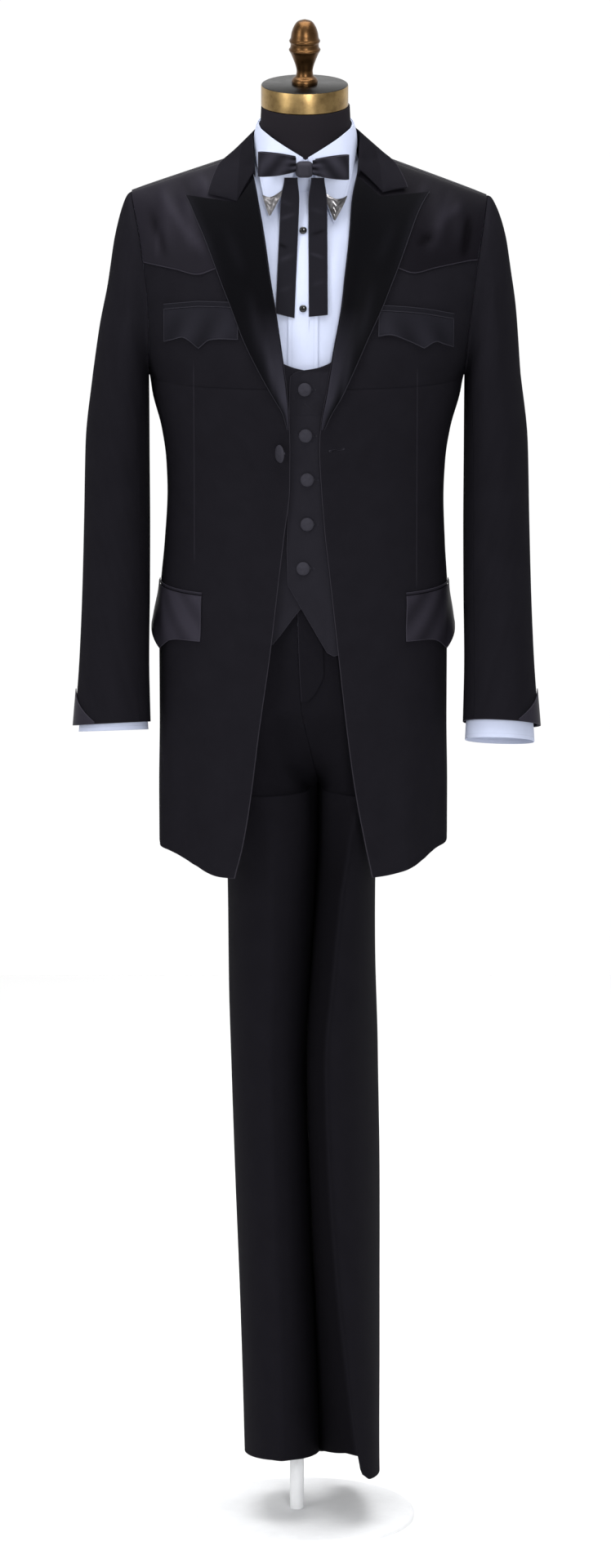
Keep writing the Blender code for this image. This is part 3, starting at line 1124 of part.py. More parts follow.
def trouser_grid(side, heights, turns, inset, back):
    """Points of a trouser panel, its leg ring opening into the top above the crotch."""
    rows = LEG_LEFT if side == "left" else LEG_RIGHT
    height, turn = np.meshgrid(heights, np.radians(turns), indexing="ij")
    crease = np.exp(-((np.degrees(turn) - 90.0) / CREASE_WIDTH) ** 2)
    crease = crease * CREASE_SIZE * np.clip((CREASE_TOP - height) / 0.15, 0.0, 1.0)
    inset = inset - crease - creases(np.degrees(turn) / 180.0 * 0.26, height, TROUSER_FOLDS[side, back])
    part = np.sqrt(np.clip((height - CROTCH) / (RISE_TOP - CROTCH), 0.0, 1.0))[..., None]
    leg = leg_ring(rows, side, np.minimum(height, RISE_TOP), turn, inset, back)
    leg[..., 2] = height
    leg[..., 0] -= SIDES[side] * -SEAM * np.clip((0.0 - np.cos(turn)), 0.0, 1.0)
    top = block_ring(side, height, turn, inset, back)
    points = leg * (1.0 - part) + top * part
    fade = np.clip((HEM_RISE_FADE - height) / (HEM_RISE_FADE - heights[0]), 0.0, 1.0)
    sign = -1.0 if back else 1.0
    points[..., 2] += sign * HEM_RISE * np.sin(turn) * fade ** 2
    if side == "left":
        held = np.interp(np.degrees(turn), HEM_LEFT["turn"], HEM_LEFT["rise"])
        held = held if not back else held * np.clip(np.degrees(turn) / 180.0, 0.0, 1.0) ** 6
        points[..., 2] += held * fade ** 2
    return points


def trouser_panel(side, back):
    """A trouser front or back from its hem to the waistband."""
    top = WAIST_TOP - WAISTBAND_HEIGHT - 2.0 * SEAM
    heights = np.array(LEG_HEIGHTS[side] + BLOCK_HEIGHTS + (top,))
    turns = np.linspace(0.0, 180.0, TROUSER_COLUMNS + 1)
    outer = trouser_grid(side, heights, turns, 0.0, back)
    inner = trouser_grid(side, heights, turns, TROUSER_WALL, back)
    name = "trousers_" + ("back_" if back else "front_") + side
    make_wall(name, outer, inner, "trouser cloth")


def waistband():
    """The waistband as one ring round the shirt."""
    heights = np.array([WAIST_TOP - WAISTBAND_HEIGHT, WAIST_TOP])
    grids = []
    for inset in (0.0, TROUSER_WALL):
        quarters = []
        for side, back in (("left", False), ("left", True), ("right", True), ("right", False)):
            turn = np.radians(np.linspace(0.0, 180.0, 7))
            height, angle = np.meshgrid(heights, turn, indexing="ij")
            ring = block_ring(side, height, angle, inset, back)
            forward = (side == "left") == back
            quarters.append(ring[:, :-1] if forward else ring[:, ::-1][:, :-1])
        grids.append(np.hstack(quarters))
    make_wall("trousers_waistband", grids[0], grids[1], "trouser cloth", ring=True)


def trousers_fly():
    """The fly's overlap on the left front, curved at its bottom."""
    heights = np.linspace(FLY_BOTTOM, WAIST_TOP - WAISTBAND_HEIGHT - 0.002, 6)
    width = FLY_WIDTH * np.sqrt(np.clip((heights - FLY_BOTTOM + 0.002) / 0.035, 0.0, 1.0))
    x = read(FLY_LINE, "x", heights)[:, None] + 0.0005 + width[:, None] * np.linspace(0.0, 1.0, 4)
    height = np.broadcast_to(heights[:, None], x.shape)
    grids = []
    for lift in (FLY_LIFT + FLY_WALL, FLY_LIFT):
        half = read(BLOCK, "half_width", height)
        depth = read(BLOCK, "front", height) + lift
        y = -depth * (1.0 - np.clip(np.abs(x) / half, 0.0, 1.0) ** BODY_POWER) ** (1.0 / BODY_POWER)
        grids.append(np.stack([x, y, height], axis=-1))
    make_wall("trousers_fly", grids[0], grids[1], "trouser cloth")


def shirt_levels():
    """Rows of the shirt's body, its armhole a little above the coat's."""
    return np.concatenate([SHIRT_LEVELS[:-1], armhole_levels(SHIRT_SLEEVE_STEP, SHIRT_UNDERARM)])


def shirt_half(side, levels, back, wall):
    """Half of the shirt's front or back from the middle to the side seam and armhole."""
    depth = read(SHIRT_INSET, "depth", levels)[:, None] + wall
    neck = to_turn(side, SHIRT_NECK_X, levels, SHIRT_UPPER_INSET)
    arm = armhole_turn(side, np.maximum(levels - 0.0005, 0.0))
    arm = np.where(levels < SHIRT_UNDERARM, 90.0, arm)
    turn = neck_columns(neck, np.zeros(len(levels)), arm, 4, SHIRT_COLUMNS - 4)
    level = np.broadcast_to(levels[:, None], turn.shape)
    neck_y = SHIRT_NECK_BACK if back else SHIRT_NECK_FRONT
    level = neck_dip(side, turn, level, SHIRT_NECK_X, neck_y, SHIRT_UPPER_INSET, back)
    if back:
        turn = 180.0 - turn
    return on_torso(side, turn, level, depth, back=back)


def shirt_body(back):
    """The shirt's front or back in one piece."""
    levels = shirt_levels()
    grids = []
    for wall in (0.0, SHIRT_WALL):
        right = shirt_half("right", levels, back, wall)
        left = shirt_half("left", levels, back, wall)
        grids.append(np.hstack([right[:, ::-1], left[:, 1:]]))
    make_wall("shirt_back" if back else "shirt_front", grids[0], grids[1], "shirt cloth")


def shirt_placket():
    """The flat band down the middle of the shirt's front, from the waist to the neckline."""
    levels = shirt_levels()
    levels = levels[levels > PLACKET_LOW]
    grids = []
    for lift in (PLACKET_LIFT + PLACKET_WALL, PLACKET_LIFT):
        columns = []
        for side, x in (("right", -PLACKET_X[0]), ("right", 0.0), ("left", PLACKET_X[1])):
            turn = to_turn(side, x, levels, SHIRT_UPPER_INSET) if x else np.zeros(len(levels))
            level = neck_dip(side, turn, levels, SHIRT_NECK_X, SHIRT_NECK_FRONT, SHIRT_UPPER_INSET)
            columns.append(on_torso(side, turn, level, read(SHIRT_INSET, "depth", levels) - lift))
        grids.append(np.stack(columns, axis=1))
    make_wall("shirt_placket", grids[0], grids[1], "shirt cloth")


def collar_stand():
    """The shirt collar's stand, a ring that starts on the neckline and ends at the fold."""
    levels = shirt_levels()
    quarters = []
    for side, back in (("left", False), ("left", True), ("right", True), ("right", False)):
        seam = shirt_half(side, levels, back, 0.0)[-1, :5]
        forward = (side == "left") != back
        quarters.append(seam[:-1] if forward else seam[::-1][:-1])
    low = np.vstack(quarters)
    turn = np.arange(0.0, 360.0, 22.5)
    around = np.minimum(turn, 360.0 - turn)
    high = np.stack([read(STAND_TOP, name, around) for name in ("x", "y", "height")], axis=-1)
    high[turn > 180.0, 0] *= -1.0
    low[:, 2] += 0.0004
    grids = []
    for wall in (0.0, SHIRT_WALL):
        rows = []
        for ring in (low, high):
            away = ring[:, :2] / np.linalg.norm(ring[:, :2], axis=1)[:, None]
            rows.append(np.column_stack([ring[:, :2] - away * wall, ring[:, 2]]))
        grids.append(np.array(rows))
    make_wall("shirt_collar_stand", grids[0], grids[1], "shirt cloth", ring=True)


def fall_point(side, part, share, lift):
    """A point of one side of the collar's fall, share 0 at the fold and 1 at the edge."""
    fold = np.array([float(read(FALL, name, part)) for name in ("fold_x", "fold_y", "fold_z")])
    edge = np.array([float(read(FALL, name, part)) for name in ("edge_x", "edge_y", "edge_z")])
    near = max(0.0, 1.0 - part / FALL_POINT_FADE) ** 2
    edge = edge + np.array([FALL_POINT[side][0], 0.0, FALL_POINT[side][1]]) * near
    point = fold + (edge - fold) * share
    out = np.array([point[0], point[1] * 1.0, 0.0])
    out = out / np.linalg.norm(out)
    bulge = 0.0012 * math.sin(math.pi * share)
    return (point + out * (lift + bulge)) * np.array([SIDES[side], 1.0, 1.0])


def collar_fall():
    """The turned-down shirt collar from one point round the neck to the other."""
    parts = np.array([0.0, 0.08, 0.16, 0.25, 0.37, 0.5, 0.62, 0.75, 0.88, 1.0])
    shares = (0.0, 0.5, 1.0)
    grids = []
    for lift in (SHIRT_WALL, 0.0):
        left = np.array([[fall_point("left", part, share, lift) for share in shares] for part in parts])
        near = parts[:-1]
        right = np.array([[fall_point("right", part, share, lift) for share in shares] for part in near])
        grids.append(np.vstack([left, right[::-1]]))
    make_wall("shirt_collar_fall", grids[0], grids[1], "shirt cloth")


def collar_tip(side):
    """The silver tip over a collar point."""
    grids = []
    for lift in (SHIRT_WALL + 0.0018, SHIRT_WALL + 0.0008):
        rows = []
        for away in (0.06, 0.50, 1.0):
            row = []
            for turn in (0.0, 0.5, 1.0):
                reach = away * (1.0 - TIP_NOTCH * away * math.sin(math.pi * turn))
                row.append(fall_point(side, 0.002 + reach * turn * TIP_ALONG,
                                      0.995 - reach * (1.0 - turn) * TIP_ACROSS, lift))
            rows.append(row)
        grids.append(np.array(rows))
    make_wall("collar_tip_" + side, grids[0], grids[1], "silver")


def shirt_sleeve(side):
    """The shirt's sleeve inside the coat's."""
    along = np.arange(len(SHIRT_SLEEVE["along"]))[:, None]
    turns = np.arange(0.0, 360.0, SHIRT_SLEEVE_STEP)[None, :]
    depth = SHIRT_UPPER_INSET
    outer = sleeve_point(SHIRT_SLEEVE, side, along, turns, 0.0, SHIRT_UNDERARM, depth)
    inner = sleeve_point(SHIRT_SLEEVE, side, along, turns, SHIRT_WALL, SHIRT_UNDERARM, depth)
    make_wall("shirt_sleeve_" + side, outer, inner, "shirt cloth", ring=True)


def shirt_cuff(side):
    """The shirt's cuff, open at its slit, reaching past the coat's sleeve."""
    turns = np.linspace(CUFF_SLIT_TURN, 360.0 - CUFF_SLIT_TURN, 15)[None, :]
    along = np.array([0.0, 0.5, 1.0])[:, None]
    grids = []
    for inset in (0.0, SHIRT_WALL):
        grid = sleeve_point(SHIRT_CUFF, side, along, turns, inset)
        grid[-1, :, 2] -= CUFF_SHOWS[side]
        grids.append(grid)
    make_wall("shirt_cuff_" + side, grids[0], grids[1], "shirt cloth")


def shirt_studs():
    """Two black studs on the placket."""
    radius, height = STUD_RADIUS, STUD_HEIGHT
    profile = ((radius * 0.85, 0.0), (radius, height * 0.4), (radius * 0.70, height * 0.85), (0.0, height))
    for name, x, z in zip(("upper", "lower"), STUDS["x"], STUDS["height"]):
        inset = float(read(SHIRT_INSET, "depth", z)) - PLACKET_LIFT - PLACKET_WALL
        set_on_front("shirt_stud_" + name, x, z, inset, profile, 10, "black stud")


def tie_loop(side):
    """A bow loop: one band out to the side and back behind itself."""
    along = np.linspace(0.0, 1.0, 13)
    x = read(LOOP_PATH, "x", along)
    y = read(LOOP_PATH, "y", along)
    half = read(LOOP_PATH, "height", along) / 2.0
    step = np.stack([np.gradient(x), np.gradient(y)])
    normal = np.stack([step[1], -step[0]]) / np.hypot(*step)
    rise = np.array([-1.0, 0.0, 1.0])
    grids = []
    for lift in (0.0, LOOP_WALL):
        px = (x[0] + (x - normal[0] * lift - x[0]) * LOOP_REACH[side]) * SIDES[side]
        px = px + KNOT_PLACE[0] * (1.0 - along)
        py = y - normal[1] * lift
        bulge = 0.0015 * np.sin(np.pi * along)
        height = LOOP_MIDDLE - LOOP_DROP[side] + half[:, None] * rise
        depth = py[:, None] - bulge[:, None] * (1.0 - rise ** 2)
        grids.append(np.stack([np.broadcast_to(px[:, None], height.shape), depth, height], axis=-1))
    make_wall("tie_loop_" + side, grids[0], grids[1], "satin")


def tie_knot():
    """The knot: a rounded block of wrapped satin."""
    turns = np.radians(np.arange(0.0, 360.0, 30.0))
    rings = []
    for height, size in ((-1.0, 0.72), (-0.72, 0.95), (0.0, 1.0), (0.72, 0.95), (1.0, 0.72)):
        x = KNOT_PLACE[0] + KNOT_HALF[0] * size * rounded(np.cos(turns), 3.0)
        y = KNOT_PLACE[1] + KNOT_HALF[1] * size * rounded(np.sin(turns), 3.0)
        z = np.full_like(x, KNOT_PLACE[2] + KNOT_HALF[2] * height)
        rings.append(np.stack([x, y, z], axis=-1))
    make_stack("tie_knot", np.array(rings), "satin")


def tie_tail(side):
    """A hanging tail of the bow that lies down the shirt's front."""
    height = TAIL["height"]
    middle = np.interp(height, TAIL["height"][::-1][[0, -1]], (TAIL_LOW_X[side], TAIL_TOP_X[side]))
    y = smooth(height, TAIL["height"][::-1], TAIL["y"][::-1])
    across = np.array([-1.0, 0.0, 1.0]) * TAIL_HALF_WIDTH
    x = middle[:, None] + across
    z = np.broadcast_to(height[:, None], x.shape)
    grids = []
    for lift in (TAIL_WALL, 0.0):
        depth = np.broadcast_to(y[:, None], x.shape) + TAIL_BACK[side] - lift
        grids.append(np.stack([x, depth, z], axis=-1))
    make_wall("tie_tail_" + side, grids[0], grids[1], "satin")


def room_inside(x, height, back):
    """Depth left for the form inside the shirt at a place of its front or back."""
    side = "left" if x >= 0 else "right"
    level = float(to_level(side, abs(x), height, FORM_CLEARANCE))
    if level >= TIP:
        return 0.0
    turn = to_turn(side, abs(x), level, FORM_CLEARANCE, back=back)
    return abs(float(on_torso(side, turn, level, FORM_CLEARANCE, back=back)[..., 1]))


def form_torso():
    """The dress form's trunk and neck, one smooth stack of rings."""
    turns = np.radians(np.arange(0.0, 360.0, 360.0 / FORM_SIDES))
    rings = []
    for number in range(len(FORM["height"])):
        row = {name: FORM[name][number] for name in FORM}
        power = 2.25 if row["height"] < 1.70 else 2.0
        x = row["half_width"] * rounded(np.cos(turns), power)
        away = rounded(np.sin(turns), power)
        y = np.where(away > 0, row["back"], row["front"]) * away
        if row["height"] < FORM_NECK:
            height = row["height"] + FORM_DROP * min(1.0, max(0.0, (row["height"] - 1.60) / 0.08))
            limit = [room_inside(x[n], height, y[n] > 0) for n in range(FORM_SIDES)]
            limit = np.maximum(limit, np.sqrt(np.maximum(FORM_NECK_RADIUS ** 2 - x ** 2, 0.0)))
            y = np.sign(y) * np.maximum(np.minimum(np.abs(y), limit), 0.10 * np.abs(y))
        z = row["height"] + y * math.tan(math.radians(row["tilt"]))
        rings.append(np.stack([x, y + row["middle_y"], z], axis=-1))
    make_stack("form_torso", np.array(rings), "form linen")


def form_hardware():
    """The neck cap, the finial, the pole and the round base."""
    cap = ((CAP_RADIUS, 0.0), (CAP_RADIUS, CAP_HEIGHT - 0.0012), (CAP_RADIUS - 0.0012, CAP_HEIGHT))
    make_turned("form_cap", cap, 24, "brass", tilt_frame(CAP_BASE, CAP_TILT))
    rotation, place = tilt_frame(CAP_BASE, CAP_TILT)
    top = np.array(place) + rotation @ np.array([0.0, 0.0, CAP_HEIGHT + 0.0003])
    make_turned("form_finial", FINIAL_PROFILE, 12, "bronze", (rotation, top))
    pole = ((POLE_RADIUS, BASE_HEIGHT + 0.0003), (POLE_RADIUS, POLE_TOP))
    make_turned("form_pole", pole, 16, "painted steel", tilt_frame((POLE_X, 0.0, 0.0)))
    base = ((BASE_RADIUS, 0.0), (BASE_RADIUS, 0.0050), (BASE_RADIUS - 0.0035, 0.0085), (0.110, BASE_HEIGHT))
    make_turned("form_base", base, 32, "painted steel", tilt_frame((0.0, 0.0, 0.0)))


def clear_scene():
    """Empty the scene before the pieces are made."""
    for item in list(bpy.data.objects):
        bpy.data.objects.remove(item, do_unlink=True)


def main():
    clear_scene()
    form_torso()
    form_hardware()
    shirt_body(back=False)
    shirt_body(back=True)
    shirt_placket()
    collar_stand()
    collar_fall()
    shirt_studs()
    vest_back()
    vest_buttons()
    waistband()
    trousers_fly()
    coat_collar()
    yoke_back()
    coat_button()
    tie_knot()
    for side in SIDES:
        shirt_sleeve(side)
        shirt_cuff(side)
        collar_tip(side)
        tie_loop(side)
        tie_tail(side)
        vest_front(side)
        trouser_panel(side, back=False)
        trouser_panel(side, back=True)
        coat_front(side)
        coat_back(side)
        lapel(side)
        yoke_front(side)
        chest_pocket(side)
        hip_flap(side)
        coat_sleeve(side)
        cuff_patch(side)


main()
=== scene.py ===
"""The looks of a western tuxedo on its dress form: cloth shells, trim, finishes, light and camera.

Metres, +Z up, the front faces -Y. Left and right are the wearer's: the left side lies at +X.
Each shell is worked out on a grid from the same sizes as the solid that it stands for.
"""
import math

import bmesh
import bpy
import numpy as np
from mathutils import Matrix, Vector


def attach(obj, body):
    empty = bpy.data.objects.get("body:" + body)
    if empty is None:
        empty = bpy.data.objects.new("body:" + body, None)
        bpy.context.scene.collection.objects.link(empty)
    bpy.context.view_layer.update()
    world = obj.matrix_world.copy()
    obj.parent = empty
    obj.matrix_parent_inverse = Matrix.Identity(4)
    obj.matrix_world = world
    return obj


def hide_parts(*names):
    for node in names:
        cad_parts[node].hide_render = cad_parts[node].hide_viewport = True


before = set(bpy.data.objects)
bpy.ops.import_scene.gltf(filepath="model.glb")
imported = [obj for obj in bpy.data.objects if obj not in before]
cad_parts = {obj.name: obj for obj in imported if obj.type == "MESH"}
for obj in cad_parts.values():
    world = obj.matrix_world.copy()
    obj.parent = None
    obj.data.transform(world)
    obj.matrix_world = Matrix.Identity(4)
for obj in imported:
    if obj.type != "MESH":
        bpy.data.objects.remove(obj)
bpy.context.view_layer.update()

CAMERA_PLACE = (0.0, -9.7815, 3.0404)
CAMERA_TARGET = (0.0, 0.0, 0.9613)
CAMERA_LENS = 121.36

# How many times finer than the solids' rows and columns the shells are
FINE_ROWS = 6
FINE_COLUMNS = 5


def table(names, rows):
    """A short table: one array for each named column."""
    return dict(zip(names.split(), np.array(rows, dtype=float).T))


def folds(*rows):
    """Soft folds: each runs from one place to another, with half its width and its height."""
    return table("x0 z0 x1 z1 width size", rows)


# Seams and walls
SEAM = 0.00015
COAT_WALL = 0.002
VEST_WALL = 0.0016
TROUSER_WALL = 0.0016
SHIRT_WALL = 0.001
SATIN_WALL = 0.0012
# Least distance between a small piece or a layer and what it lies on
CLEAR = 0.0004
# The coat's torso: heights of the underarm and of the shoulder tip
UNDERARM = 1.485
TIP = 1.713
BODY_POWER = 2.4
FRONT_CLOSING = 2.2
BACK_CLOSING = 3.0
NECK_X = 0.07
SHOULDER_AT_NECK = 1.7635
SHOULDER_NECK_X = 0.065
SHOULDER_SLOPE = {"right": 0.329, "left": 0.366}
MIDDLE_SLOPE = 0.348
# Depths of the layers below the coat's outer face
VEST_INSET = 0.005
VEST_UNDERLAP = 0.0032
VEST_SHOULDER = 0.001
SHIRT_UPPER_INSET = 0.011
SIDES = {"right": -1.0, "left": 1.0}
BODY = table("level half_width front back", [
    (0.86, 0.1812, 0.13, 0.136), (0.96, 0.1815, 0.129, 0.135), (1.05, 0.1804, 0.128, 0.132),
    (1.147, 0.1806, 0.127, 0.125), (1.21, 0.18, 0.125, 0.115), (1.27, 0.1757, 0.122, 0.104),
    (1.336, 0.1727, 0.121, 0.098), (1.378, 0.1744, 0.124, 0.102), (1.42, 0.1805, 0.129, 0.11),
    (1.4617, 0.1917, 0.133, 0.118), (1.485, 0.1958, 0.134, 0.121), (1.497, 0.2, 0.134, 0.122),
    (1.52, 0.209, 0.134, 0.124), (1.555, 0.221, 0.132, 0.126), (1.6, 0.233, 0.129, 0.128),
    (1.645, 0.242, 0.126, 0.127), (1.69, 0.248, 0.122, 0.124), (1.713, 0.253, 0.12, 0.122),
])
CENTRE = table("height x", [
    (0.86, -0.003), (1.147, -0.003), (1.21, -0.002), (1.336, 0), (1.4617, 0.001), (1.485, 0.0015),
    (1.54, 0.0035), (1.6, 0.006), (1.66, 0.006), (1.713, 0.0045),
])
ARMHOLE = table("level x", [
    (1.485, 0.1955), (1.54, 0.1976), (1.58, 0.2005), (1.61, 0.204), (1.655, 0.21), (1.713, 0.2203),
])
COAT_EDGE = table("height right left", [
    (0.868, 0.088, 0.085), (0.91, 0.078, 0.0755), (0.98, 0.067, 0.062), (1.045, 0.059, 0.053),
    (1.155, 0.0436, 0.0405), (1.25, 0.0325, 0.03), (1.3, 0.0265, 0.0243), (1.36, 0.0195, 0.0195),
    (1.41, 0.019, 0.0171), (1.445, 0.0198, 0.0191), (1.475, 0.0218, 0.0245), (1.5236, 0.0281, 0.0321),
    (1.6, 0.04, 0.045), (1.66, 0.0485, 0.0525), (1.72, 0.058, 0.0597), (1.765, 0.07, 0.07),
])
COAT_HEM = table("turn height", [
    (0, 0.865), (28, 0.867), (46, 0.8775), (65, 0.891), (90, 0.893), (135, 0.89), (180, 0.888),
])
COAT_HEM_FADE = 1.0
# The skirt's ripple: its height, how far it dies out above the hem and where its waves start
RIPPLE_SIZE = 0.0005
RIPPLE_FADE = 0.12
RIPPLE_START = {"right": (1.7, 3.1), "left": (0.6, 2.3)}
COAT_LEVELS = (0.867, 0.930, 1.000, 1.080, 1.155, 1.220, 1.280, 1.336, 1.390, 1.435, 1.465)
ARMHOLE_STEP = 22.5
COAT_COLUMNS = 8
BACK_COLUMNS = 7
COAT_NECK_Y = 0.0785
LAPEL = table("inner_z outer_z right left", [
    (1.436, 1.436, 0.0225, 0.0232), (1.455, 1.455, 0.0275, 0.0318), (1.475, 1.475, 0.0385, 0.043),
    (1.505, 1.505, 0.0552, 0.057), (1.548, 1.548, 0.0766, 0.0757), (1.592, 1.592, 0.0935, 0.096),
    (1.63, 1.63, 0.1079, 0.1122), (1.664, 1.664, 0.1213, 0.1253), (1.692, 1.691, 0.133, 0.1368),
    (1.716, 1.706, 0.14, 0.1452), (1.734, 1.7145, 0.1452, 0.1514),
])
LAPEL_GORGE_AT = {"right": 0.24, "left": 0.33}
LAPEL_GORGE_DIP = {"right": 0.0208, "left": 0.0160}
LAPEL_LIFT = 0.0034
LAPEL_WALL = 0.0014
# The soft roll beside the roll line, deeper below the height where it starts to belly
LAPEL_ROLL = 0.0022
LAPEL_BELLY = 0.0016
LAPEL_BELLY_TOP = 1.585
COLLAR = table("along fold_x fold_y fold_z edge_x edge_y stand lift sag", [
    (0, 0.0628, -0.0565, 1.743, 0.1235, -0.0545, 0.004, 0.0104, 0.03),
    (0.25, 0.0652, -0.03, 1.772, 0.113, -0.03, 0.01, 0.005, 0.008),
    (0.5, 0.0664, 0, 1.785, 0.0985, 0, 0.019, 0.0055, 0),
    (0.75, 0.052, 0.052, 1.789, 0.078, 0.056, 0.025, 0.0075, 0),
    (1, 0, 0.076, 1.791, 0, 0.09, 0.027, 0.008, 0),
])
# Where each end of the collar meets the lapel, how far it dips there and how far forward it lies
COLLAR_END = table("side at dip forward", [(-1, 0.38, 0.018, 0.0077), (1, 0.5, 0.013, 0.002)])
COLLAR_END_FADE = 0.3
COLLAR_WALL = 0.0016
COLLAR_TUCK = 0.003
COLLAR_SHIFT = 0.001
# Largest folds of the coat: across is 3 mm for each degree of turn, from 0 at the middle front
FOLD_ACROSS = 0.003
FOLD_REACH = 0.0025
COAT_FOLDS = {"right": folds(
    (0.095, 0.6, 0.09, 1.13, 0.024, 0.004), (0.15, 0.62, 0.152, 1.1, 0.022, -0.0034),
    (0.215, 0.6, 0.212, 1.12, 0.026, 0.0048), (0.33, 0.56, 0.335, 1.18, 0.028, -0.005),
    (0.4, 0.56, 0.405, 1.2, 0.028, 0.006), (0.465, 0.6, 0.462, 1.15, 0.024, -0.0036),
    (0.45, 1.61, 0.35, 1.33, 0.026, 0.0036), (0.37, 1.35, 0.49, 1.29, 0.024, 0.0032),
), "left": folds(
    (0.085, 0.61, 0.088, 1.11, 0.022, -0.003), (0.13, 0.59, 0.126, 1.13, 0.024, 0.0044),
    (0.205, 0.62, 0.208, 1.09, 0.024, -0.0036), (0.318, 0.56, 0.322, 1.17, 0.028, 0.0056),
    (0.385, 0.57, 0.38, 1.15, 0.026, -0.0048), (0.45, 0.56, 0.452, 1.2, 0.026, 0.0056),
    (0.46, 1.6, 0.355, 1.34, 0.026, 0.0038), (0.36, 1.31, 0.48, 1.34, 0.024, 0.003),
)}
YOKE_FOLDS = {"right": folds(
    (0.15, 1.722, 0.143, 1.628, 0.009, 0.0026), (0.178, 1.718, 0.17, 1.63, 0.0085, 0.0024),
    (0.128, 1.715, 0.126, 1.64, 0.008, 0.0018),
), "left": folds(
    (0.16, 1.718, 0.152, 1.632, 0.009, 0.0018), (0.182, 1.712, 0.18, 1.64, 0.008, 0.0014),
)}
YOKE_LIFT = 0.0006
YOKE_LEVELS = np.array((1.6426, 1.6796, 1.7043, 1.7115, 1.71299))
YOKE_RIDGE = {"front": 1.71299, "back": 1.712999}
YOKE_BACK_LEVEL = 1.599
YOKE_FIRST_COLUMN = 1
# Painted light on the yokes: the right one painted lighter than the left, the back at its own level
YOKE_PAINTED_LIGHT = {"right": 0.22, "left": 0.02}
YOKE_BACK_PAINTED_LIGHT = 0.3
YOKE_FRONT = table("x height", [
    (0.08, 1.642), (0.11, 1.632), (0.134, 1.624), (0.16, 1.629), (0.2, 1.6345),
])
YOKE_BACK = table("x height", [(0, 1.595), (0.05, 1.615), (0.1, 1.627), (0.2, 1.6345)])
WELT_LIFT = 0.0007
WELT_HEIGHT = 0.0068
WELT_WALL = 0.0016
FLAP_LIFT = 0.0007
HIP_FLAP_LIFT = 0.0013
HIP_FLAP_WAVE = 0.0009
# Painted light on the hip flaps: the right one painted lighter than the left
HIP_FLAP_PAINTED_LIGHT = {"right": 0.85, "left": 0.6}
HIP_JET_RISE = (0.0015, 0.0042)
HIP_JET_LIFT = (0.0017, 0.0007)
FLAP_BULGE = 0.0014
FLAP_WAVE = 0.0006
CHEST_FLAP = {"right": table("x top bottom", [
    (0.083, 1.585, 1.5468), (0.1, 1.585, 1.5468), (0.1166, 1.585, 1.545), (0.1308, 1.5848, 1.534),
    (0.15, 1.5822, 1.546), (0.162, 1.5804, 1.5425), (0.174, 1.5782, 1.5385),
]), "left": table("x top bottom", [
    (0.0886, 1.58, 1.55), (0.1005, 1.5796, 1.5515), (0.1247, 1.5772, 1.5435), (0.144, 1.5744, 1.5332),
    (0.1592, 1.5712, 1.5401), (0.17, 1.5685, 1.536), (0.1815, 1.5655, 1.5312),
])}
CHEST_FLAP_POINT = 3
HIP_FLAP = table("turn top bottom flare", [
    (41, 1.221, 1.164, 0), (52, 1.2212, 1.1632, 0), (63, 1.2216, 1.159, 0.001), (74, 1.222, 1.145, 0.003),
    (84, 1.2222, 1.157, 0.006), (96, 1.2222, 1.166, 0.0095),
])
SLEEVE = table("along outer_x outer_z inner_x inner_z middle_y half_depth pitch armhole", [
    (0, 0.2203, 1.713, 0.1955, 1.485, 0, 0.069, 0, 1), (1, 0.231, 1.706, 0.1966, 1.4848, 0, 0.07, 0, 0.6),
    (2, 0.2385, 1.685, 0.1966, 1.4838, 0, 0.072, 0, 0.3),
    (3, 0.2447, 1.648, 0.1966, 1.48, 0, 0.075, 0, 0), (4, 0.251, 1.605, 0.1965, 1.472, 0, 0.078, 0, 0),
    (5, 0.259, 1.555, 0.1964, 1.456, 0, 0.081, 0, 0),
    (6, 0.2668, 1.485, 0.1963, 1.425, 0.001, 0.0825, 0, 0),
    (7, 0.2762, 1.4, 0.1962, 1.375, 0.001, 0.081, 2, 0),
    (8, 0.2785, 1.305, 0.1958, 1.3, -0.005, 0.076, 5, 0),
    (9, 0.281, 1.215, 0.1962, 1.215, -0.015, 0.07, 8, 0),
    (10, 0.285, 1.125, 0.1972, 1.13, -0.03, 0.063, 11, 0),
    (11, 0.2912, 1.046, 0.1955, 1.051, -0.045, 0.056, 13, 0),
])
# Folds of the sleeves: across is 1.2 mm for each degree of turn, along 70 mm for each station
SLEEVE_ACROSS = 0.0012
SLEEVE_ALONG = 0.07
SLEEVE_FOLDS = {"right": folds(
    (0.02, 0.545, 0.165, 0.515, 0.018, -0.0038), (0.03, 0.595, 0.15, 0.61, 0.018, -0.0034),
    (0.06, 0.07, 0.085, 0.43, 0.018, -0.003), (-0.06, 0.12, -0.085, 0.56, 0.02, 0.003),
    (-0.15, 0.52, -0.04, 0.6, 0.02, 0.0024),
), "left": folds(
    (0.025, 0.505, 0.16, 0.535, 0.018, -0.0036), (0.03, 0.61, 0.16, 0.58, 0.018, -0.0036),
    (0.055, 0.08, 0.08, 0.41, 0.018, -0.0028), (-0.065, 0.1, -0.08, 0.54, 0.02, 0.003),
    (-0.15, 0.6, -0.04, 0.53, 0.02, 0.0024),
)}
SLEEVE_PITCH = {"right": 0.90, "left": 1.25}
SLEEVE_SEAM_TURN = 135.0
SLEEVE_SEAM_GAP = 0.2
SLEEVE_POWER = 2.15
CUFF_PATCH_TURN = 66.0
CUFF_PATCH_RISE = 0.55
CUFF_PATCH_LIFT = 0.001
CUFF_PATCH_BAND = 0.035
BUTTON_RADIUS = 0.0112
BUTTON_PLACE = (-0.0305, -0.1345, 1.4060)
BUTTON_YAW = 62.0
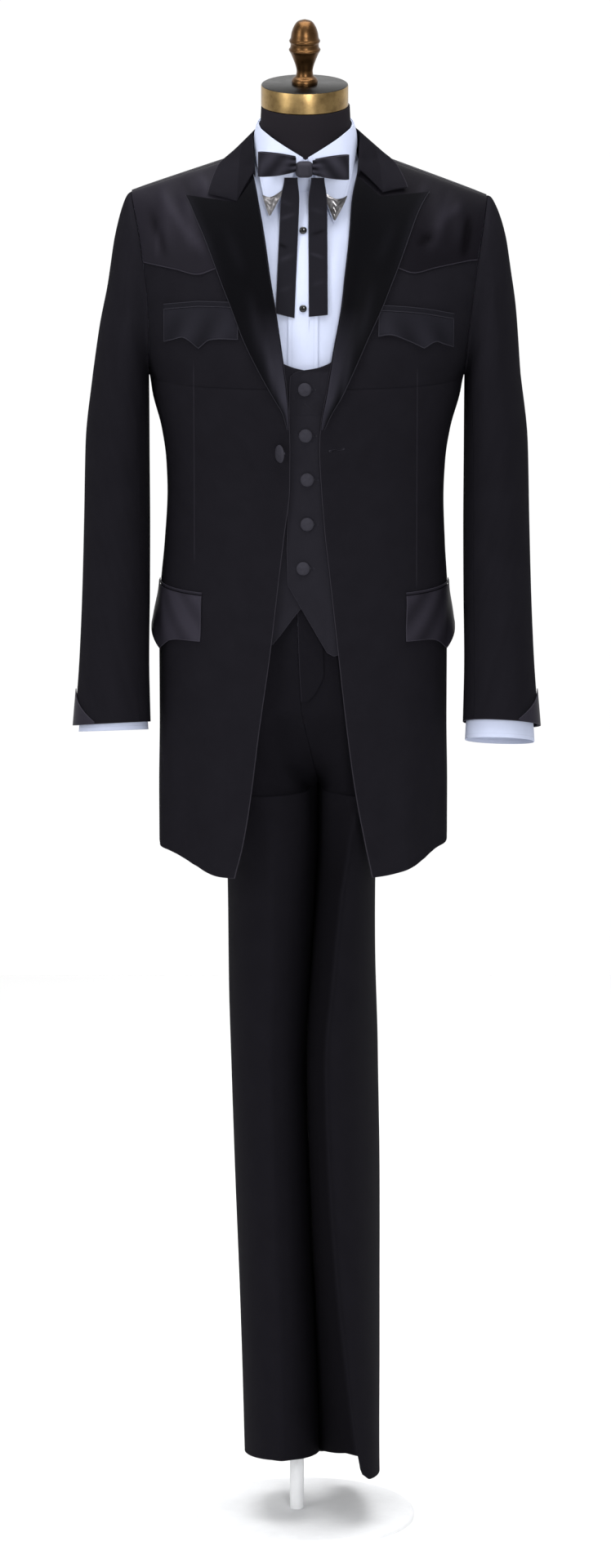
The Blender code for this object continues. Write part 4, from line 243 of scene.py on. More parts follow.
VEST_LEVELS = (1.152, 1.205, 1.2592, 1.3146, 1.3709, 1.4271, 1.452, 1.462, 1.4853, 1.5010,
               1.5060, 1.5180, 1.555, 1.599, 1.643, 1.6796, 1.7043, 1.713)
VEST_HEM_FADE = 1.3
VEST_EDGE = table("height under over", [
    (1.14, -0.018, -0.0243), (1.24, -0.018, -0.0243), (1.36, -0.018, -0.0212), (1.47, -0.018, -0.0201),
    (1.502, -0.015, -0.019), (1.508, -0.002, -0.008), (1.512, 0.015, 0.015), (1.52, 0.033, 0.033),
    (1.55, 0.056, 0.056), (1.62, 0.078, 0.078), (1.765, 0.092, 0.092),
])
VEST_ARMHOLE = table("level turn", [
    (1.452, 90), (1.456, 80), (1.464, 71), (1.48, 61), (1.5, 53.5), (1.53, 46.5), (1.57, 41.5),
    (1.64, 37.5), (1.713, 36),
])
VEST_HEM = {"over": table("x height", [
    (-0.026, 1.242), (-0.0243, 1.2389), (0.0304, 1.1471), (0.041, 1.1505), (0.1, 1.17), (0.1755, 1.186),
]), "under": table("x height", [
    (-0.018, 1.23), (0.0061, 1.21), (0.0395, 1.1646), (0.048, 1.159), (0.1, 1.17), (0.1755, 1.186),
])}
VEST_BACK_LEVELS = (1.186, 1.250, 1.336, 1.400, 1.452, 1.462, 1.4853, 1.518, 1.555, 1.599, 1.643,
                    1.6796, 1.7043, 1.713)
VEST_NECK_Y = 0.08
VEST_NECK_X = 0.092
VEST_BUTTONS = table("x height", [
    (-0.001, 1.4853), (0, 1.4271), (0.002, 1.3709), (0.002, 1.3146), (-0.003, 1.2592),
])
VEST_BUTTON_RADIUS = 0.0084
VEST_BUTTON_HEIGHT = 0.0042
# Ends of a waistcoat buttonhole and of the coat's own, the first seen from its button
VEST_BUTTONHOLE = ((0.0088, 0.0004), (0.0138, -0.0006))
COAT_BUTTONHOLE = ((0.0290, 1.4080), (0.0480, 1.4110))
WAIST_TOP = 1.262
WAISTBAND_HEIGHT = 0.038
CROTCH = 0.965
RISE_TOP = 1.075
BLOCK = table("height half_width front back", [
    (0.94, 0.112, 0.096, 0.105), (0.965, 0.122, 0.0995, 0.11), (1, 0.137, 0.104, 0.117),
    (1.05, 0.155, 0.109, 0.1195), (1.1, 0.165, 0.112, 0.119), (1.15, 0.1685, 0.113, 0.114),
    (1.21, 0.168, 0.112, 0.104), (1.262, 0.1645, 0.1095, 0.094),
])
FLY_LINE = table("height x", [
    (0.94, 0.0155), (0.965, 0.015), (1, 0.006), (1.079, -0.0051), (1.194, -0.0101), (1.262, -0.0105),
])
LEG = {"right": table("height outer_x inner_x middle_y front back turn", [
    (0.088, -0.0782, 0.0172, 0, 0.086, 0.086, 0), (0.2, -0.081, 0.0146, 0.001, 0.086, 0.087, 0),
    (0.3, -0.0842, 0.0122, 0.009, 0.086, 0.087, 0), (0.45, -0.0898, 0.007, 0.012, 0.087, 0.089, 0),
    (0.6, -0.0945, 0.003, 0.012, 0.088, 0.091, 0), (0.7, -0.0972, 0.0065, 0.012, 0.088, 0.092, 0),
    (0.834, -0.0985, 0.0135, 0.01, 0.09, 0.097, 0), (0.9, -0.101, 0.0155, 0.006, 0.093, 0.1, 0),
    (0.965, -0.122, 0.0155, 0.004, 0.099, 0.107, 0), (1.075, -0.15, 0.0155, 0.004, 0.105, 0.115, 0),
]), "left": table("height outer_x inner_x middle_y front back turn", [
    (0.066, 0.0937, 0.0177, 0, 0.104, 0.104, 5.7), (0.2, 0.095, 0.0152, 0, 0.102, 0.103, -0.9),
    (0.33, 0.0936, 0.0124, 0, 0.1, 0.101, -6.5), (0.478, 0.0913, 0.0082, 0, 0.097, 0.098, -10.5),
    (0.611, 0.0882, 0.0054, 0, 0.094, 0.096, -12), (0.739, 0.0871, 0.0093, 0.002, 0.092, 0.096, -6.8),
    (0.834, 0.088, 0.0142, 0.002, 0.091, 0.097, -3), (0.9, 0.096, 0.016, 0.003, 0.093, 0.1, 0),
    (0.965, 0.122, 0.0157, 0.004, 0.099, 0.107, 0), (1.075, 0.15, 0.0155, 0.004, 0.105, 0.115, 0),
])}
CREASE_SIZE = 0.0035
CREASE_WIDTH = 9.0
CREASE_TOP = 1.02
LEG_HEIGHTS = {
    "right": (0.088, 0.250, 0.430, 0.600, 0.750, 0.865, 0.935, 0.965),
    "left": (0.066, 0.240, 0.430, 0.600, 0.750, 0.865, 0.935, 0.965),
}
BLOCK_HEIGHTS = (0.972, 0.992, 1.030, 1.075, 1.140)
HEM_RISE = 0.011
# The left hem's front is held up between its crease and inseam: turn, and height added
HEM_LEFT = table("turn rise", [
    (0, 0), (66, 0), (84, 0.01), (90, 0.034), (112, 0.036), (150, 0.03), (180, 0.024),
])
HEM_RISE_FADE = 0.5
TROUSER_COLUMNS = 8
TROUSER_FOLDS = {("right", False): folds(
    (0.246, 1.3, 0.226, 0.82, 0.017, -0.005), (0.205, 1.25, 0.188, 0.78, 0.018, 0.003),
    (0.07, 0.56, 0.19, 0.52, 0.03, -0.002), (0.06, 0.23, 0.2, 0.21, 0.03, -0.002),
), ("left", False): folds(
    (0.215, 1.24, 0.205, 0.8, 0.018, 0.003), (0.17, 1.2, 0.16, 0.76, 0.018, -0.003),
    (0.06, 0.6, 0.18, 0.57, 0.03, -0.002), (0.05, 0.2, 0.17, 0.17, 0.03, -0.002),
), ("right", True): folds(
    (0.19, 1.12, 0.06, 0.9, 0.022, -0.004), (0.06, 0.64, 0.2, 0.6, 0.028, -0.003),
    (0.07, 0.48, 0.19, 0.51, 0.028, 0.002), (0.06, 0.22, 0.2, 0.18, 0.03, -0.003),
), ("left", True): folds(
    (0.195, 1.11, 0.07, 0.88, 0.022, -0.004), (0.07, 0.61, 0.19, 0.64, 0.028, -0.003),
    (0.06, 0.5, 0.2, 0.47, 0.028, 0.002), (0.06, 0.19, 0.2, 0.16, 0.03, -0.003),
)}
TROUSER_POWER = 2.05
FLY_WIDTH = 0.03
FLY_BOTTOM = 1.09
FLY_LIFT = 0.0006
FLY_WALL = 0.001
SHIRT_INSET = table("level depth", [
    (1.12, 0.02), (1.262, 0.0185), (1.33, 0.017), (1.42, 0.0155), (1.485, 0.0138), (1.56, 0.0119),
    (1.713, 0.0115),
])
SHIRT_LEVELS = (1.150, 1.255, 1.345, 1.425, 1.472, 1.497)
SHIRT_UNDERARM = 1.497
SHIRT_NECK_X = 0.065
SHIRT_NECK_FRONT = 0.068
SHIRT_NECK_BACK = 0.0655
SHIRT_COLUMNS = 7
SHIRT_SLEEVE = table("along outer_x outer_z inner_x inner_z middle_y half_depth pitch armhole", [
    (0, 0.207, 1.7, 0.186, 1.497, 0, 0.058, 0, 1), (1, 0.223, 1.683, 0.205, 1.495, 0, 0.06, 0, 0.4),
    (2, 0.239, 1.61, 0.2056, 1.482, 0, 0.066, 0, 0), (3, 0.254, 1.5, 0.2056, 1.44, 0.001, 0.07, 0, 0),
    (4, 0.268, 1.37, 0.2056, 1.35, 0, 0.067, 3, 0), (5, 0.2715, 1.23, 0.206, 1.23, -0.012, 0.059, 8, 0),
    (6, 0.277, 1.12, 0.207, 1.122, -0.03, 0.048, 11, 0),
])
SHIRT_CUFF = table("along outer_x outer_z inner_x inner_z middle_y half_depth pitch armhole", [
    (0, 0.2795, 1.1, 0.203, 1.102, -0.034, 0.048, 11, 0),
    (1, 0.286, 1.042, 0.1983, 1.045, -0.045, 0.0505, 13, 0),
])
CUFF_SHOWS = {"right": 0.0040, "left": 0.0170}
CUFF_SLIT_TURN = 9.0
SHIRT_SLEEVE_STEP = 36.0
STAND_TOP = table("turn x y height", [
    (0, 0, -0.067, 1.7612), (45, 0.044, -0.048, 1.785), (90, 0.0587, 0, 1.7985),
    (135, 0.0425, 0.0425, 1.805), (180, 0, 0.059, 1.807),
])
FALL = table("along fold_x fold_y fold_z edge_x edge_y edge_z", [
    (0, 0.003, -0.072, 1.765, 0.04, -0.0905, 1.691), (0.11, 0.024, -0.066, 1.7772, 0.05, -0.077, 1.716),
    (0.22, 0.043, -0.0525, 1.7885, 0.0565, -0.056, 1.742), (0.5, 0.0592, 0, 1.7991, 0.0632, 0, 1.773),
    (0.75, 0.043, 0.043, 1.8056, 0.047, 0.05, 1.774), (1, 0, 0.0595, 1.8076, 0, 0.068, 1.774),
])
FALL_POINT = {"right": (0.0032, 0.0024), "left": (-0.0055, -0.0036)}
FALL_POINT_FADE = 0.22
FALL_BULGE = 0.0012
TIP_ALONG = 0.12
TIP_ACROSS = 0.5
TIP_NOTCH = 0.16
# Lifts of the silver tip's two faces, and heights of its rim and of its scrolls
TIP_LIFT = (0.0018, 0.0008)
TIP_RIM = 0.0005
TIP_SCROLL = 0.00022
PLACKET_X = (-0.0221, 0.0151)
PLACKET_LOW = 1.16
PLACKET_LIFT = 0.0009
PLACKET_WALL = 0.0009
STUDS = table("x height", [(-0.003, 1.6779), (-0.003, 1.5842)])
STUD_RADIUS = 0.0046
STUD_HEIGHT = 0.0032
LOOP_PATH = table("along x y height", [
    (0, 0.01, -0.0955, 0.018), (0.15, 0.02, -0.0985, 0.0225), (0.32, 0.037, -0.1, 0.028),
    (0.46, 0.052, -0.0955, 0.0305), (0.52, 0.0545, -0.0905, 0.0305), (0.6, 0.05, -0.0855, 0.03),
    (0.8, 0.03, -0.083, 0.025), (1, 0.012, -0.084, 0.0185),
])
LOOP_MIDDLE = 1.759
LOOP_DROP = {"right": -0.0005, "left": 0.0031}
LOOP_REACH = {"right": 1.075, "left": 1.0}
LOOP_WALL = 0.0013
# The bow's pleats at the knot, the waves of its loops and the bulge between their edges
LOOP_PLEAT = 0.0011
LOOP_WAVE = 0.0006
LOOP_BULGE = 0.0015
LOOP_START = {"right": 0.4, "left": 1.3}
KNOT_TAPER = 0.42
KNOT_WRAP = 0.035
KNOT_POWER = 3.0
KNOT_HALF = (0.0112, 0.0103, 0.0095)
KNOT_PLACE = (-0.0014, -0.0878, 1.7525)
TAIL = table("height y", [
    (1.7424, -0.088), (1.7, -0.092), (1.68, -0.0955), (1.66, -0.1002), (1.64, -0.1048),
    (1.605, -0.1132), (1.5755, -0.119),
])
TAIL_TOP_X = {"right": -0.0178, "left": 0.0150}
TAIL_LOW_X = {"right": -0.0252, "left": 0.0158}
TAIL_BACK = {"right": 0.0013, "left": 0.0}
TAIL_HALF_WIDTH = 0.0117
TAIL_WALL = 0.0012
TAIL_GATHER = 0.3
TAIL_SLANT = {"right": 0.003, "left": -0.0012}
FORM = table("height half_width front back middle_y tilt", [
    (1.06, 0.118, 0.08, 0.085, 0, 0), (1.064, 0.132, 0.091, 0.096, 0, 0),
    (1.08, 0.146, 0.099, 0.104, 0, 0), (1.15, 0.153, 0.102, 0.098, 0, 0),
    (1.21, 0.154, 0.101, 0.089, 0, 0), (1.27, 0.152, 0.0985, 0.0795, 0, 0),
    (1.336, 0.15, 0.0995, 0.0775, 0, 0), (1.4, 0.156, 0.107, 0.087, 0, 0),
    (1.46, 0.167, 0.115, 0.1, 0, 0), (1.55, 0.172, 0.112, 0.11, 0, 0), (1.6, 0.172, 0.104, 0.108, 0, 0),
    (1.645, 0.169, 0.096, 0.103, 0, 0), (1.68, 0.156, 0.085, 0.096, 0, 0),
    (1.703, 0.134, 0.0755, 0.085, 0, 0), (1.72, 0.11, 0.067, 0.075, 0, 0),
    (1.735, 0.087, 0.062, 0.066, -0.001, 0), (1.742, 0.065, 0.059, 0.06, -0.0015, 0),
    (1.75, 0.06, 0.058, 0.059, -0.002, 0), (1.77, 0.0575, 0.0565, 0.057, -0.003, 0),
    (1.795, 0.0562, 0.055, 0.055, -0.005, 3), (1.8215, 0.0548, 0.0548, 0.0548, -0.007, 6),
])
FORM_NECK = 1.743
FORM_NECK_RADIUS = 0.057
FORM_CLEARANCE = 0.017
FORM_DROP = 0.007
CAP_RADIUS = 0.054
CAP_HEIGHT = 0.027
CAP_TILT = 6.0
CAP_BASE = (-0.0010, -0.0072, 1.8219)
FINIAL_PROFILE = (
    (0.0160, 0.0000), (0.0162, 0.0030), (0.0150, 0.0065), (0.0108, 0.0105), (0.0100, 0.0160),
    (0.0112, 0.0225), (0.0150, 0.0330), (0.0176, 0.0390), (0.0196, 0.0430), (0.0178, 0.0460),
    (0.0174, 0.0500), (0.0192, 0.0540), (0.0174, 0.0575), (0.0166, 0.0630), (0.0140, 0.0710),
    (0.0085, 0.0785), (0.0, 0.0812),
)
POLE_RADIUS = 0.009
POLE_X = -0.011
POLE_TOP = 1.0597
BASE_RADIUS = 0.14
BASE_HEIGHT = 0.01

# Smaller folds of each piece, beside the larger ones that the solids have too
COAT_CREASES = {"right": folds(
    (0.24, 1.56, 0.205, 1.43, 0.008, -0.0012), (0.062, 1.5, 0.055, 1.3, 0.012, 0.0007),
    (0.014, 1.408, 0.112, 1.446, 0.005, 0.0009), (0.014, 1.4, 0.124, 1.384, 0.006, -0.0008),
    (0.196, 1.384, 0.262, 1.334, 0.008, -0.0012), (0.186, 1.345, 0.254, 1.3, 0.009, 0.0009),
    (0.062, 1.15, 0.045, 0.88, 0.014, -0.0015), (0.03, 1.12, 0.018, 0.88, 0.01, 0.0012),
    (0.182, 1.1, 0.187, 0.86, 0.012, 0.0012), (0.24, 1.05, 0.236, 0.87, 0.01, -0.001),
    (0.3, 1.565, 0.348, 1.42, 0.009, -0.0016), (0.33, 1.59, 0.392, 1.48, 0.01, 0.0015),
    (0.48, 1.56, 0.492, 1.33, 0.014, 0.001), (0.296, 1.374, 0.402, 1.35, 0.007, -0.0014),
    (0.306, 1.332, 0.424, 1.326, 0.008, 0.0012), (0.42, 1.3, 0.504, 1.278, 0.008, -0.0012),
    (0.37, 1.15, 0.364, 0.87, 0.011, -0.0014), (0.502, 1.1, 0.494, 0.87, 0.012, 0.0012),
), "left": folds(
    (0.236, 1.552, 0.21, 1.446, 0.008, -0.001), (0.05, 1.48, 0.058, 1.31, 0.011, 0.0006),
    (0.016, 1.404, 0.104, 1.425, 0.0055, 0.0008), (0.018, 1.396, 0.096, 1.352, 0.006, -0.0008),
    (0.2, 1.372, 0.264, 1.352, 0.008, 0.001), (0.18, 1.322, 0.25, 1.292, 0.009, -0.0011),
    (0.052, 1.13, 0.06, 0.88, 0.012, -0.0012), (0.084, 1.06, 0.08, 0.88, 0.01, 0.001),
    (0.164, 1.08, 0.17, 0.86, 0.013, -0.0012), (0.226, 1.1, 0.232, 0.88, 0.011, 0.0012),
    (0.304, 1.55, 0.34, 1.44, 0.008, -0.0014), (0.346, 1.584, 0.404, 1.452, 0.01, 0.0014),
    (0.3, 1.352, 0.416, 1.366, 0.008, 0.0013), (0.312, 1.312, 0.4, 1.3, 0.007, -0.0013),
    (0.43, 1.34, 0.506, 1.31, 0.008, 0.001), (0.344, 1.1, 0.35, 0.87, 0.01, 0.0013),
    (0.424, 1.14, 0.418, 0.87, 0.012, -0.0014), (0.49, 1.5, 0.484, 1.38, 0.012, -0.0009),
)}
SLEEVE_CREASES = {"right": folds(
    (0.03, 0.03, 0.062, 0.13, 0.008, 0.001), (-0.04, 0.03, -0.074, 0.14, 0.009, -0.0012),
    (0.112, 0.15, 0.082, 0.32, 0.01, -0.0014), (0.02, 0.486, 0.134, 0.46, 0.008, -0.0018),
    (0.01, 0.56, 0.124, 0.572, 0.007, 0.0014), (0.036, 0.648, 0.152, 0.622, 0.008, -0.0016),
    (-0.122, 0.536, -0.018, 0.566, 0.008, 0.0013), (-0.152, 0.476, -0.056, 0.502, 0.009, -0.0015),
    (0.058, 0.68, 0.074, 0.79, 0.01, 0.001), (-0.1, 0.64, -0.03, 0.66, 0.008, -0.0012),
    (-0.03, 0.18, -0.046, 0.43, 0.01, -0.0014), (0.14, 0.38, 0.16, 0.52, 0.009, 0.0012),
), "left": folds(
    (0.024, 0.026, 0.048, 0.142, 0.008, -0.001), (-0.052, 0.036, -0.066, 0.15, 0.009, 0.001),
    (0.104, 0.17, 0.092, 0.35, 0.01, -0.0012), (0.016, 0.512, 0.128, 0.54, 0.008, -0.0018),
    (0.03, 0.468, 0.12, 0.452, 0.007, 0.0013), (0.02, 0.604, 0.15, 0.588, 0.008, -0.0016),
    (0.06, 0.66, 0.146, 0.676, 0.008, 0.0012), (-0.146, 0.52, -0.04, 0.5, 0.008, -0.0014),
    (-0.13, 0.59, -0.024, 0.612, 0.009, 0.0013), (-0.02, 0.2, -0.036, 0.45, 0.01, 0.001),
    (0.066, 0.69, 0.06, 0.79, 0.009, -0.001), (-0.16, 0.3, -0.13, 0.44, 0.01, -0.0012),
)}
TROUSER_CREASES = {("right", False): folds(
    (0.22, 1.16, 0.172, 1.06, 0.007, -0.001), (0.238, 1.11, 0.196, 0.96, 0.008, 0.0012),
    (0.19, 0.76, 0.15, 0.7, 0.009, -0.0012), (0.06, 0.59, 0.12, 0.56, 0.009, -0.0014),
    (0.16, 0.53, 0.222, 0.546, 0.008, 0.0012), (0.07, 0.5, 0.112, 0.478, 0.008, 0.001),
    (0.176, 0.33, 0.216, 0.31, 0.01, -0.0012), (0.05, 0.24, 0.11, 0.212, 0.01, 0.0012),
    (0.156, 0.17, 0.21, 0.15, 0.009, -0.0014), (0.066, 0.13, 0.106, 0.12, 0.008, 0.001),
), ("left", False): folds(
    (0.214, 1.17, 0.178, 1.08, 0.007, 0.001), (0.23, 1.09, 0.2, 0.98, 0.008, -0.0012),
    (0.07, 0.72, 0.118, 0.68, 0.01, -0.0012), (0.15, 0.61, 0.22, 0.59, 0.008, 0.0014),
    (0.06, 0.56, 0.112, 0.54, 0.008, -0.0012), (0.16, 0.486, 0.214, 0.47, 0.008, -0.001),
    (0.06, 0.35, 0.116, 0.33, 0.01, 0.001), (0.15, 0.252, 0.21, 0.24, 0.01, -0.0014),
    (0.06, 0.196, 0.11, 0.16, 0.01, -0.0012), (0.156, 0.13, 0.2, 0.116, 0.008, 0.001),
), ("right", True): folds(
    (0.222, 1.09, 0.15, 0.98, 0.009, -0.0018), (0.21, 1, 0.12, 0.89, 0.01, 0.0014),
    (0.23, 0.93, 0.16, 0.84, 0.009, -0.0014), (0.06, 0.66, 0.18, 0.61, 0.009, -0.0016),
    (0.07, 0.57, 0.2, 0.58, 0.008, 0.0014), (0.08, 0.5, 0.17, 0.47, 0.009, -0.0012),
    (0.06, 0.29, 0.14, 0.262, 0.011, 0.0012), (0.12, 0.18, 0.21, 0.15, 0.01, -0.0014),
), ("left", True): folds(
    (0.226, 1.1, 0.144, 1.01, 0.009, 0.0014), (0.214, 1.02, 0.13, 0.88, 0.01, -0.0018),
    (0.236, 0.91, 0.18, 0.82, 0.009, 0.0012), (0.07, 0.64, 0.19, 0.622, 0.009, 0.0015),
    (0.06, 0.59, 0.16, 0.55, 0.008, -0.0015), (0.1, 0.51, 0.21, 0.486, 0.009, 0.0012),
    (0.07, 0.31, 0.16, 0.3, 0.011, -0.0012), (0.06, 0.15, 0.15, 0.128, 0.01, 0.0012),
)}
YOKE_CREASES = {"right": folds(
    (0.186, 1.714, 0.136, 1.628, 0.0055, 0.0013), (0.198, 1.694, 0.174, 1.628, 0.005, -0.001),
    (0.16, 1.72, 0.122, 1.652, 0.005, -0.0009), (0.152, 1.664, 0.126, 1.624, 0.0045, 0.0011),
    (0.142, 1.716, 0.112, 1.68, 0.0045, 0.0008), (0.186, 1.676, 0.188, 1.628, 0.004, 0.0008),
), "left": folds(
    (0.178, 1.712, 0.142, 1.63, 0.0055, 0.0009), (0.196, 1.69, 0.186, 1.632, 0.005, -0.001),
    (0.15, 1.716, 0.12, 1.66, 0.005, 0.0007), (0.16, 1.66, 0.128, 1.64, 0.0045, -0.0008),
    (0.19, 1.7, 0.16, 1.67, 0.0045, 0.0008),
)}
YOKE_BACK_CREASES = folds(
    (-0.18, 1.706, -0.15, 1.62, 0.006, 0.0013), (-0.14, 1.712, -0.11, 1.624, 0.006, -0.001),
    (-0.08, 1.716, -0.086, 1.62, 0.007, 0.001), (-0.03, 1.715, -0.016, 1.6, 0.006, -0.0008),
    (0.034, 1.716, 0.026, 1.604, 0.006, 0.001), (0.092, 1.714, 0.074, 1.622, 0.007, -0.0011),
    (0.13, 1.712, 0.146, 1.632, 0.006, 0.0011), (0.184, 1.704, 0.17, 1.636, 0.0055, -0.0011),
)
VEST_CREASES = folds(
    (0.006, 1.485, 0.06, 1.5, 0.004, 0.0006), (0.006, 1.427, 0.07, 1.42, 0.0045, -0.0006),
    (0.006, 1.371, 0.08, 1.35, 0.0045, 0.0007), (0.01, 1.315, 0.09, 1.33, 0.005, -0.0007),
    (0.01, 1.259, 0.08, 1.215, 0.006, 0.0007), (0.12, 1.33, 0.26, 1.35, 0.008, -0.001),
    (0.3, 1.3, 0.45, 1.33, 0.009, -0.0014), (0.29, 1.36, 0.42, 1.345, 0.008, 0.0012),
    (0.4, 1.25, 0.5, 1.27, 0.008, 0.001),
)
SHIRT_CREASES = folds(
    (0.06, 1.69, 0.05, 1.56, 0.006, 0.001), (0.084, 1.7, 0.07, 1.59, 0.006, -0.0009),
    (0.11, 1.66, 0.086, 1.54, 0.007, 0.0008), (0.15, 1.45, 0.14, 1.25, 0.01, -0.0012),
    (0.38, 1.6, 0.4, 1.4, 0.01, 0.0012), (0.46, 1.62, 0.45, 1.42, 0.01, -0.0012),
)
# Front seams of the coat, drawn as painted highlight lines over a groove: distance from the middle, lower
# end, upper end
COAT_DARTS = ((-0.1380, 1.2775, 1.5000), (0.1380, 1.2440, 1.4940))
# Lapel streaks: small folds of the lapels that also carry painted highlights
LAPEL_STREAKS = {"right": folds(
    (0.052, 1.56, 0.026, 1.44, 0.0045, 0.0016), (0.07, 1.61, 0.05, 1.52, 0.006, 0.0006),
    (0.04, 1.52, 0.028, 1.42, 0.003, -0.001), (0.1, 1.69, 0.072, 1.62, 0.007, 0.0003),
), "left": folds(
    (0.058, 1.55, 0.036, 1.43, 0.0045, 0.0012), (0.084, 1.62, 0.062, 1.53, 0.006, 0.0005),
    (0.044, 1.5, 0.034, 1.42, 0.003, -0.0008), (0.11, 1.69, 0.086, 1.63, 0.007, 0.0003),
)}
TAIL_CREASES = folds(
    (-0.036, 1.716, -0.014, 1.708, 0.0022, 0.0008), (-0.036, 1.69, -0.01, 1.699, 0.0026, 0.0009),
    (-0.038, 1.664, -0.02, 1.656, 0.0022, -0.0006), (-0.036, 1.64, -0.012, 1.65, 0.003, 0.0006),
    (-0.037, 1.604, -0.014, 1.612, 0.0024, 0.0005), (0.002, 1.706, 0.026, 1.698, 0.0024, 0.0005),
    (0.004, 1.672, 0.028, 1.68, 0.0022, -0.0005), (0.002, 1.652, 0.026, 1.644, 0.002, 0.0007),
    (0.004, 1.612, 0.026, 1.618, 0.0026, 0.0005),
)
VEST_BUTTON_SHARES = (
    (0.80, 0.0), (0.95, 0.12), (1.0, 0.35), (0.95, 0.58), (0.82, 0.78), (0.6, 0.91), (0.3, 0.98), (0.0, 1.0),
)
STUD_SHARES = ((0.85, 0.0), (0.97, 0.15), (1.0, 0.4), (0.9, 0.66), (0.70, 0.85), (0.4, 0.96), (0.0, 1.0))
BARE = 0.1
# Even painted light level of small satin pieces that hold no painted light of their own
SMALL_PAINTED_LIGHT = 0.35


def rows_at(rows, at):
    """Every column of a table, read at one place."""
    return {name: read(rows, name, at) for name in rows}


def limited(value):
    """A value kept between 0 and 1."""
    return np.clip(value, 0.0, 1.0)


def ease(share):
    """A share from 0 to 1 that starts and ends gently."""
    return share * share * (3.0 - 2.0 * share)


def beside(share, power):
    """The other share of a superellipse: (1 - share ** power) ** (1 / power)."""
    return np.maximum(1.0 - share ** power, 0.0) ** (1.0 / power)


def in_space(x, y, z):
    """Points from their three numbers, each a grid, a row, a column or one value."""
    return np.stack(np.broadcast_arrays(x, y, z), axis=-1)


def joined(halves):
    """Both faces of a panel across the body, from those of its right and left halves."""
    return [np.hstack([right[:, ::-1], left[:, 1:]]) for right, left in zip(halves["right"], halves["left"])]


def set_painted_shading(mesh, tones):
    """Hold painted light and shade at a mesh's points: 0 dark to 1 light on satin, 1 full painted shade on
    trousers.
    """
    layer = mesh.attributes.new("painted_shading", "FLOAT", "POINT")
    layer.data.foreach_set("value", np.asarray(tones, dtype=np.float32))


def rise_of(level):
    """How far a level stands between the underarm and the shoulder's tip, from 0 to 1."""
    return limited((level - UNDERARM) / (TIP - UNDERARM))


def half_at(level):
    """Half the torso's width at a level."""
    return read(BODY, "half_width", level)


def depth_at(level, back):
    """The torso's depth in front of its axis or behind it at a level."""
    return read(BODY, "back" if back else "front", level)


def centre(side, level):
    """How far the torso's middle leans to one side at a level."""
    return SIDES[side] * read(CENTRE, "x", level)


def height_at(side, x, level, inset):
    """Height of a level: up to the underarm it is the level, and above it rises to the ridge."""
    top = shoulder_height(side, x, inset)
    return np.where(level <= UNDERARM, level, UNDERARM + rise_of(level) * (top - UNDERARM))


def across_at(turn, half):
    """Distance from the torso's middle at a turn, for half its width."""
    return half * rounded(np.sin(np.radians(turn)), BODY_POWER)


def turn_of(share):
    """The turn at which the torso reaches a share of half its width."""
    share = np.clip(share, -1.0, 1.0)
    return np.degrees(np.arcsin(np.sign(share) * np.abs(share) ** (BODY_POWER / 2.0)))


def torso_wall(side, turn, level, near, far, **where):
    """Both faces of a layer of the torso, at two depths."""
    return [on_torso(side, turn, level, inset, **where) for inset in (near, far)]


def coat_panel(name, side, turn, level, still, start, under, free, **where):
    """A panel of the coat's body, with its smaller folds and the ripple of its skirt."""
    fold = creases(turn * FOLD_ACROSS, level, COAT_CREASES[side]) * calm(turn.shape, 0, 12, still, 5)
    faces = torso_wall(side, turn, level, 0.0, COAT_WALL, **where)
    faces = pushed(faces, fold + hem_ripple(turn, level, start))
    make_wall(name + side, faces, "coat cloth", rests_on=(under,), free=free)


def yoke_grid(side, columns, low, outline, back=False):
    """Turns and levels of a yoke whose lowest row lies on its pointed edge."""
    ridge = np.append(YOKE_LEVELS[:-1], YOKE_RIDGE["back" if back else "front"])[:, None]
    panel_turn = coat_back_turn if back else coat_front_turn
    low = np.full(columns * FINE_COLUMNS + 1, low)
    for _ in range(5):
        rows = [low, ridge + 0.0 * low]
        if back:
            rows.insert(1, np.maximum(YOKE_BACK_LEVEL, low + 0.2 * (YOKE_LEVELS[0] - low)))
        level = finer_to_ridge(np.vstack(rows), BACK_CLOSING if back else FRONT_CLOSING)
        turn = np.stack([panel_turn(side, level[:, n])[:, n] for n in range(len(low))], axis=1)
        x = np.abs(across_at(turn[0], half_at(low)) + centre(side, low))
        low = to_level(side, x, read(outline, "height", x))
    return turn, level


def sleeve_folds(turn, along, rows):
    """Folds of a sleeve at a turn in degrees and a station."""
    around = (turn + 180.0) % 360.0 - 180.0
    return creases(around * SLEEVE_ACROSS, along * SLEEVE_ALONG, rows)


def round_body(faces, rows, cells):
    """Both faces of a panel across the body, moved by small folds given by turn and height."""
    around = np.degrees(np.arctan2(np.abs(faces[0][..., 0]), -faces[0][..., 1]))
    fold = creases(around * FOLD_ACROSS, faces[0][..., 2], rows)
    return pushed(faces, fold * calm(fold.shape, 0, cells, 5, 5))


def buttonholes():
    """The buttonholes beside the waistcoat's buttons and the coat's own."""
    for number, (x, z) in enumerate(zip(VEST_BUTTONS["x"], VEST_BUTTONS["height"]), start=1):
        ends = [(x + aside, z + above) for aside, above in VEST_BUTTONHOLE]
        buttonhole("vest_buttonhole_%d" % number, "left", ends, VEST_INSET, "satin", 0.0009, 0.0004)
    buttonhole("coat_buttonhole", "left", COAT_BUTTONHOLE, 0.0, "satin")


def round_quarters(quarter, turned):
    """A ring from four quarters, the left front one first, each read towards the next."""
    parts = []
    for side, back in (("left", False), ("left", True), ("right", True), ("right", False)):
        part = quarter(side, back)
        parts.append(part[:-1] if ((side == "left") == back) != turned else part[::-1][:-1])
    return np.concatenate(parts)


def trouser_leg(side):
    """Both panels of a trouser leg."""
    for back in (False, True):
        trouser_panel(side, back)


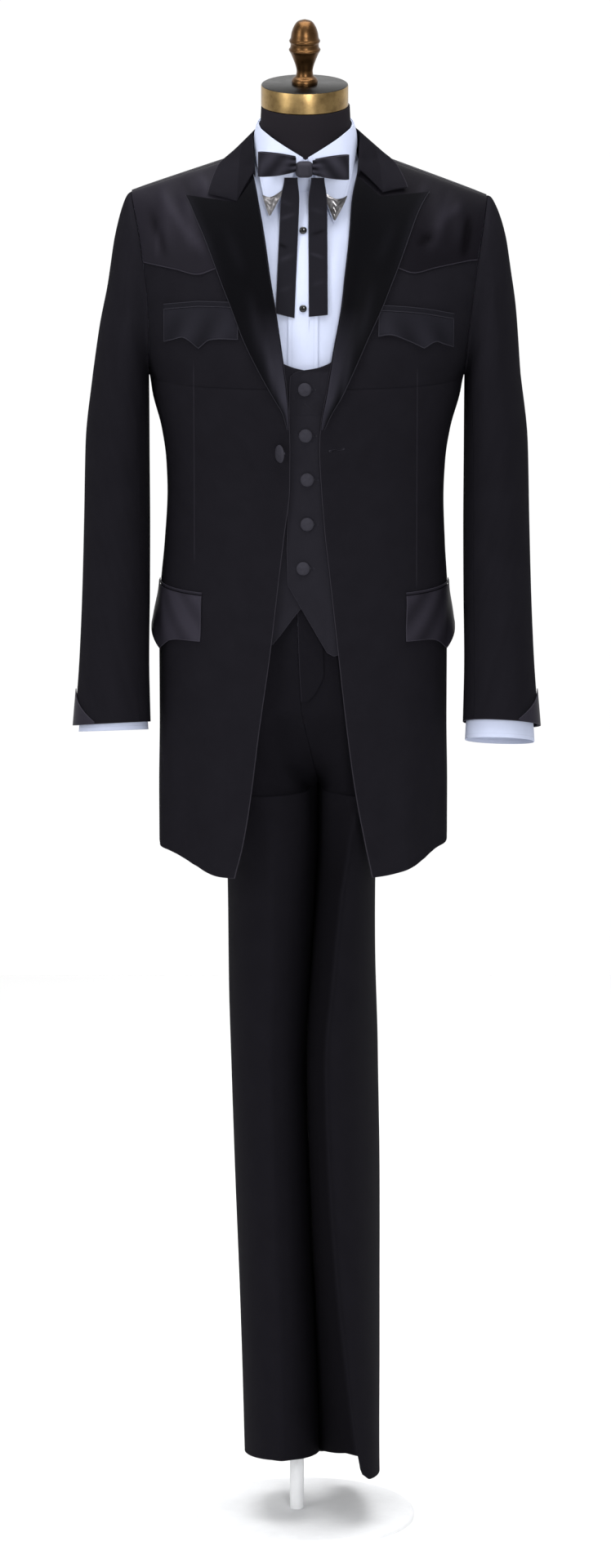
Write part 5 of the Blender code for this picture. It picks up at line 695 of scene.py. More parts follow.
def stand(name, data, place, target):
    """Put a lamp or a camera at a place so that it looks at another."""
    item = bpy.data.objects.new(name, data)
    item.location = place
    item.rotation_euler = (Vector(target) - Vector(place)).to_track_quat("-Z", "Y").to_euler()
    bpy.context.scene.collection.objects.link(item)
    return item


def smooth(at, places, values):
    """Monotone cubic reading of values given at rising places."""
    step = np.diff(places)
    slope = np.diff(values) / step
    left, right = slope[:-1], slope[1:]
    turning = left * right <= 0.0
    near, far = 2.0 * step[1:] + step[:-1], step[1:] + 2.0 * step[:-1]
    mean = (near + far) / (near / np.where(turning, 1.0, left) + far / np.where(turning, 1.0, right))
    tangent = np.concatenate([slope[:1], np.where(turning, 0.0, mean), slope[-1:]])
    at = np.clip(np.asarray(at, dtype=float), places[0], places[-1])
    cell = np.clip(np.searchsorted(places, at, side="right") - 1, 0, len(step) - 1)
    width = step[cell]
    part = (at - places[cell]) / width
    low = (1.0 + 2.0 * part) * (1.0 - part) ** 2 * values[cell]
    low = low + part * (1.0 - part) ** 2 * width * tangent[cell]
    high = part ** 2 * (3.0 - 2.0 * part) * values[cell + 1]
    return low + high + part ** 2 * (part - 1.0) * width * tangent[cell + 1]


def read(rows, name, at):
    """One column of a table, read smoothly against its first column."""
    first = next(iter(rows))
    return smooth(at, rows[first], rows[name])


def spread(start, end, count):
    """Evenly spaced columns between two edges given row by row."""
    part = np.linspace(0.0, 1.0, count)
    return np.multiply.outer(start, 1.0 - part) + np.multiply.outer(end, part)


def rounded(value, power):
    """A sine or cosine bent to a superellipse, its sign kept."""
    return np.sign(value) * np.abs(value) ** (2.0 / power)


def finer(values, times):
    """The same rows with evenly spaced ones put between each pair."""
    values = np.asarray(values, dtype=float)
    steps = np.arange((len(values) - 1) * times + 1)
    low = np.minimum(steps // times, len(values) - 2)
    part = ((steps - low * times) / times).reshape((-1,) + (1,) * (values.ndim - 1))
    return values[low] * (1.0 - part) + values[low + 1] * part


def dense(values, times):
    """Values read on a smooth curve through the given ones."""
    steps = np.arange((len(values) - 1) * times + 1) / times
    return smooth(steps, np.arange(len(values), dtype=float), np.asarray(values, dtype=float))


def creases(across, height, rows):
    """Soft ridges and troughs: each runs from one place to another and dies out at its ends.

    A fold's height is its own size, times a bell across its line, times a bell along it.
    """
    total = np.zeros(np.broadcast(across, height).shape)
    for x0, z0, x1, z1, width, size in zip(*rows.values()):
        run_x, run_z = x1 - x0, z1 - z0
        reach = math.hypot(run_x, run_z)
        part = ((across - x0) * run_x + (height - z0) * run_z) / reach ** 2
        off = ((across - x0) * run_z - (height - z0) * run_x) / reach
        window = limited(1.0 - (2.0 * part - 1.0) ** 2)
        total = total + size * np.exp(-(off / width) ** 2) * window ** 1.5
    return total


def pushed(faces, fold):
    """Both faces of a wall moved along the outer face's own normals by a grid of distances."""
    outer, inner = faces
    normal = np.cross(np.gradient(outer, axis=1), np.gradient(outer, axis=0))
    normal /= np.maximum(np.linalg.norm(normal, axis=-1, keepdims=True), 1e-12)
    facing = np.sign((normal * (outer - inner)).sum(axis=-1, keepdims=True))
    move = normal * facing * fold[..., None]
    return outer + move, inner + move


def calm(shape, *cells):
    """A grid that is 1 inside and falls smoothly to 0 over a count of cells at its seams.

    The counts are those of the first row, the last row, the first column and the last column.
    """
    rows, columns = np.arange(shape[0])[:, None], np.arange(shape[1])[None, :]
    total = np.ones(shape)
    for count, place in zip(cells, (rows, shape[0] - 1 - rows, columns, shape[1] - 1 - columns)):
        if count:
            total = total * ease(limited(place / count))
    return total


class Number:
    """A socket's value whose arithmetic adds Math nodes."""

    def __init__(self, finish, socket):
        self.finish = finish
        self.socket = socket

    def math(self, operation, other=None, swap=False):
        """One Math node on this value, or on this value and another one."""
        node = self.finish.node("ShaderNodeMath", {"operation": operation})
        values = [self] if other is None else [self, other]
        for socket, value in zip(node.inputs, reversed(values) if swap else values):
            self.finish.feed(socket, value)
        return Number(self.finish, node.outputs[0])

    def __add__(self, other):
        return self.math("ADD", other)

    def __mul__(self, other):
        return self.math("MULTIPLY", other)

    def __sub__(self, other):
        return self.math("SUBTRACT", other)

    def __rsub__(self, other):
        return self.math("SUBTRACT", other, swap=True)

    __radd__ = __add__
    __rmul__ = __mul__

    def sine(self):
        return self.math("SINE")

    def size(self):
        return self.math("ABSOLUTE")

    def limited(self):
        return self.math("MINIMUM", 1.0).math("MAXIMUM", 0.0)

    def near(self, width):
        """One at nought, fading to nothing at a distance."""
        return (1.0 - self * (1.0 / width)).limited()

    def within(self, middle, half, soft):
        """One inside a band about the middle, fading to nothing over a soft edge."""
        return ((half - (self - middle).size()) * (1.0 / soft) + 1.0).limited()


class Finish:
    """One material: its Principled shader, its coordinates and the nodes that feed them."""

    def __init__(self, name, roughness, metallic=0.0, specular=0.5):
        self.material = bpy.data.materials.new(name)
        self.material.use_nodes = True
        self.tree = self.material.node_tree
        self.shader = self.tree.nodes["Principled BSDF"].inputs
        self.shader["Roughness"].default_value = roughness
        self.shader["Metallic"].default_value = metallic
        self.shader["Specular IOR Level"].default_value = specular

    def feed(self, socket, value):
        """Give a socket a number, another socket's value or a plain value."""
        if isinstance(value, Number):
            value = value.socket
        if hasattr(value, "is_linked"):
            self.tree.links.new(value, socket)
        else:
            socket.default_value = value

    def node(self, kind, settings=(), **values):
        """A node of one kind, its settings first and then its sockets' values or links."""
        node = self.tree.nodes.new(kind)
        for name, value in dict(settings).items():
            setattr(node, name, value)
        for name, value in values.items():
            self.feed(node.inputs[name], value)
        return node

    def place(self, woven=True):
        """The cloth's own coordinates in metres, or the object's."""
        if woven:
            return self.node("ShaderNodeUVMap", {"uv_map": "cloth"}).outputs["UV"]
        return self.node("ShaderNodeTexCoord").outputs["Object"]

    def border(self):
        """The distance in metres to the nearest free border of the cloth."""
        aside, above, _ = self.axes(self.node("ShaderNodeUVMap", {"uv_map": "border"}).outputs["UV"])
        return aside.math("MINIMUM", above)

    def attribute(self, name):
        """A number that the mesh holds at its points."""
        return Number(self, self.node("ShaderNodeAttribute", {"attribute_name": name}).outputs["Fac"])

    def axes(self, vector):
        """The three numbers of a vector."""
        split = self.node("ShaderNodeSeparateXYZ", Vector=vector)
        return [Number(self, socket) for socket in split.outputs]

    def noise(self, vector, scale, detail=3.0, roughness=0.5):
        """Cloudy noise from 0 to 1."""
        node = self.node("ShaderNodeTexNoise", Vector=vector, Scale=scale, Detail=detail, Roughness=roughness)
        return Number(self, node.outputs["Fac"])

    def blend(self, factor, first, second):
        """A colour between two, by a factor."""
        mix = self.node("ShaderNodeMix", {"data_type": "RGBA"})
        for index, value in ((0, factor), (6, first), (7, second)):
            self.feed(mix.inputs[index], value)
        return mix.outputs[2]

    def surface(self, colour, roughness, height, distance, strength):
        """Feed the shader its colour, roughness and bump."""
        self.feed(self.shader["Base Color"], colour)
        self.feed(self.shader["Roughness"], roughness.limited())
        bump = self.node("ShaderNodeBump", Strength=strength, Distance=distance, Height=height)
        self.feed(self.shader["Normal"], bump.outputs["Normal"])
        return self


def shade(red, green, blue):
    """A linear colour from one read off a screen."""
    values = np.array((red, green, blue)) / 255.0
    linear = np.where(values <= 0.04045, values / 12.92, ((values + 0.055) / 1.055) ** 2.4)
    return tuple(float(value) for value in linear) + (1.0,)


def woven_cloth(name, dark, light, thread, roughness, specular, slant=1.0, grain=0.35, painted_highlight=None, seams=(),
                painted_shade_colour=None):
    """Twill: slanting ridges a thread apart, crossed by finer ones, with cloudy wear.

    The painted highlight colour is painted along free borders and along each seam, and the
    painted shade colour where the mesh asks for painted shade. Each seam is a line in the
    object's own coordinates: its distance from the middle, its lower end and its upper end.
    """
    finish = Finish(name, roughness, specular=specular)
    cloth = finish.place()
    across, along, _ = finish.axes(cloth)
    pitch = 2.0 * math.pi / thread
    ridge = ((across * slant + along) * pitch).sine()
    yarn = ((across - along * slant) * (pitch * 2.0)).sine() * 0.35
    cloud = finish.noise(cloth, 28.0, 4.0, 0.6)
    speck = finish.noise(cloth, 900.0, 2.0, 0.7)
    colour = finish.blend((cloud * 0.55 + speck * 0.45 + ridge * 0.06).limited(), dark, light)
    # Painted shade: the painted shade colour laid where the mesh's painted light and shade asks for it
    if painted_shade_colour:
        colour = finish.blend((finish.attribute("painted_shading") * 0.75).limited(), colour, painted_shade_colour)
    groove = 0.0
    if seams:
        x, y, z = finish.axes(finish.place(False))
        for distance, low, high in seams:
            line = (x - distance).size().math("LESS_THAN", 0.0007)
            reach = z.within((low + high) / 2.0, (high - low) / 2.0, 0.02) * y.math("LESS_THAN", 0.0)
            groove = line * reach + groove
        # Painted highlight along each seam line
        colour = finish.blend(groove.limited() * 0.22, colour, painted_highlight)
    # Painted highlight along the free borders, beside a real groove bump
    if painted_highlight:
        edge = finish.border()
        colour = finish.blend(edge.near(0.0009) * 0.8, colour, painted_highlight)
        groove = groove + edge.within(0.0014, 0.0002, 0.0004) * 0.5
    bump = ridge * 0.5 + yarn * 0.4 + speck * grain + cloud * 0.6 - groove * 1.5
    return finish.surface(colour, cloud * 0.12 + (roughness - 0.06), bump, 0.00022, 0.8)


def satin_cloth(name, dark, light, painted_highlight, roughness, specular, pucker=1.0):
    """Satin: long smooth floats with a faint rib and slow puckers; painted highlights lighten its folds, and
    a painted highlight runs along its free borders.
    """
    finish = Finish(name, roughness, specular=specular)
    cloth = finish.place()
    rib = (finish.axes(cloth)[1] * (2.0 * math.pi / 0.0007)).sine()
    cloud = finish.noise(cloth, 22.0, 3.0, 0.5)
    speck = finish.noise(cloth, 700.0, 2.0, 0.6)
    # Painted highlights: the mesh's painted light, broken up by cloud and speck
    painted_shading = finish.attribute("painted_shading") * (cloud * 0.5 + 0.75) + speck * 0.08
    edge = finish.border()
    # Painted highlight along the free borders over the painted light and shade
    colour = finish.blend(edge.near(0.0011) * 0.75, finish.blend(painted_shading.limited(), dark, light), painted_highlight)
    groove = edge.within(0.0018, 0.0003, 0.0005)
    bump = rib * 0.05 + speck * 0.10 + cloud * (2.2 * pucker) - groove * 0.8
    return finish.surface(colour, cloud * 0.14 + (roughness - 0.07), bump, 0.00035, 0.7)


def stitched_cotton(name, dark, light):
    """Fine white cotton with a row of small stitches along its free borders."""
    finish = Finish(name, 0.72, specular=0.25)
    cloth = finish.place()
    across, along, _ = finish.axes(cloth)
    pitch = 2.0 * math.pi / 0.0006
    weave = (across * pitch).sine() * (along * pitch).sine()
    cloud = finish.noise(cloth, 24.0, 4.0, 0.6)
    speck = finish.noise(cloth, 900.0, 2.0, 0.7)
    edge = finish.border()
    row = edge.within(0.0050, 0.0002, 0.0003)
    stitch = row * ((along + across) * (2.0 * math.pi / 0.0026)).sine().size().math("GREATER_THAN", 0.35)
    colour = finish.blend((cloud * 0.6 + speck * 0.3 + weave * 0.05).limited(), dark, light)
    colour = finish.blend((stitch * 0.35 + edge.near(0.0008) * 0.25).limited(), colour, shade(150, 158, 182))
    bump = weave * 0.4 + speck * 0.2 + cloud * 0.5 - row * 0.8 + stitch * 0.6
    return finish.surface(colour, cloud * 0.10 + 0.66, bump, 0.0002, 0.7)


def metal(name, dark, light, roughness, brushed=False, top=None):
    """Metal with cloudy tarnish and fine marks; top is a slope and a height above which a dark reflection is
    painted.
    """
    finish = Finish(name, roughness, 1.0)
    place = finish.place(False)
    _, y, z = finish.axes(place)
    cloud = finish.noise(place, 60.0, 5.0, 0.65)
    fine = finish.noise(place, 900.0, 2.0, 0.6)
    if brushed:
        fine = fine * 0.5 + (z * 9000.0).sine() * 0.2
    colour = finish.blend((cloud * 1.5 - 0.25).limited(), dark, light)
    # Painted reflection: the top darkened as if it mirrored a dark room
    if top:
        colour = finish.blend((z - y * top[0]).math("GREATER_THAN", top[1]), colour, shade(22, 20, 18))
    return finish.surface(colour, cloud * 0.18 + (roughness - 0.09), fine + cloud * 0.4, 0.00008, 0.5)


def plain(name, dark, light, roughness, specular, grain):
    """A painted or moulded surface with faint mottling."""
    finish = Finish(name, roughness, specular=specular)
    place = finish.place(False)
    cloud = finish.noise(place, 45.0, 4.0, 0.6)
    fine = finish.noise(place, 700.0, 2.0, 0.6)
    colour = finish.blend((cloud * 1.4 - 0.2).limited(), dark, light)
    return finish.surface(colour, cloud * 0.16 + (roughness - 0.08), fine * grain + cloud * 0.3, 0.0001, 0.5)


def make_finishes():
    """Every finish by the name of its material slot."""
    lean = math.radians(CAP_TILT)
    cap_top = CAP_BASE[2] - CAP_BASE[1] * math.tan(lean) + (CAP_HEIGHT - 0.0010) / math.cos(lean)
    return {
        # Painted highlight colours go along free borders and seams; the trousers' painted shade colour goes
        # between the legs
        "coat_cloth": woven_cloth("coat_wool", shade(19, 18, 22), shade(30, 29, 34), 0.0011, 0.9, 0.010,
                                  painted_highlight=shade(58, 56, 63), seams=COAT_DARTS),
        "trouser_cloth": woven_cloth("trouser_wool", shade(15, 14, 18), shade(25, 24, 29), 0.0011, 0.9, 0.03,
                                     painted_highlight=shade(46, 44, 51), painted_shade_colour=shade(8, 7, 10)),
        "vest_cloth": woven_cloth("vest_wool", shade(26, 25, 30), shade(37, 36, 42), 0.0016, 0.88, 0.03,
                                  slant=0.0, grain=0.8, painted_highlight=shade(58, 56, 64)),
        "satin": satin_cloth("black_satin", shade(5, 5, 6), shade(47, 46, 54), shade(54, 53, 60), 0.40,
                             0.010),
        "light_satin": satin_cloth("yoke_satin", shade(6, 5, 7), shade(46, 44, 52), shade(56, 54, 62), 0.42,
                                   0.015, 1.6),
        "shirt_cloth": stitched_cotton("shirt_cotton", shade(184, 191, 214), shade(202, 210, 233)),
        "form_linen": woven_cloth("form_linen", shade(20, 18, 21), shade(42, 39, 44), 0.0012, 0.95, 0.05,
                                  slant=0.0, grain=1.2),
        "silver": metal("silver", shade(44, 41, 42), shade(150, 148, 150), 0.30),
        "black_stud": plain("black_stud", shade(8, 8, 10), shade(16, 16, 18), 0.12, 0.6, 0.05),
        # The brass cap's top takes a painted dark reflection
        "brass": metal("brass", shade(120, 96, 62), shade(196, 166, 112), 0.34, True,
                       (math.tan(lean), cap_top)),
        "bronze": metal("bronze", shade(60, 40, 22), shade(120, 88, 56), 0.34),
        "painted_steel": plain("painted_steel", shade(226, 227, 229), shade(238, 239, 241), 0.5, 0.3, 0.4),
    }


FINISHES = make_finishes()


def enclosed_volume(points, corners):
    """Signed volume inside a closed mesh of quads, positive when its faces point out."""
    a, b, c, d = (points[corners[:, number]] for number in range(4))
    halves = np.cross(b, c) + np.cross(c, d)
    return float((a * halves).sum() / 6.0)


def add_piece(name, mesh, kind, angle=40.0):
    """Put a mesh in the scene as the looks of the node of its name."""
    slot = kind.replace(" ", "_")
    mesh.materials.append(FINISHES[slot].material)
    # Satin pieces without their own painted light and shade take one even painted light level
    if "satin" in kind and "painted_shading" not in mesh.attributes:
        set_painted_shading(mesh, np.full(len(mesh.vertices), SMALL_PAINTED_LIGHT))
    mesh.shade_smooth()
    mesh.set_sharp_from_angle(angle=math.radians(angle))
    item = bpy.data.objects.new(name + "_look", mesh)
    bpy.context.scene.collection.objects.link(item)
    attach(item, "root")
    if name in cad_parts:
        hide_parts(name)
    return item


def make_wall(name, faces, kind, ring=False, rests_on=(), free="", painted_shading=0.0):
    """A cloth shell between two matching grids; a ring joins its first and last columns.

    Its own coordinates are the distances along its rows and columns, in metres. A second pair
    holds the distances to its free borders: free names them by h (first row), t (last row),
    l (first column) and r (last column). The painted light and shade varies from place to place:
    painted highlights on satin, painted shade on trousers.
    """
    outer, inner = faces
    rows, columns = outer.shape[:2]
    count = rows * columns
    index = np.arange(count).reshape(rows, columns)
    face = outer
    if ring:
        index = np.hstack([index, index[:, :1]])
        face = np.hstack([outer, outer[:, :1]])
    wide = index.shape[1]
    steps_u = np.linalg.norm(np.diff(face, axis=1), axis=2)
    steps_v = np.linalg.norm(np.diff(face, axis=0), axis=2)
    u = np.hstack([np.zeros((rows, 1)), np.cumsum(steps_u, axis=1)])
    v = np.vstack([np.zeros((1, wide)), np.cumsum(steps_v, axis=0)])
    distances = {"l": u, "r": u[:, -1:] - u, "h": v, "t": v[-1:] - v}
    near = {border: np.where(border in free, away, BARE) for border, away in distances.items()}
    aside, above = [np.minimum(np.minimum(near[a], near[b]), BARE) for a, b in ("lr", "ht")]
    places = np.arange(rows * wide).reshape(rows, wide)
    shift = rows * wide
    quads = np.stack([places[:-1, :-1], places[:-1, 1:], places[1:, 1:], places[1:, :-1]], axis=-1)
    quads = [quads.reshape(-1, 4), quads.reshape(-1, 4)[:, ::-1] + shift]
    for border in (places[0], places[-1][::-1], places[:, -1], places[::-1, 0])[:2 if ring else 4]:
        start, end = border[:-1], border[1:]
        quads.append(np.stack([end, start, start + shift, end + shift], axis=1))
    quads = np.vstack(quads)
    vertex = np.concatenate([index.ravel(), index.ravel() + count])
    uv = np.stack([u - u[:, -1:] / 2.0, v, aside, above], axis=-1).reshape(-1, 4)
    uv = np.vstack([uv, uv])
    points = np.vstack([outer.reshape(-1, 3), inner.reshape(-1, 3)])
    if enclosed_volume(points, vertex[quads]) < 0.0:
        quads = quads[:, ::-1]
    mesh = bpy.data.meshes.new(name)
    mesh.from_pydata(points.tolist(), [], vertex[quads].tolist())
    for layer_name, pair in (("cloth", slice(0, 2)), ("border", slice(2, 4))):
        layer = mesh.uv_layers.new(name=layer_name)
        layer.data.foreach_set("uv", uv[quads.ravel(), pair].ravel().astype(np.float32))
    # The painted light and shade is held at each point of both faces
    if np.any(painted_shading) or "satin" in kind:
        set_painted_shading(mesh, np.tile(np.broadcast_to(painted_shading, outer.shape[:2]).ravel(), 2))
    item = add_piece(name, mesh, kind)
    if kind != "silver":
        sides = np.cross(face[1:, :-1] - face[:-1, :-1], face[:-1, 1:] - face[:-1, :-1])


def make_turned(name, profile, sides, kind, frame_at, gather=0.0, phase=0.0):
    """A solid turned about its own axis from (radius, height) pairs, then put in its place.

    Gather sinks its face along three uneven folds that meet at the middle, as drawn cloth does.
    """
    radius, height = np.array(profile, dtype=float).T
    turn = np.arange(sides) * (2.0 * math.pi / sides)
    pinch = np.cos(turn * 3.0 + phase) * 0.6 + np.cos(turn * 2.0 - phase) * 0.4
    face = limited(height / max(height.max(), 1e-6)) ** 2 * limited(radius / max(radius.max(), 1e-6) * 2.5)
    points = in_space(radius[:, None] * np.cos(turn), radius[:, None] * np.sin(turn),
                      height[:, None] + gather * face[:, None] * (pinch - 1.0) * 0.5)
    points = points @ frame_at[0].T + np.array(frame_at[1])
    return make_stack(name, points, kind, (radius[0] > 0.0, radius[-1] > 0.0))


def closed_piece(name, points, faces, kind):
    """A closed mesh with its poles joined and its faces turned out."""
    mesh = bpy.data.meshes.new(name)
    mesh.from_pydata(points.reshape(-1, 3).tolist(), [], faces)
    work = bmesh.new()
    work.from_mesh(mesh)
    bmesh.ops.remove_doubles(work, verts=work.verts, dist=0.000001)
    bmesh.ops.dissolve_degenerate(work, edges=work.edges, dist=0.000001)
    bmesh.ops.recalc_face_normals(work, faces=work.faces)
    work.to_mesh(mesh)
    work.free()
    return add_piece(name, mesh, kind, 35.0)


def tilt_frame(place, forward=0.0, yaw=0.0):
    """A rotation about X by forward degrees, then about Z by yaw, and a place."""
    cos_x, sin_x = math.cos(math.radians(forward)), math.sin(math.radians(forward))
    cos_z, sin_z = math.cos(math.radians(yaw)), math.sin(math.radians(yaw))
    rows = ((cos_z, -sin_z * cos_x, sin_z * sin_x),
            (sin_z, cos_z * cos_x, -cos_z * sin_x),
            (0.0, sin_x, cos_x))
    return np.array(rows), place


def shoulder_height(side, x, inset=0.0):
    """Height of the shoulder ridge at a distance from the middle."""
    past = np.abs(x) - SHOULDER_NECK_X
    fall = SHOULDER_SLOPE[side] * np.maximum(past, 0.0) + MIDDLE_SLOPE * np.minimum(past, 0.0)
    return SHOULDER_AT_NECK - fall - inset


def closing(rise, back):
    """How far the front or the back still stands from the ridge at a share of the rise."""
    return beside(limited(rise), BACK_CLOSING if back else FRONT_CLOSING)


def coat_fold(side, turn, level):
    """How far the coat's folds stand out at a turn and a level."""
    fold = creases(np.asarray(turn) * FOLD_ACROSS, level, COAT_FOLDS[side])
    return fold * limited((180.0 - np.asarray(turn)) / 12.0)


def on_torso(side, turn, level, inset=0.0, back=False, seam=0.0):
    """Points of the torso: turn is 0 at the middle front, 90 at the side, 180 at the middle back.

    Up to the underarm a level is a height. Above it the level rises to the shoulder ridge.
    The coat and what lies on it take the coat's folds; the layers below it don't.
    """
    inset = inset - np.where(np.asarray(inset) < FOLD_REACH, coat_fold(side, turn, level), 0.0)
    depth = depth_at(level, back) - inset
    reach = seam + across_at(turn, half_at(level) - inset - seam)
    height = height_at(side, reach, level, inset)
    away = np.abs(rounded(np.cos(np.radians(turn)), BODY_POWER)) * closing(rise_of(level), back)
    away = SEAM + (depth - SEAM) * away
    x = read(CENTRE, "x", height) + SIDES[side] * reach
    return in_space(x, away if back else -away, height)


def to_turn(side, x, level, inset=0.0, back=False):
    """The turn at which the torso reaches a distance x on one side of the body."""
    turn = turn_of((np.asarray(x) - centre(side, level)) / (half_at(level) - inset))
    return 180.0 - turn if back else turn


def to_level(side, x, height, inset=0.0):
    """The level of a height at a distance x from the middle."""
    top = shoulder_height(side, x, inset)
    rise = (height - UNDERARM) / (top - UNDERARM)
    return np.where(height <= UNDERARM, height, UNDERARM + rise * (TIP - UNDERARM))


def edge_turn(side, edge, name, levels, inset=0.0):
    """Turn along a panel's inner edge whose distances are given by height."""
    x = np.full(len(levels), 0.05)
    for _ in range(6):
        x = read(edge, name, height_at(side, x, levels, inset))
    return to_turn(side, x, levels, inset)


def armhole_levels(step=ARMHOLE_STEP, bottom=UNDERARM):
    """Levels round the armhole, close together at its bottom and at the shoulder."""
    turns = np.radians(np.arange(0.0, 180.0 + step / 2.0, step))
    return bottom + (TIP - bottom) * (1.0 - np.cos(turns)) / 2.0


def armhole_turn(levels, inset=0.0):
    """Turn at the outer edge of a front: the side seam, then the armhole above it."""
    turn = turn_of(limited(read(ARMHOLE, "x", levels) / (half_at(levels) - inset)))
    return np.where(levels <= ARMHOLE["level"][0], 90.0, turn)


def coat_levels():
    """All rows of a coat panel, from the hem to the shoulder."""
    return finer(np.concatenate([COAT_LEVELS, armhole_levels()]), FINE_ROWS)


def hem_levels(levels, hem, fade):
    """Levels of every point, the lowest row bent to the hem and the rows above fading to level."""
    low = levels[0]
    levels = np.broadcast_to(levels[:, None], hem.shape)
    return np.where(levels < fade, hem + limited((levels - low) / (fade - low)) * (fade - hem), levels)


def coat_front_turn(side, levels):
    """Turns of a coat front's columns, from its open edge to the side seam and armhole."""
    edge = edge_turn(side, COAT_EDGE, side, levels)
    return spread(edge, armhole_turn(levels), COAT_COLUMNS * FINE_COLUMNS + 1)


def coat_back_turn(side, levels):
    """Turns of a coat back's columns, from the middle seam to the side seam and armhole."""
    neck = to_turn(side, NECK_X, levels, back=True)
    middle = np.full(len(levels), 180.0)
    arm = 180.0 - armhole_turn(levels)
    return neck_columns(neck, middle, arm, 3 * FINE_COLUMNS, (BACK_COLUMNS - 3) * FINE_COLUMNS)


def coat_front(side):
    """A coat front with its open edge and roll line, side seam and armhole."""
    levels = coat_levels()
    turn = coat_front_turn(side, levels)
    level = hem_levels(levels, read(COAT_HEM, "height", turn), COAT_HEM_FADE)
    coat_panel("coat_front_", side, turn, level, 2, RIPPLE_START[side][0], "vest_front_" + side, "lh")


def neck_dip(side, turn, levels, neck_x, neck_y, inset=0.0, back=False):
    """Levels lowered inside the neck points, so that the neckline is an oval seen from above."""
    x = np.abs(across_at(turn, half_at(levels) - inset) + centre(side, TIP))
    away = neck_y * np.sqrt(limited(1.0 - (x / neck_x) ** 2))
    limit = beside(away / (depth_at(levels, back) - inset), BACK_CLOSING if back else FRONT_CLOSING)
    return UNDERARM + (levels - UNDERARM) * np.where(levels > UNDERARM, limit, 1.0)


def neck_columns(turn_at_neck, turn_at_middle, turn_at_arm, inside, outside):
    """Columns that meet the neck point: those inside it are closer together near it."""
    part = np.sin(np.radians(np.linspace(0.0, 90.0, inside + 1)))
    near = turn_at_middle[:, None] + (turn_at_neck - turn_at_middle)[:, None] * part
    return np.hstack([near, spread(turn_at_neck, turn_at_arm, outside + 1)[:, 1:]])


def hem_ripple(turn, level, start):
    """A slight unevenness of the skirt, a sum of three waves that dies out above the hem."""
    wave = np.sin(turn * 0.21 + start) + 0.6 * np.sin(turn * 0.47 + 2.0 * start) + 0.4 * np.sin(turn * 0.83)
    seams = np.sin(np.radians(np.clip(turn, 0.0, 180.0)) * 2.0) ** 2
    return RIPPLE_SIZE * wave * seams * limited((COAT_HEM_FADE - level) / RIPPLE_FADE)


def coat_back(side):
    """Half of the coat's back, from the middle seam to the side seam and armhole."""
    levels = coat_levels()
    turn = coat_back_turn(side, levels)
    level = hem_levels(levels, read(COAT_HEM, "height", turn), COAT_HEM_FADE)
    level = neck_dip(side, turn, level, NECK_X, COAT_NECK_Y, back=True)
    coat_panel("coat_back_", side, turn, level, 5, RIPPLE_START[side][1], "vest_back", "h", back=True,
               seam=SEAM)


def lay_on_front(name, side, x, height, lift, wall, kind, raised=0.0, free="", painted_shading=0.0):
    """A piece laid on the coat's front: x and height are grids, lift its distance from the cloth."""
    level = to_level(side, x, height)
    turn = to_turn(side, x, level)
    faces = torso_wall(side, turn, level, -(lift + wall + raised), -(lift + raised))
    make_wall(name + side, faces, kind, rests_on=("coat_front_" + side,), free=free, painted_shading=painted_shading)


def lapel(side):
    """A peaked lapel from the roll line to its outer edge, its top bent to the gorge seam."""
    inner_z, outer_z, outer_x = [dense(LAPEL[name], 8) for name in ("inner_z", "outer_z", side)]
    inner_x = read(COAT_EDGE, side, inner_z) + CLEAR
    gorge = LAPEL_GORGE_AT[side]
    share = finer((0.0, gorge, 0.52, 0.76, 1.0), 8)
    x = inner_x[:, None] + (outer_x - inner_x)[:, None] * share
    height = inner_z[:, None] + (outer_z - inner_z)[:, None] * share
    start = LAPEL["inner_z"][-5]
    top = limited((inner_z - start) / (inner_z[-1] - start)) ** 2
    bend = np.interp(share, (0.0, gorge, 1.0), (0.0, 1.0, 0.0))
    height = height - LAPEL_GORGE_DIP[side] * top[:, None] * bend
    low = limited((LAPEL_BELLY_TOP - height) / 0.11)
    roll = (LAPEL_ROLL + LAPEL_BELLY * low) * np.exp(-(share / 0.22) ** 2)
    streak = creases(x, height, LAPEL_STREAKS[side])
    # Painted highlight on the satin: lighter near the roll line low down, towards the upper outer edge and
    # along the streaks
    near_roll = np.exp(-((share - 0.12) / 0.42) ** 2)
    edge = np.exp(-((1.0 - share) / 0.10) ** 2) * limited((height - 1.60) / 0.06)
    painted_shading = limited(0.02 + 0.95 * low * near_roll + 0.10 * edge + streak * 160.0)
    lay_on_front("coat_lapel_", side, x, height, LAPEL_LIFT, LAPEL_WALL, "satin", roll + streak * 0.6,
                 "r", painted_shading)


def ridge_height(sign, x, y):
    """Height of the torso's upper face above a point in plan."""
    level = TIP - 0.020
    depth = np.where(y > 0.0, depth_at(level, True), depth_at(level, False))
    power = np.where(y > 0.0, BACK_CLOSING, FRONT_CLOSING)
    across = beside(np.minimum(np.abs(x) / half_at(level), 1.0), BODY_POWER)
    rise = beside(np.minimum(np.abs(y) / (depth * across), 1.0), power)
    shoulder = np.where(sign > 0.0, shoulder_height("left", x), shoulder_height("right", x))
    return UNDERARM + rise * (shoulder - UNDERARM)


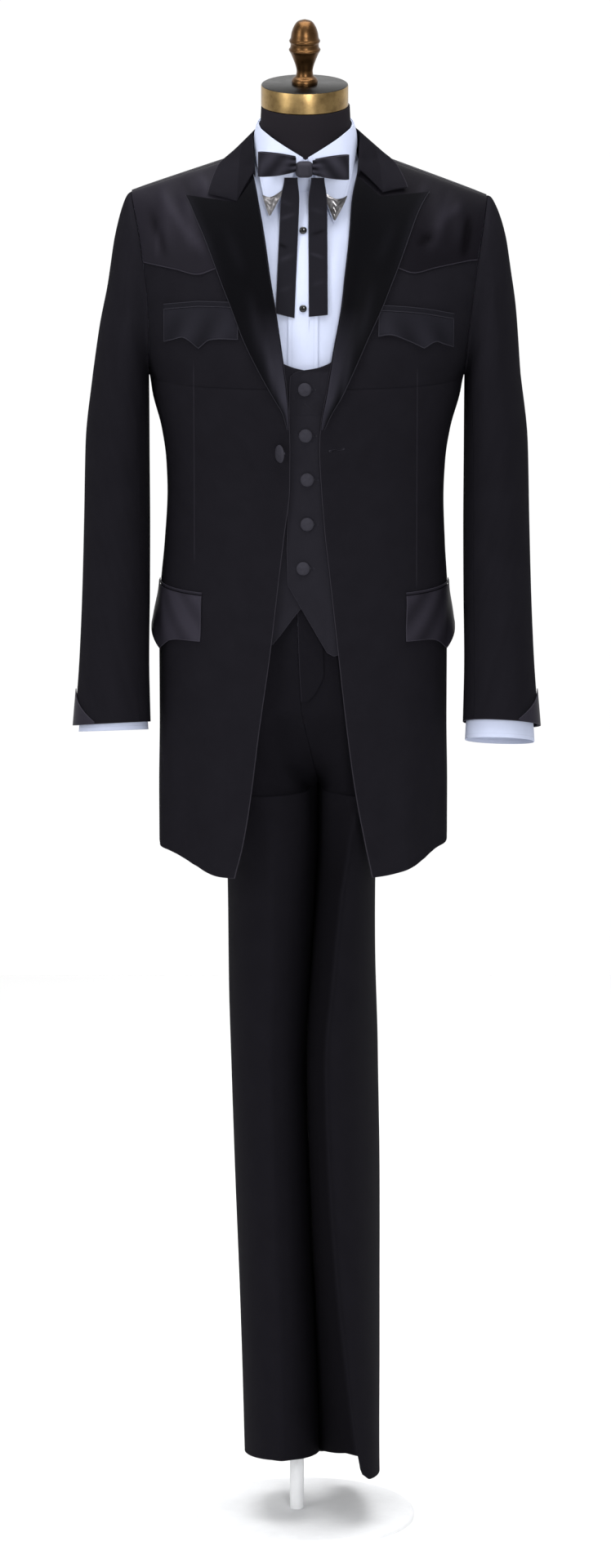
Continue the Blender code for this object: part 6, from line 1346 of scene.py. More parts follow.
def coat_collar():
    """The turned-down collar: stand, fold and fall from one gorge round the neck to the other."""
    along = finer((0.0, 0.12, 0.25, 0.37, 0.5, 0.62, 0.75, 0.88, 1.0), 5)
    sign = np.concatenate([np.full(len(along), -1.0), np.ones(len(along) - 1)])[:, None]
    part = np.concatenate([along, along[::-1][1:]])[:, None]
    row = rows_at(COLLAR, part)
    end = rows_at(COLLAR_END, sign)
    fold_y, fold_z = row["fold_y"], row["fold_z"]
    fade = np.maximum(0.0, 1.0 - part / COLLAR_END_FADE)
    middle = float(read(CENTRE, "x", TIP))
    fold_x = row["fold_x"] * sign + COLLAR_SHIFT
    edge_x = row["edge_x"] * sign + middle * 0.6
    edge_y = row["edge_y"] - end["forward"] * fade
    before = np.linspace(0.0, 1.0, 9) * end["at"]
    share = np.hstack([before, end["at"] + (1.0 - end["at"]) * np.linspace(0.0, 1.0, 13)[1:]])
    bend = np.minimum(share / end["at"], (1.0 - share) / (1.0 - end["at"]))
    x = fold_x + (edge_x - fold_x) * share
    y = fold_y + (edge_y - fold_y) * share - end["dip"] * fade * bend
    edge_z = ridge_height(sign, edge_x - middle, edge_y) + row["lift"]
    z = fold_z + (edge_z - fold_z) * share - row["sag"] * bend
    z = np.where(share > 0.0, np.maximum(z, ridge_height(sign, x - middle, y) + row["lift"]), z)
    reach = np.hypot(fold_x, fold_y)
    out = in_space(fold_x / reach, fold_y / reach, 0.0) * COLLAR_WALL
    fall = in_space(x, y, z)
    upper = fall + np.array((0.0, 0.0, COLLAR_WALL))
    fall[:, :1] += out - np.array((0.0, 0.0, COLLAR_TUCK))
    drop = (1.0 - np.linspace(0.0, 1.0, 6)[:-1])[None, :] * row["stand"]
    fold = in_space(fold_x, fold_y, fold_z - drop)
    faces = np.hstack([fold, upper]), np.hstack([fold + out, fall])
    make_wall("coat_collar", faces, "coat cloth", rests_on=("coat_back_left",), free="r")


def finer_to_ridge(levels, power):
    """More rows of levels under the shoulder's ridge, evenly spaced in depth."""
    away = limited(finer(beside(rise_of(levels), power), FINE_ROWS))
    return UNDERARM + (TIP - UNDERARM) * beside(away, power)


def yoke_front(side):
    """The satin yoke on a front, pointed at its bottom edge and sewn in at shoulder and armhole."""
    thick = YOKE_LIFT + SATIN_WALL
    turn, level = [grid[:, YOKE_FIRST_COLUMN * FINE_COLUMNS:]
                   for grid in yoke_grid(side, COAT_COLUMNS, 1.635, YOKE_FRONT)]
    turn[:, -1] = armhole_turn(level[:, -1], -thick)
    across = across_at(turn, half_at(level))
    fold = creases(across, level, YOKE_FOLDS[side])
    fold[:, -1] = 0.0
    pucker = creases(across, level, YOKE_CREASES[side]) + CLEAR
    faces = pushed(torso_wall(side, turn, level, -thick - fold, -YOKE_LIFT - fold),
                   pucker * calm(turn.shape, 4, 4, 0, 4))
    # Painted light: a level for each side, with painted highlights on the puckers and folds
    make_wall("coat_yoke_front_" + side, faces, "light satin", rests_on=("coat_front_" + side,),
              free="h", painted_shading=limited(YOKE_PAINTED_LIGHT[side] + pucker * 260.0 + fold * 60.0))


def yoke_back():
    """The satin yoke across the back, pointed at the middle."""
    halves = {}
    thick = YOKE_LIFT + SATIN_WALL
    for side in SIDES:
        turn, level = yoke_grid(side, BACK_COLUMNS, 1.620, YOKE_BACK, back=True)
        turn[:, -1] = 180.0 - armhole_turn(level[:, -1], -thick)
        level[1:] = neck_dip(side, turn[1:], level[1:], NECK_X, COAT_NECK_Y, back=True)
        halves[side] = torso_wall(side, turn, level, -thick, -YOKE_LIFT, back=True)
    faces = joined(halves)
    pucker = creases(faces[0][..., 0], faces[0][..., 2], YOKE_BACK_CREASES) + CLEAR
    faces = pushed(faces, pucker * calm(pucker.shape, 4, 4, 4, 4))
    # Painted light: one level, with painted highlights on the puckers
    make_wall("coat_yoke_back", faces, "light satin", rests_on=("coat_back_left", "coat_back_right"),
              free="h", painted_shading=limited(YOKE_BACK_PAINTED_LIGHT + pucker * 200.0))


def scallop(at, places, values, point):
    """A flap's lower edge: one smooth curve on each side of its point."""
    before = smooth(at, places[:point + 1], values[:point + 1])
    return np.where(at <= places[point], before, smooth(at, places[point:], values[point:]))


def chest_pocket(side):
    """A pointed satin flap with its welt above."""
    flap = CHEST_FLAP[side]
    across = finer(flap["x"], 8)
    top = np.interp(across, flap["x"], flap["top"])
    bottom = scallop(across, flap["x"], flap["bottom"], CHEST_FLAP_POINT)
    share = np.linspace(0.0, 1.0, 14)[:, None]
    height = bottom + (top - bottom) * share
    bulge = np.sin(np.linspace(0.0, math.pi, len(across))) ** 0.5 * share[::-1]
    wave = FLAP_WAVE * np.sin(across * 150.0 + height * 60.0) * bulge
    # Painted light on the flap, with painted highlights on its waves
    lay_on_front("coat_chest_flap_", side, across, height, FLAP_LIFT, SATIN_WALL, "satin",
                 FLAP_BULGE * bulge + wave, "hlr", limited(0.34 + wave * 260.0))
    height = top + 0.0006 + WELT_HEIGHT * np.linspace(0.0, 1.0, 6)[:, None]
    # The welt takes an even level of painted light
    lay_on_front("coat_chest_welt_", side, across, height, WELT_LIFT, WELT_WALL, "satin", 0.0, "ht", 0.25)


def hip_flap(side):
    """A pointed satin flap at the hip that stands away at its outer corner."""
    places = HIP_FLAP["turn"]
    turn = finer(places, 8)
    top = np.interp(turn, places, HIP_FLAP["top"])
    bottom = scallop(turn, places, HIP_FLAP["bottom"], int(np.argmin(HIP_FLAP["bottom"])))
    share = np.linspace(0.0, 1.0, 20)[:, None]
    level = top + (bottom - top) * share
    flare = np.interp(turn, places, HIP_FLAP["flare"]) * share ** 1.5
    depth = np.where(turn <= 90.0, depth_at(level, False), depth_at(level, True))
    faces = []
    fold = coat_fold(side, turn, level) + HIP_FLAP_WAVE * np.sin(turn * 0.19 + share * 5.0) * share
    for lift in (HIP_FLAP_LIFT + SATIN_WALL + fold, HIP_FLAP_LIFT + fold):
        x = read(CENTRE, "x", level) + SIDES[side] * across_at(turn, half_at(level) + lift + flare)
        y = -(depth + lift + flare) * rounded(np.cos(np.radians(turn)), BODY_POWER)
        faces.append(in_space(x, y, level))
    # Painted light: the side's level, varied along the flap
    painted_shading = limited(HIP_FLAP_PAINTED_LIGHT[side] + 0.18 * np.sin(turn * 0.33 + share * 7.0))
    make_wall("coat_hip_flap_" + side, faces, "light satin", rests_on=("coat_front_" + side,), free="tlr",
              painted_shading=painted_shading)


def hip_jet(side):
    """The narrow satin lip of the hip pocket, above the flap."""
    turn = np.linspace(HIP_FLAP["turn"][0], 90.0, 60)
    rise = np.linspace(*HIP_JET_RISE, 4)[:, None]
    level = np.interp(turn, HIP_FLAP["turn"], HIP_FLAP["top"]) + rise
    faces = torso_wall(side, turn, level, -HIP_JET_LIFT[0], -HIP_JET_LIFT[1])
    # An even level of painted light
    make_wall("coat_hip_jet_" + side, faces, "light satin", rests_on=("coat_front_" + side,), free="t",
              painted_shading=0.5)


def sleeve_point(rows, side, along, turn, inset=0.0, bottom=UNDERARM, body_inset=0.0):
    """A point of a sleeve: turn is 0 on its outer line, 90 in front, 180 under the arm."""
    turn = np.radians(turn)
    value = rows_at(rows, along)
    depth = inset
    if rows is SLEEVE:
        depth = inset - sleeve_folds(np.degrees(turn), along, SLEEVE_FOLDS[side])
    outer = np.stack([value["outer_x"], value["outer_z"]])
    under = np.stack([value["inner_x"], value["inner_z"]])
    unit = (outer - under) / np.hypot(*(outer - under))
    outer, under = outer - unit * depth, under + unit * depth
    x, z = under + (outer - under) * ((1.0 + rounded(np.cos(turn), SLEEVE_POWER)) / 2.0)
    y = (value["half_depth"] - depth) * rounded(np.sin(turn), SLEEVE_POWER)
    level = bottom + (TIP - bottom) * ((1.0 + np.cos(turn)) / 2.0)
    hole = armhole_ring(side, level, turn, inset, body_inset)
    pitch = np.radians(value["pitch"]) * SLEEVE_PITCH[side]
    z = z + y * np.sin(pitch)
    y = value["middle_y"] - y * np.cos(pitch)
    x = SIDES[side] * x + read(CENTRE, "x", np.maximum(z, UNDERARM))
    mix = value["armhole"][..., None]
    return hole * mix + in_space(x, y, z) * (1.0 - mix)


def armhole_ring(side, level, turn, inset, body_inset):
    """The armhole's own curve, moved 0.3 mm out of the body and narrowed by the wall."""
    half = half_at(level)
    x = read(ARMHOLE, "x", level)
    across = beside(limited(x / half), BODY_POWER)
    x = x * (1.0 - body_inset / half)
    rise = rise_of(level)
    front, back = [(depth_at(level, back) - body_inset) * closing(rise, back) for back in (False, True)]
    depth = np.where(np.sin(turn) >= 0.0, front, back) * across
    depth = np.maximum(depth - inset * np.abs(np.sin(turn)), 0.0)
    middle = UNDERARM + rise * (shoulder_height(side, x, body_inset) - UNDERARM)
    place = SIDES[side] * (x + 2.0 * SEAM) + read(CENTRE, "x", middle)
    return in_space(place, -np.sign(np.sin(turn)) * depth, middle - inset * np.cos(turn))


def coat_sleeve(side):
    """A two-piece sleeve: the wide top sleeve and the narrow under sleeve."""
    along = finer(np.arange(len(SLEEVE["along"])), 8)[:, None]
    reach, start = SLEEVE_SEAM_TURN - SLEEVE_SEAM_GAP, SLEEVE_SEAM_TURN + SLEEVE_SEAM_GAP
    parts = {"top": np.linspace(-reach, reach, 73), "under": np.linspace(start, 360.0 - start, 25)}
    for part, turns in parts.items():
        faces = [sleeve_point(SLEEVE, side, along, turns, inset) for inset in (0.0, COAT_WALL)]
        fold = sleeve_folds(turns, along, SLEEVE_CREASES[side])
        faces = pushed(faces, fold * calm(fold.shape, 6, 0, 4, 4))
        make_wall("coat_sleeve_" + part + "_" + side, faces, "coat cloth",
                  rests_on=("shirt_sleeve_" + side,), free="t")


def cuff_patch(side):
    """The satin triangle laid on the outer side of a sleeve's end."""
    turns = np.linspace(-CUFF_PATCH_TURN, CUFF_PATCH_TURN, 49)
    rise = CUFF_PATCH_RISE * (1.0 - np.abs(turns) / CUFF_PATCH_TURN) + CUFF_PATCH_BAND
    along = SLEEVE["along"][-1] - rise * np.linspace(0.0, 1.0, 13)[:, None]
    faces = [sleeve_point(SLEEVE, side, along, turns, -lift)
             for lift in (CUFF_PATCH_LIFT + SATIN_WALL, CUFF_PATCH_LIFT)]
    # An even level of painted light
    make_wall("coat_cuff_patch_" + side, faces, "light satin", rests_on=("coat_sleeve_top_" + side,),
              free="t", painted_shading=0.75)


def coat_button():
    """The covered button, turned on its thread stem."""
    profile = ((0.0016, -0.0052), (0.0016, 0.0), (0.0060, 0.0002), (0.0090, 0.0003), (0.0104, 0.0007),
               (BUTTON_RADIUS, 0.0016), (0.0106, 0.0026), (0.0095, 0.0034), (0.0075, 0.0040),
               (0.0050, 0.0044), (0.0025, 0.00462), (0.0, 0.0047))
    make_turned("coat_button", profile, 48, "satin", tilt_frame(BUTTON_PLACE, 90.0, -BUTTON_YAW), 0.0010, 0.5)


def buttonhole(name, side, ends, inset, kind, half=0.0011, cord=0.00045):
    """A worked buttonhole: a thin cord sewn round a slit, a tube along a flattened ring."""
    start, end = np.array(ends)
    span = np.hypot(*(end - start))
    run = (end - start) / span
    angle = np.linspace(0.0, 2.0 * math.pi, 65)[:-1]
    straight = rounded(np.cos(angle), 5.0) * span / 2.0
    aside = np.sin(angle) * half
    middle = (start + end) / 2.0
    x = middle[0] + straight * run[0] - aside * run[1]
    z = middle[1] + straight * run[1] + aside * run[0]
    turn = np.linspace(0.0, 2.0 * math.pi, 9)[:-1]
    ring_x = x[:, None] + cord * np.cos(turn) * np.sin(angle)[:, None]
    ring_z = z[:, None] + cord * np.cos(turn) * np.cos(angle)[:, None]
    depth = front_depth(side, x, z, inset)[:, None] + cord * 0.6 * (1.0 + np.sin(turn))
    index = np.arange(ring_x.size).reshape(ring_x.shape)
    after = np.roll(index, -1, axis=0)
    faces = np.stack([index, after, np.roll(after, -1, axis=1), np.roll(index, -1, axis=1)], axis=-1)
    closed_piece(name, in_space(ring_x, -depth, ring_z), faces.reshape(-1, 4).tolist(), kind)


def vest_inset(turn, levels, under=False):
    """Depth of the waistcoat under the coat, more at the shoulder and at the lower front's overlap."""
    depth = VEST_INSET + VEST_SHOULDER * limited((levels[:, None] - 1.690) / 0.014)
    return depth + VEST_UNDERLAP * ease(limited((32.0 - turn) / 18.0)) if under else depth


def vest_front(side):
    """A waistcoat front with its scooped neck, cut-away point and deep armhole."""
    under = side == "right"
    levels = finer(VEST_LEVELS, 5)
    layer = "under" if under else "over"
    edge = edge_turn(side, VEST_EDGE, layer, levels, VEST_INSET)
    arm = read(VEST_ARMHOLE, "turn", levels)
    middle = np.maximum(3.0 if under else 0.0, edge + 0.12 * (arm - edge))
    turn = np.hstack([spread(edge, middle, 6)[:, :-1], spread(middle, arm, 36)])
    x = across_at(turn, half_at(levels[0]) - VEST_INSET) + centre(side, levels[0])
    hem = np.interp(x, VEST_HEM[layer]["x"], VEST_HEM[layer]["height"])
    level = hem_levels(levels, hem, VEST_HEM_FADE)
    inset = vest_inset(turn, levels, under)
    fold = creases(turn * FOLD_ACROSS, level, VEST_CREASES) * calm(turn.shape, 0, 6, 3, 5)
    faces = pushed(torso_wall(side, turn, level, inset, inset + VEST_WALL), fold)
    make_wall("vest_front_" + side, faces, "vest cloth", rests_on=("shirt_front",), free="hlr")


def vest_back():
    """The waistcoat's back in one piece."""
    levels = finer(VEST_BACK_LEVELS, 5)
    halves = {}
    for side in SIDES:
        neck = to_turn(side, VEST_NECK_X, levels, VEST_INSET, back=True)
        arm = 180.0 - read(VEST_ARMHOLE, "turn", levels)
        turn = neck_columns(neck, np.full(len(levels), 180.0), arm, 12, 12)
        level = neck_dip(side, turn, levels[:, None], VEST_NECK_X, VEST_NECK_Y, VEST_INSET, back=True)
        inset = vest_inset(turn, levels)
        halves[side] = torso_wall(side, turn, level, inset, inset + VEST_WALL, back=True)
    faces = round_body(joined(halves), VEST_CREASES, 6)
    make_wall("vest_back", faces, "vest cloth", rests_on=("shirt_back",), free="hlr")


def front_depth(side, x, height, inset, ridge_inset=0.0):
    """How far forward the torso's layer stands at places of its front."""
    level = to_level(side, np.abs(x), height, ridge_inset)
    return -on_torso(side, to_turn(side, np.abs(x), level, inset), level, inset)[..., 1]


def set_on_front(name, x, height, inset, size, shares, sides, kind, gather=0.0, phase=0.0):
    """A small turned piece set on the front with its face forward; size is its radius and height."""
    side = "left" if x >= 0 else "right"
    y = -float(front_depth(side, x, height, inset, inset)) - CLEAR
    make_turned(name, np.multiply(shares, size), sides, kind, tilt_frame((x, y, height), 90.0), gather, phase)


def vest_buttons():
    """Five covered buttons down the waistcoat."""
    for number, (x, z) in enumerate(zip(VEST_BUTTONS["x"], VEST_BUTTONS["height"]), start=1):
        set_on_front("vest_button_%d" % number, x, z, VEST_INSET, (VEST_BUTTON_RADIUS, VEST_BUTTON_HEIGHT),
                     VEST_BUTTON_SHARES, 48, "satin", 0.0010, number * 0.9)


def leg_ring(side, height, turn, inset, back):
    """Half a trouser leg's ring: turn is 0 at the side seam and 180 at the inseam."""
    value = rows_at(LEG[side], height)
    half = (value["outer_x"] - value["inner_x"]) / 2.0 - SIDES[side] * inset
    depth = value["back" if back else "front"] - inset
    yaw = np.radians(value["turn"])
    across = half * rounded(np.cos(turn), TROUSER_POWER)
    away = SEAM + (depth - SEAM) * np.abs(rounded(np.sin(turn), TROUSER_POWER))
    away = away if back else -away
    x = (value["outer_x"] + value["inner_x"]) / 2.0 + across * np.cos(yaw) - away * np.sin(yaw)
    y = value["middle_y"] + across * np.sin(yaw) + away * np.cos(yaw)
    return in_space(x, y, height)


def block_ring(side, height, turn, inset, back):
    """A quarter of the trousers' top: turn is 0 at the side seam and 180 at the middle seam."""
    middle = read(FLY_LINE, "x", height)
    share = rounded(np.cos(turn / 2.0), BODY_POWER)
    aside = np.abs(rounded(np.sin(turn / 2.0), BODY_POWER))
    reach = read(CENTRE, "x", height) * (1.0 - aside)
    reach = reach + SIDES[side] * (read(BLOCK, "half_width", height) - inset) * share
    x = np.where(share > 0, reach + middle * (1.0 - share) ** 2, middle) + SIDES[side] * SEAM * (1.0 - share)
    away = SEAM + (read(BLOCK, "back" if back else "front", height) - inset - SEAM) * aside
    return in_space(x, away if back else -away, height)


def trouser_grid(side, heights, turns, inset, back):
    """Points of a trouser panel, its leg ring opening into the top above the crotch."""
    height, turn = np.meshgrid(heights, np.radians(turns), indexing="ij")
    crease = np.exp(-((np.degrees(turn) - 90.0) / CREASE_WIDTH) ** 2)
    crease = crease * CREASE_SIZE * limited((CREASE_TOP - height) / 0.15)
    inset = inset - crease - creases(np.degrees(turn) / 180.0 * 0.26, height, TROUSER_FOLDS[side, back])
    part = np.sqrt(limited((height - CROTCH) / (RISE_TOP - CROTCH)))[..., None]
    leg = leg_ring(side, np.minimum(height, RISE_TOP), turn, inset, back)
    leg[..., 2] = height
    leg[..., 0] += SIDES[side] * SEAM * limited(-np.cos(turn))
    points = leg * (1.0 - part) + block_ring(side, height, turn, inset, back) * part
    fade = limited((HEM_RISE_FADE - height) / (HEM_RISE_FADE - heights[0])) ** 2
    points[..., 2] += (-1.0 if back else 1.0) * HEM_RISE * np.sin(turn) * fade
    if side == "left":
        held = np.interp(np.degrees(turn), HEM_LEFT["turn"], HEM_LEFT["rise"])
        held = held * limited(np.degrees(turn) / 180.0) ** 6 if back else held
        points[..., 2] += held * fade
    return points


def trouser_panel(side, back):
    """A trouser front or back from its hem to the waistband."""
    top = WAIST_TOP - WAISTBAND_HEIGHT - 2.0 * SEAM
    heights = finer(LEG_HEIGHTS[side] + BLOCK_HEIGHTS + (top,), 9)
    turns = np.linspace(0.0, 180.0, TROUSER_COLUMNS * FINE_COLUMNS + 1)
    faces = [trouser_grid(side, heights, turns, inset, back) for inset in (0.0, TROUSER_WALL)]
    fold = creases(turns / 180.0 * 0.26, heights[:, None], TROUSER_CREASES[side, back])
    span = limited((heights - 0.68) / 0.06) * limited((0.98 - heights) / 0.03)
    span = 0.0006 * span + 0.0013 * limited((0.34 - heights) / 0.10)
    swell = np.exp(-((180.0 - turns) / 25.0) ** 2) * span[:, None]
    faces = pushed(faces, fold * calm(fold.shape, 0, 8, 4, 4) + swell)
    # Painted shade on the fronts: the inner side of each leg towards the inseam, fading out above the crotch
    shaded = limited((turns - 90.0) / 6.0) if side == "left" else limited((turns - 96.0) / 70.0)
    shaded = shaded * limited((1.02 - heights) / 0.16)[:, None] * (0.0 if back else 1.0)
    part = "back" if back else "front"
    make_wall("trousers_" + part + "_" + side, faces, "trouser cloth",
              rests_on=("shirt_" + part,), free="h", painted_shading=shaded)


def waistband():
    """The waistband as one ring round the shirt."""
    heights = np.linspace(WAIST_TOP - WAISTBAND_HEIGHT, WAIST_TOP, 7)
    turn, height = np.meshgrid(np.radians(np.linspace(0.0, 180.0, 31)), heights, indexing="ij")
    faces = []
    for inset in (0.0, TROUSER_WALL):
        ring = round_quarters(lambda side, back: block_ring(side, height, turn, inset, back), False)
        faces.append(ring.swapaxes(0, 1))
    make_wall("trousers_waistband", faces, "trouser cloth", ring=True, rests_on=("shirt_front",))


def trousers_fly():
    """The fly's overlap on the left front, curved at its bottom."""
    heights = np.linspace(FLY_BOTTOM, WAIST_TOP - WAISTBAND_HEIGHT - 0.002, 31)[:, None]
    width = FLY_WIDTH * np.sqrt(limited((heights - FLY_BOTTOM + 0.002) / 0.035))
    x = read(FLY_LINE, "x", heights) + 0.0005 + width * np.linspace(0.0, 1.0, 10)
    across = beside(limited(np.abs(x) / read(BLOCK, "half_width", heights)), BODY_POWER)
    front = read(BLOCK, "front", heights)
    faces = [in_space(x, -(front + lift) * across, heights) for lift in (FLY_LIFT + FLY_WALL, FLY_LIFT)]
    make_wall("trousers_fly", faces, "trouser cloth", rests_on=("trousers_front_left",), free="l")


def shirt_levels():
    """Rows of the shirt's body, its armhole a little above the coat's."""
    return finer(np.concatenate([SHIRT_LEVELS[:-1], armhole_levels(SHIRT_SLEEVE_STEP, SHIRT_UNDERARM)]), 6)


def shirt_half(side, levels, back, wall):
    """Half of the shirt's front or back from the middle to the side seam and armhole."""
    depth = read(SHIRT_INSET, "depth", levels)[:, None] + wall
    neck = to_turn(side, SHIRT_NECK_X, levels, SHIRT_UPPER_INSET)
    arm = np.where(levels < SHIRT_UNDERARM, 90.0, armhole_turn(np.maximum(levels - 0.0005, 0.0)))
    middle = np.zeros(len(levels))
    turn = neck_columns(neck, middle, arm, 4 * FINE_COLUMNS, (SHIRT_COLUMNS - 4) * FINE_COLUMNS)
    neck_y = SHIRT_NECK_BACK if back else SHIRT_NECK_FRONT
    level = neck_dip(side, turn, levels[:, None], SHIRT_NECK_X, neck_y, SHIRT_UPPER_INSET, back)
    return on_torso(side, 180.0 - turn if back else turn, level, depth, back=back)


def shirt_body(back):
    """The shirt's front or back in one piece."""
    levels = shirt_levels()
    halves = {side: [shirt_half(side, levels, back, wall) for wall in (0.0, SHIRT_WALL)] for side in SIDES}
    faces = round_body(joined(halves), SHIRT_CREASES, 12)
    make_wall("shirt_back" if back else "shirt_front", faces, "shirt cloth", rests_on=("form_torso",))


def shirt_placket():
    """The flat band down the middle of the shirt's front, from the waist to the neckline."""
    levels = shirt_levels()
    levels = levels[levels > PLACKET_LOW]
    places = [("right", -x) for x in np.linspace(PLACKET_X[0], 0.0, 7)]
    places += [("left", x) for x in np.linspace(0.0, PLACKET_X[1], 5)[1:]]
    faces = []
    for lift in (PLACKET_LIFT + PLACKET_WALL, PLACKET_LIFT):
        columns = []
        for side, x in places:
            turn = to_turn(side, x, levels, SHIRT_UPPER_INSET) if x else np.zeros(len(levels))
            level = neck_dip(side, turn, levels, SHIRT_NECK_X, SHIRT_NECK_FRONT, SHIRT_UPPER_INSET)
            columns.append(on_torso(side, turn, level, read(SHIRT_INSET, "depth", levels) - lift))
        faces.append(np.stack(columns, axis=1))
    make_wall("shirt_placket", faces, "shirt cloth", rests_on=("shirt_front",), free="lr")


def collar_stand():
    """The shirt collar's stand, a ring that starts on the neckline and ends at the fold."""
    levels = shirt_levels()
    last = 4 * FINE_COLUMNS + 1
    low = round_quarters(lambda side, back: shirt_half(side, levels, back, 0.0)[-1, :last], True)
    turn = np.arange(len(low)) * 360.0 / len(low)
    around = np.minimum(turn, 360.0 - turn)
    high = np.stack([read(STAND_TOP, name, around) for name in ("x", "y", "height")], axis=-1)
    high[turn > 180.0, 0] *= -1.0
    low[:, 2] += CLEAR
    share = np.linspace(0.0, 1.0, 7)[:, None, None]
    faces = []
    for wall in (0.0, SHIRT_WALL):
        ring = low * (1.0 - share) + high * share
        ring[..., :2] -= ring[..., :2] / np.linalg.norm(ring[..., :2], axis=-1, keepdims=True) * wall
        faces.append(ring)
    make_wall("shirt_collar_stand", faces, "shirt cloth", ring=True, rests_on=("form_torso",))


def fall_point(side, part, share, lift):
    """Points of one side of the collar's fall, share 0 at the fold and 1 at the edge."""
    fold, edge = [np.stack([read(FALL, line + axis, part) for axis in "xyz"], axis=-1)
                  for line in ("fold_", "edge_")]
    near = np.maximum(0.0, 1.0 - part / FALL_POINT_FADE)[..., None] ** 2
    edge = edge + np.array([FALL_POINT[side][0], 0.0, FALL_POINT[side][1]]) * near
    point = fold + (edge - fold) * share[..., None]
    out = point * np.array((1.0, 1.0, 0.0))
    out = out / np.linalg.norm(out, axis=-1, keepdims=True)
    bulge = FALL_BULGE * np.sin(np.pi * share)
    return (point + out * (lift + bulge)[..., None]) * np.array([SIDES[side], 1.0, 1.0])


def collar_fall():
    """The turned-down shirt collar from one point round the neck to the other."""
    parts = finer((0.0, 0.08, 0.16, 0.25, 0.37, 0.5, 0.62, 0.75, 0.88, 1.0), 6)[:, None]
    shares = np.linspace(0.0, 1.0, 11)
    faces = []
    for lift in (SHIRT_WALL, 0.0):
        left, right = fall_point("left", parts, shares, lift), fall_point("right", parts, shares, lift)
        faces.append(np.vstack([left, right[-2::-1]]))
    make_wall("shirt_collar_fall", faces, "shirt cloth", rests_on=("shirt_collar_stand",),
              free="rht")


def collar_tip(side):
    """The silver tip over a collar point, notched above, its edges raised round a sunk middle."""
    away = np.linspace(0.06, 1.0, 25)[:, None]
    turn = np.linspace(0.0, 1.0, 25)
    reach = away * (1.0 - TIP_NOTCH * away * np.sin(np.pi * turn))
    part = 0.002 + reach * turn * TIP_ALONG
    share = 0.995 - reach * (1.0 - turn) * TIP_ACROSS
    inside = np.minimum(np.minimum(turn, 1.0 - turn) * away, 1.0 - away)
    scrolls = TIP_SCROLL * np.cos(away * 24.0 + np.sin(turn * 13.0) * 2.0) * limited(inside / 0.12)
    raised = TIP_RIM * np.exp(-(inside / 0.06) ** 2) + scrolls
    faces = [fall_point(side, part, share, SHIRT_WALL + lift)
             for lift in (TIP_LIFT[0] + raised, TIP_LIFT[1])]
    make_wall("collar_tip_" + side, faces, "silver")


def shirt_sleeve(side):
    """The shirt's sleeve inside the coat's."""
    along = finer(np.arange(len(SHIRT_SLEEVE["along"])), 6)[:, None]
    turns = np.arange(0.0, 360.0, 9.0)
    faces = [sleeve_point(SHIRT_SLEEVE, side, along, turns, inset, SHIRT_UNDERARM, SHIRT_UPPER_INSET)
             for inset in (0.0, SHIRT_WALL)]
    make_wall("shirt_sleeve_" + side, faces, "shirt cloth", ring=True)


def shirt_cuff(side):
    """The shirt's cuff, open at its slit, reaching past the coat's sleeve."""
    turns = np.linspace(CUFF_SLIT_TURN, 360.0 - CUFF_SLIT_TURN, 71)
    along = np.linspace(0.0, 1.0, 13)[:, None]
    faces = [sleeve_point(SHIRT_CUFF, side, along, turns, inset) for inset in (0.0, SHIRT_WALL)]
    for face in faces:
        face[..., 2] -= CUFF_SHOWS[side] * limited((along - 0.5) * 2.0)
    make_wall("shirt_cuff_" + side, faces, "shirt cloth", free="tlr")


def shirt_studs():
    """Two black studs on the placket."""
    size = (STUD_RADIUS, STUD_HEIGHT)
    for name, x, z in zip(("upper", "lower"), STUDS["x"], STUDS["height"]):
        inset = float(read(SHIRT_INSET, "depth", z)) - PLACKET_LIFT - PLACKET_WALL
        set_on_front("shirt_stud_" + name, x, z, inset, size, STUD_SHARES, 32, "black stud")


def tie_loop(side):
    """A bow loop: one band out to the side and back behind itself."""
    along = np.linspace(0.0, 1.0, 61)[:, None]
    x, y, half = [read(LOOP_PATH, name, along) for name in ("x", "y", "height")]
    step = np.stack([np.gradient(x, axis=0), np.gradient(y, axis=0)])
    normal = np.stack([step[1], -step[0]]) / np.hypot(*step)
    rise = np.linspace(-1.0, 1.0, 41)
    start = LOOP_START[side]
    near_knot = np.exp(-(along / 0.13) ** 2)
    pleat = LOOP_PLEAT * near_knot * np.cos(rise * 8.0 + start)
    pleat = pleat + LOOP_WAVE * np.sin(along * 26.0 + rise * 2.6 + start) * (1.0 - near_knot)
    pleat = pleat * limited((0.5 - along) / 0.06)
    height = LOOP_MIDDLE - LOOP_DROP[side] + half / 2.0 * rise
    faces = []
    for lift in (0.0, LOOP_WALL):
        reach = (x[0] + (x - normal[0] * lift - x[0]) * LOOP_REACH[side]) * SIDES[side]
        reach = reach + KNOT_PLACE[0] * (1.0 - along)
        depth = y - normal[1] * lift - LOOP_BULGE * np.sin(np.pi * along) * (1.0 - rise ** 2) + pleat
        faces.append(in_space(reach, depth, height))
    # Painted light and shade on the pleats and waves
    make_wall("tie_loop_" + side, faces, "satin", rests_on=("shirt_front",),
              free="lr", painted_shading=limited(0.55 - pleat * 420.0))


def tie_knot():
    """The knot: a rounded block of wrapped satin."""
    turns = np.arange(96) * (2.0 * math.pi / 96)
    height = np.sin(np.linspace(-1.0, 1.0, 33) * math.pi / 2.0)[:, None]
    size = 1.0 - KNOT_TAPER * np.abs(height) ** 5
    size = size * (1.0 + KNOT_WRAP * np.cos(turns * 9.0 + height * 1.4) * (1.0 - height ** 4))
    shape = in_space(size * rounded(np.cos(turns), KNOT_POWER), size * rounded(np.sin(turns), KNOT_POWER),
                     height)
    item = make_stack("tie_knot", np.array(KNOT_PLACE) + np.array(KNOT_HALF) * shape, "satin")


